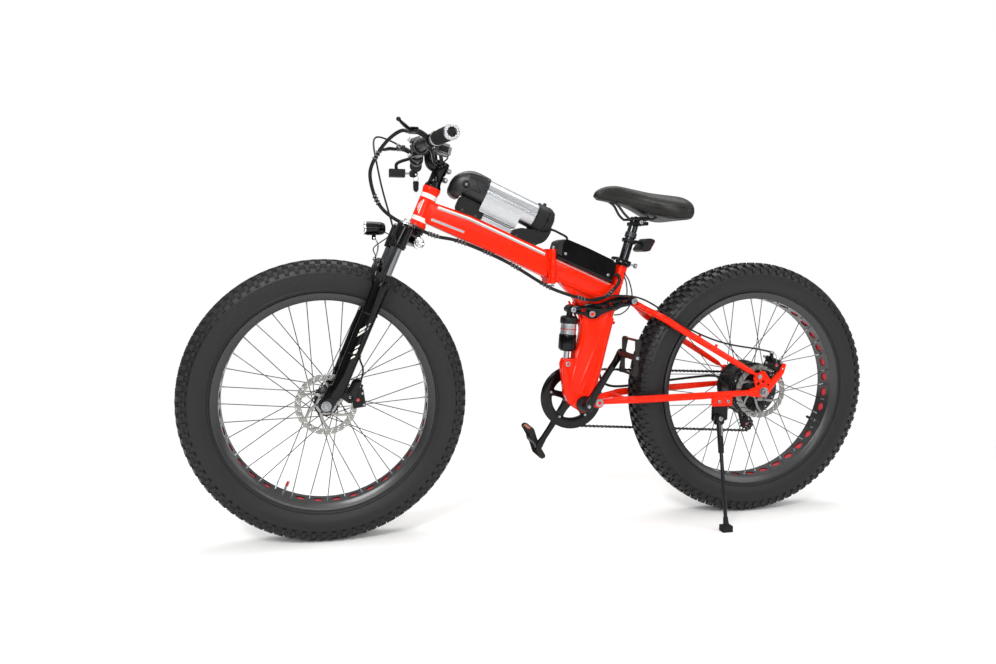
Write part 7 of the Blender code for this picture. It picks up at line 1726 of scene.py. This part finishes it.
def crank_arm(side, way):
    """A forged arm: round boss, waisted shank, round eye."""
    way = Vector(way).normalized()
    across = Vector((-way.y, way.x))
    rings = []
    for r, half, y0, y1 in ((-15, 7, 71, 87.5), (-11, 11.5, 70, 88.5), (-4, 14.4, 69.5, 89), (5, 14.8, 69.5, 89),
                            (15, 12.6, 69.8, 89), (30, 9.8, 73, 89), (CRANK - 60, 8.4, 80, 93),
                            (CRANK - 26, 8.4, 85, 97), (CRANK - 11, 10.4, 86.5, 98), (CRANK, 11.6, 86.5, 98),
                            (CRANK + 7, 10.4, 86.5, 98), (CRANK + 11.4, 6.6, 87, 97.6)):
        line = rounded([(half, y0), (half, y1), (-half, y1), (-half, y0)], 4.2, 5)
        rings.append([(BB[0] + way.x * r + across.x * h, side * y, BB[1] + way.y * r + across.y * h)
                      for h, y in line])
    return loft(rings)


# The left pedal's place from the bottom bracket; the right one is opposite.
PEDAL = (88.59, 147.43)
ways = [(-1, PEDAL), (1, (-PEDAL[0], -PEDAL[1]))]
piece("crank_arms", "crank", black_lacquer, [crank_arm(s, w) for s, w in ways], ("crank_set",), smooth=55)
piece("crank_spindle", "crank", dark_steel, [rod(beside(BB, -88), beside(BB, 90), 8.2, 32)]
      + [rod(beside(BB, s * 54.3), beside(BB, s * 56), 13.6, 40) for s in (-1, 1)])
piece("crank_caps", "crank", moulded_black,
      [lathe([(87, 0), (87, 11), (90, 10.6), (91.6, 8.6), (92, 0)], beside(BB, 0), (0, s, 0), 40) for s in (-1, 1)])
piece("crank_bolts", "crank", zinc_steel, [rod(beside(BB, s * 91.4), beside(BB, s * 92.6), 5.4, 6)
                                           for s in (-1, 1)])
pedal_brown = surface("pedal_nylon", "#120F0D", 0.46, grain=0.8, relief=0.05, shade="#1C1815",
                      rough_by=0.08, Specular_IOR_Level=0.3)


def pedal_set(side, tip, lean, word):
    """A cage pedal: axle, barrel, two toothed side rails, end plates, and reflectors in them."""
    turn = Matrix.Rotation(-math.radians(lean), 3, "Y")

    def at(x, y, z):
        v = turn @ Vector((x, 0, z))
        return Vector(beside(tip, side * y, v.x, v.z))

    body = "pedal_" + word
    parts = [lathe([(106, 6), (106, 8.6), (110, 9.6), (150, 7.6), (194, 8.6), (204, 8), (206, 6), (206, 0),
                    (106, 0)], at(0, 0, 0), (0, side, 0), 48)]
    for y, wide, long in ((112, 4.5, 100), (201, 4.5, 98)):
        half = long / 2
        line = rounded([(-half, -6), (-half + 6, -9), (-12, -5.5), (0, -9.5), (12, -5.5), (half - 6, -9),
                        (half, -6), (half, 6), (half - 6, 9), (12, 5.5), (0, 9.5), (-12, 5.5), (-half + 6, 9),
                        (-half, 6)], 4, 3)
        ring = [at(x, y - wide / 2, z) for x, z in line]
        parts.append(loft([ring, [at(x, y + wide / 2, z) for x, z in line]]))
    for x in (-45, 45):
        parts.append(block(at(x, 156.5, 0), (3, 88, 12), turn))
        for k in range(9):
            for z in (-7.4, 7.4):
                parts.append(block(at(x, 118 + 9.6 * k, z), (3.4, 4.6, 5.0), turn))
    piece(body + "_cage", body, pedal_brown, parts, (body,), bevel=0.8)
    piece(body + "_reflectors", body, amber_lens,
          [block(at(s * 47.4, 156.5, 0), (1.6, 56, 9.5), turn) for s in (-1, 1)], bevel=0.5)
    piece(body + "_axle", body, zinc_steel,
          [rod(at(0, 98.4, 0), at(0, 107, 0), 8.2, 6), rod(at(0, 205, 0), at(0, 207.4, 0), 5.2, 6)])


pedal_set(-1, (BB[0] + PEDAL[0], BB[1] + PEDAL[1]), 85, "left")
pedal_set(1, (BB[0] - PEDAL[0], BB[1] - PEDAL[1]), 114, "right")

# Freewheel block and derailleur.
to_cog = sum(step[4] for step in steps_of[:6])
first = on_chain(math.ceil(to_cog / pitch_now) * pitch_now)
cog_phase = math.atan2(first.y - REAR_AXLE[1], first.x - REAR_AXLE[0])
cogs = [sheet_metal(gear_line(REAR_AXLE, teeth, phase, 3.0),
                    [circle(REAR_AXLE, 14, 48)]
                    + [circle((REAR_AXLE[0] + (r - 12) * math.cos(TAU * k / 8),
                               REAR_AXLE[1] + (r - 12) * math.sin(TAU * k / 8)), 4.0, 16)
                       for k in range(8) if r > 40], y - 0.9, y + 0.9, 0.2)
        for teeth, phase, y, r in ((COG_TEETH, cog_phase, CHAIN_Y, COG_R), (21, 0.0, CHAIN_Y - 5.5, 42.6),
                                   (24, 0.05, CHAIN_Y - 10.8, 48.6))]
piece("freewheel_cogs", "freewheel", zinc_steel, cogs, ("freewheel",))
piece("freewheel_body", "freewheel", dark_steel,
      [lathe([(-18, 12.2), (-18, 22), (-17, 24), (4.6, 24), (6, 22.6), (6, 12.2)], beside(REAR_AXLE, CHAIN_Y),
             (0, 1, 0), 64, ripple=lambda h, r, t: -1.2 if r > 23 and math.cos(8 * t) > 0.6 else 0.0)])
knuckle = (REAR_AXLE[0] + 12.0, REAR_AXLE[1] - 30.0)
mech = [drum([(94.4, 0), (94.4, 8.6), (95.4, 9.5), (105, 9.5), (107.5, 8), (108, 0)], knuckle, 40)]
arm_line = [beside(knuckle, 103, 2, -4), beside(knuckle, 104, 20, -22), beside(GUIDE, 79, 6, 2)]
mech.append(tube(smooth_path(arm_line, 6), 7.4, 24, flat=0.8))
mech.append(rod(beside(GUIDE, CHAIN_Y + 6.4, 6, 2), beside(GUIDE, 84, 6, 2), 8.4, 32))
piece("derailleur_body", "derailleur", black_alloy, mech, ("derailleur",), bevel=0.6)
cage_line = rounded([(GUIDE[0] - 10, GUIDE[1] + 9), (GUIDE[0] + 12, GUIDE[1] + 10),
                     (TENSION[0] + 10, TENSION[1] - 8), (TENSION[0] - 12, TENSION[1] - 10)], 8, 5)
middle = ((GUIDE[0] + TENSION[0]) / 2, (GUIDE[1] + TENSION[1]) / 2)
window = rounded([(middle[0] - 9, middle[1] + 9), (middle[0] + 1, middle[1] + 10), (middle[0] + 9, middle[1] - 8),
                  (middle[0] - 2, middle[1] - 9)], 3, 3)
piece("derailleur_cage", "derailleur", moulded_black,
      [sheet_metal(cage_line, [window], CHAIN_Y + s * 5.4 - 0.9, CHAIN_Y + s * 5.4 + 0.9) for s in (-1, 1)])
jockeys = [sheet_metal(gear_line(c, 10, 0.2, 0.6),
                       [circle((c[0] + 10 * math.cos(TAU * k / 5), c[1] + 10 * math.sin(TAU * k / 5)), 2.4, 12)
                        for k in range(5)], CHAIN_Y - 1, CHAIN_Y + 1) for c in (GUIDE, TENSION)]
piece("jockey_wheels", "derailleur", gloss_plastic, jockeys)
piece("derailleur_trim", "derailleur", red_tape,
      [rod(beside(c, CHAIN_Y - s * 6.3), beside(c, CHAIN_Y - s * 7.6), 4.6, 24) for c in (GUIDE, TENSION)
       for s in (-1, 1)])
piece("derailleur_bolts", "derailleur", zinc_steel,
      [bolt(beside(c, CHAIN_Y + s * 7.4), (0, s, 0), 2.8, 1.4) for c in (GUIDE, TENSION) for s in (-1, 1)]
      + [bolt(beside(knuckle, 107.8), (0, 1, 0), 4.2, 2.0)])


# Cables: each follows its CAD route. Wraps, end caps and ties are their own pieces.
barrel = (BAR[0] - 44, BAR[1] + 21)


def under_beam(i):
    """A point on the loom's run below the front beam, at one of its stations."""
    x, z, lean, high, _ = BEAM[i]
    reach = -(high / 2 + 6.8)
    return (x + reach * math.sin(lean), -12, z + reach * math.cos(lean))


HARNESS = [beside(barrel, -114.6, -1, 0.5), beside(BAR, -104, -62, 25), beside(BAR, -78, -98, -2),
           beside(BAR, -52, -130, -54), beside(BAR, -40, -134, -94), beside(BAR, -37, -111, -161),
           beside(BAR, -37.5, -58, -199), beside(BAR, -37, -34, -205), beside(BAR, -36, -16, -212),
           beside(BAR, -28, 8, -223), beside(BAR, -14, 50, -237), under_beam(1), under_beam(2),
           (HINGE_X - 50, -20, 702), (HINGE_X - 12, -28, 680), (HINGE_X + 13, -36, 668),
           (HINGE_X + 69, -38.5, 650), (HINGE_X + 119, -38.5, 640), (HINGE_X + 158, -38.5, 651),
           (HINGE_X + 184, -38.5, 676), (HINGE_X + 199, -35, 697), (HINGE_X + 196, -31, 711),
           (HINGE_X + 186.5, -27.5, 713.5)]
FRONT_BRAKE = [beside(barrel, 115.8), beside(BAR, 102, -70, 30), beside(BAR, 62, -108, 34),
               beside(BAR, 12, -122, 8), beside(BAR, -44, -117, -50), beside(BAR, -76, -104, -130),
               steer(452, LEG_OFFSET + 4, -104), steer(400, LEG_OFFSET + 4, -104), steer(260, LEG_OFFSET, -103.5)
               + Vector((4, 0, 0)), steer(150, LEG_OFFSET, -98) + Vector((12, 0, 0)),
               beside(FRONT_AXLE, -66, 96, 96), beside(FRONT_AXLE, -62.5, 89, 62),
               beside(FRONT_AXLE, -62.5, 86, 48.3)]
REAR_BRAKE = [(HINGE_X + 112, -44.3, 644.4), (HINGE_X + 150, -48, 652), (HINGE_X + 200, -52, 655),
              (HINGE_X + 262, -60, 646), beside(ROCKER_REAR, -77, 92, -40),
              beside(ROCKER_REAR, -84, 150, -78), beside(ROCKER_REAR, -92, 250, -118),
              beside(REAR_AXLE, -101, -30, 128), beside(REAR_AXLE, -100, 20, 116)]
LEAD = [cell(211.4, -13), cell(222, -10), (HINGE_X + 30, 0, 827), (HINGE_X + 50, 0, 818), (HINGE_X + 52.5, 0, 809)]
MOTOR_LOOM = [(HINGE_X + 186, 27, 713), (HINGE_X + 197, 31, 706), (HINGE_X + 199, 37, 686),
              (HINGE_X + 192, 38, 650), (HINGE_X + 182, 40, 560), (HINGE_X + 170, 40, 470),
              (HINGE_X + 176, 42, 400), beside(SWING, 59, 90, 26), beside(SWING, 78, 200, 32),
              beside(REAR_AXLE, 86, -110, 22), beside(REAR_AXLE, 102, -60, 20),
              beside(REAR_AXLE, 118, -18, 13), beside(REAR_AXLE, 121, -2, 4), beside(REAR_AXLE, 113.4)]


def wound(path, spans, radius, gauge, turn_pitch):
    """Spiral wrap round a path over some spans of its length: a thin bar wound at a pitch."""
    far = [0.0]
    for a, b in zip(path, path[1:]):
        far.append(far[-1] + (b - a).length)
    shapes = []
    for start, end in spans:
        s, coil = start, []
        while s < end:
            i = max(1, next((k for k, f in enumerate(far) if f >= s), len(far) - 1))
            share = (s - far[i - 1]) / max(1e-6, far[i] - far[i - 1])
            spot, way = path[i - 1].lerp(path[i], share), path[i] - path[i - 1]
            one, two, _ = frame_for(way)
            t = TAU * s / turn_pitch
            coil.append(spot + (one * math.cos(t) + two * math.sin(t)) * radius)
            s += turn_pitch / 10
        shapes.append(tube(coil, gauge, 6))
    return shapes


def relaxed(path):
    """Eases the tight spots of a path, with its ends and their directions kept."""
    for _ in range(14):
        path = path[:2] + [(a + b * 2 + c) / 4 for a, b, c in zip(path[1:], path[2:], path[3:])] + path[-2:]
    return path


ROUTE_STEPS = 8
# The harness comes to the head tube at the tenth point of its route, and is parted there.
NECK = ROUTE_STEPS * 9


def run(name, node, body, points, radius, part=slice(None)):
    """A cable or a part of it, as a cord that leaves the object at its first point and ends in it at its last."""
    path = relaxed(smooth_path(points, ROUTE_STEPS))[part]
    made = piece(name, body, cable_jacket, [tube(path, radius, 20)], (node,), smooth=180)
    return made, path


harness_loop, loop_path = run("harness_front_loop", "harness_front", None, HARNESS, 4.6, part=slice(0, NECK + 1))
harness, loom = run("harness_front_loom", "harness_front", None, HARNESS, 4.6, part=slice(NECK, None))
# The wraps' light grey is a painted highlight: it stands for the light that their ribs catch.
wrap_painted_highlight = surface("spiral_wrap_painted_highlight", "#5C5E61", 0.26, grain=1.2, relief=0.01,
                       shade="#47494B", Specular_IOR_Level=0.5)


WRAP_LONG = 32


def wraps_on(name, body, path, starts):
    """The spiral wraps of one part of the harness."""
    long = sum((b - a).length for a, b in zip(path, path[1:]))
    spans = [(a, a + WRAP_LONG) for a in starts if a + WRAP_LONG < long]
    return piece(name, body, wrap_painted_highlight, wound(path, spans, 5.5, 1.9, 9.5))


loop_wraps = wraps_on("harness_loop_wraps", None, loop_path, (95, 215, 330, 400))
loom_wraps = wraps_on("harness_loom_wraps", None, loom, (10, 90, 170, 255, 355, 460, 550))
for made in (harness_loop, loop_wraps):
    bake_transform(made)
for made in (harness, loom_wraps):
    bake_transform(made)
loops = [bent([seat(-32, -8, -14), seat(-52, -30, -15), seat(-88, -50, -15), seat(-122, -50, -15),
               seat(-146, -34, -14), seat(-155, -14, -14)], 1.8, 14, 10),
         bent([seat(-36, -8, -10), seat(-58, -24, -11), seat(-92, -36, -11), seat(-122, -32, -11),
               seat(-144, -12, -10)], 1.8, 14, 10)]
piece("slack_cables", "rear_frame", cable_jacket, loops)
_, front_path = run("brake_cable_front_run", "brake_cable_front", "steering", FRONT_BRAKE, 2.4)
_, rear_path = run("brake_cable_rear_run", "brake_cable_rear", "swingarm", REAR_BRAKE, 2.4)
run("battery_lead_run", "battery_lead", "rear_frame", LEAD, 3.2)
run("harness_rear_loom", "harness_rear", "rear_frame", MOTOR_LOOM, 3.6)
ferrule = [(-2, 2.2), (-2, 3.3), (-1, 3.6), (9, 3.6), (10, 3.1), (10, 2.2)]
piece("cable_ends_steering", "steering", zinc_steel,
      [lathe(ferrule, front_path[0], front_path[2] - front_path[0], 32)])
piece("cable_end_front_caliper", "steering", zinc_steel,
      [lathe([(0, 2.2), (0, 3.4), (10, 3.4), (11, 2.2)], front_path[-1], front_path[-3] - front_path[-1], 32)])


def leg_tie(t, r):
    """A cable tie round the left leg, t up the steering axis."""
    return lathe([(-1.6, r), (-1.6, r + 1.2), (1.6, r + 1.2), (1.6, r)], steer(t, LEG_OFFSET, -LEG_Y), STEER_UP, 56)


piece("fork_cable_ties_low", "fork_lowers", moulded_black, [leg_tie(260, 21.6), leg_tie(150, 20.8)])
piece("fork_cable_tie_high", "steering", moulded_black, [leg_tie(452, 21.4)])
loop = [bar_at(-150) + Vector((-20, 2, 14)), bar_at(-150) + Vector((2, 10, -30)),
        bar_at(-120) + Vector((26, 12, -52)), bar_at(-140) + Vector((40, 2, -44)),
        bar_at(-170) + Vector((36, 2, -34))]
piece("gear_cable_loop", "steering", cable_jacket, [bent(loop, 1.7, 14, 10)])
end = rear_path[-1]
stop_way = (rear_path[-1] - rear_path[-4]).normalized()
piece("cable_stop_rear", "swingarm", zinc_steel,
      [lathe([(-9, 2.2), (-9, 3.4), (-8, 3.8), (1, 3.8), (3, 2.6), (6, 1.6), (6, 0), (-9, 0)], end, stop_way, 28)])
pinch = Vector(beside(REAR_AXLE, -98, 36, 84))
piece("brake_wire_rear", "swingarm", zinc_steel,
      [bent([end + stop_way * 4, end + stop_way * 12 + Vector((0, 1, -4)),
             (end + pinch) / 2 + Vector((6, 0, 2)), pinch], 0.9, 10, 8)])
piece("cable_lug_rear", "swingarm", black_alloy,
      [block(end + Vector((0, 4, -6)), (9, 7, 16)),
       rod(end + Vector((0, 4, -12)), pinch + Vector((-4, 8, 0)), 4.0, 20)], bevel=1.0)


# The fold latch keeps the CAD's own shape, with welded faces and eased edges.
refined("fold_latch", moulded_black, 0.4, "fold_latch_skin")


# Stage: floor, light and camera.
floor_paper, tree, shader, place = blank("floor_paper", "#F9F9F8", 0.9)
fibre = add(tree, "ShaderNodeTexNoise", {"Vector": place, "Scale": 900.0})
bump = add(tree, "ShaderNodeBump", {"Height": fibre, "Strength": 0.1, "Distance": 0.0002})
tree.links.new(bump, shader.inputs["Normal"])
# To the camera the paper fades to plain white away from the bicycle; near it, it keeps the shadow.
reach = add(tree, "ShaderNodeVectorMath", {0: place}, operation="LENGTH").node.outputs["Value"]
fade = add(tree, "ShaderNodeMapRange", {"Value": reach, "From Min": 0.95, "From Max": 2.2},
           interpolation_type="SMOOTHSTEP")
seen = add(tree, "ShaderNodeLightPath").node.outputs["Is Camera Ray"]
share = add(tree, "ShaderNodeMath", {0: fade, 1: seen}, operation="MULTIPLY")
glow = add(tree, "ShaderNodeEmission", {"Color": (1.0, 1.0, 1.0, 1.0), "Strength": 1.0})
blend = add(tree, "ShaderNodeMixShader", {0: share, 1: shader.outputs[0], 2: glow})
tree.links.new(blend, tree.nodes["Material Output"].inputs["Surface"])
floor_mesh = bpy.data.meshes.new("floor")
floor_mesh.from_pydata([(-30, -30, 0), (30, -30, 0), (30, 30, 0), (-30, 30, 0)], [], [(0, 1, 2, 3)])
floor_mesh.materials.append(floor_paper)
floor = bpy.data.objects.new("floor", floor_mesh)
bpy.context.scene.collection.objects.link(floor)

studio = bpy.data.worlds.new("studio")
bpy.context.scene.world = studio
studio.use_nodes = True
sky = studio.node_tree
rays = add(sky, "ShaderNodeLightPath").node
sides = add(sky, "ShaderNodeMath", {0: rays.outputs["Is Camera Ray"],
                                    1: rays.outputs["Is Transmission Ray"]}, operation="MAXIMUM")
# In gloss the room is bright overhead and dim at the sides, so that round black parts get a clear highlight.
facing = add(sky, "ShaderNodeTexCoord").node.outputs["Generated"]
height = add(sky, "ShaderNodeSeparateXYZ", {"Vector": facing}).node.outputs["Z"]
room = add(sky, "ShaderNodeMapRange", {"Value": height, "From Min": 0.1, "From Max": 0.85, "To Min": 0.16,
                                       "To Max": 0.9}, interpolation_type="SMOOTHSTEP")
plain = add(sky, "ShaderNodeMapRange", {"Value": sides, "To Min": 0.5, "To Max": 1.0})
glossy = add(sky, "ShaderNodeMix", {"Factor": rays.outputs["Is Glossy Ray"], "A": plain, "B": room})
strength = add(sky, "ShaderNodeMath", {0: glossy, 1: sides}, operation="MAXIMUM")
sky.nodes["Background"].inputs["Color"].default_value = (1.0, 1.0, 1.0, 1.0)
sky.links.new(strength, sky.nodes["Background"].inputs["Strength"])


def softbox(name, place, target, size, watts):
    lamp = bpy.data.lights.new(name, "AREA")
    lamp.shape = "RECTANGLE"
    lamp.size, lamp.size_y = size
    lamp.energy = watts
    holder = bpy.data.objects.new(name, lamp)
    holder.location = place
    holder.rotation_euler = (Vector(target) - Vector(place)).to_track_quat("-Z", "Y").to_euler()
    bpy.context.scene.collection.objects.link(holder)


softbox("key_light", (-2.2, -3.4, 3.6), (0.0, 0.0, 0.5), (1.7, 1.3), 165)
softbox("fill_light", (3.2, -2.6, 2.2), (0.2, 0.0, 0.5), (2.2, 2.2), 50)
softbox("strip_light", (-0.4, -3.4, 1.5), (0.0, 0.0, 0.6), (2.6, 0.3), 26)
softbox("top_light", (0.3, 0.6, 3.8), (0.0, 0.0, 0.4), (3.4, 2.0), 90)

view = bpy.data.cameras.new("photo_camera")
view.sensor_width = 36.0
view.lens = 27.54
camera = bpy.data.objects.new("photo_camera", view)
right, above, ahead = Vector((0.973512, -0.228497,
                              0.007975)), Vector((0.013428, 0.091961,
                                                  0.995672)), Vector((0.228241, 0.969192, -0.092593))
turn = Matrix((right, above, -ahead)).transposed()
camera.matrix_world = Matrix.Translation((-0.6359, -2.0517, 0.7481)) @ turn.to_4x4()
bpy.context.scene.collection.objects.link(camera)
bpy.context.scene.camera = camera
bpy.context.scene.view_settings.view_transform = "Standard"

bpy.context.view_layer.update()
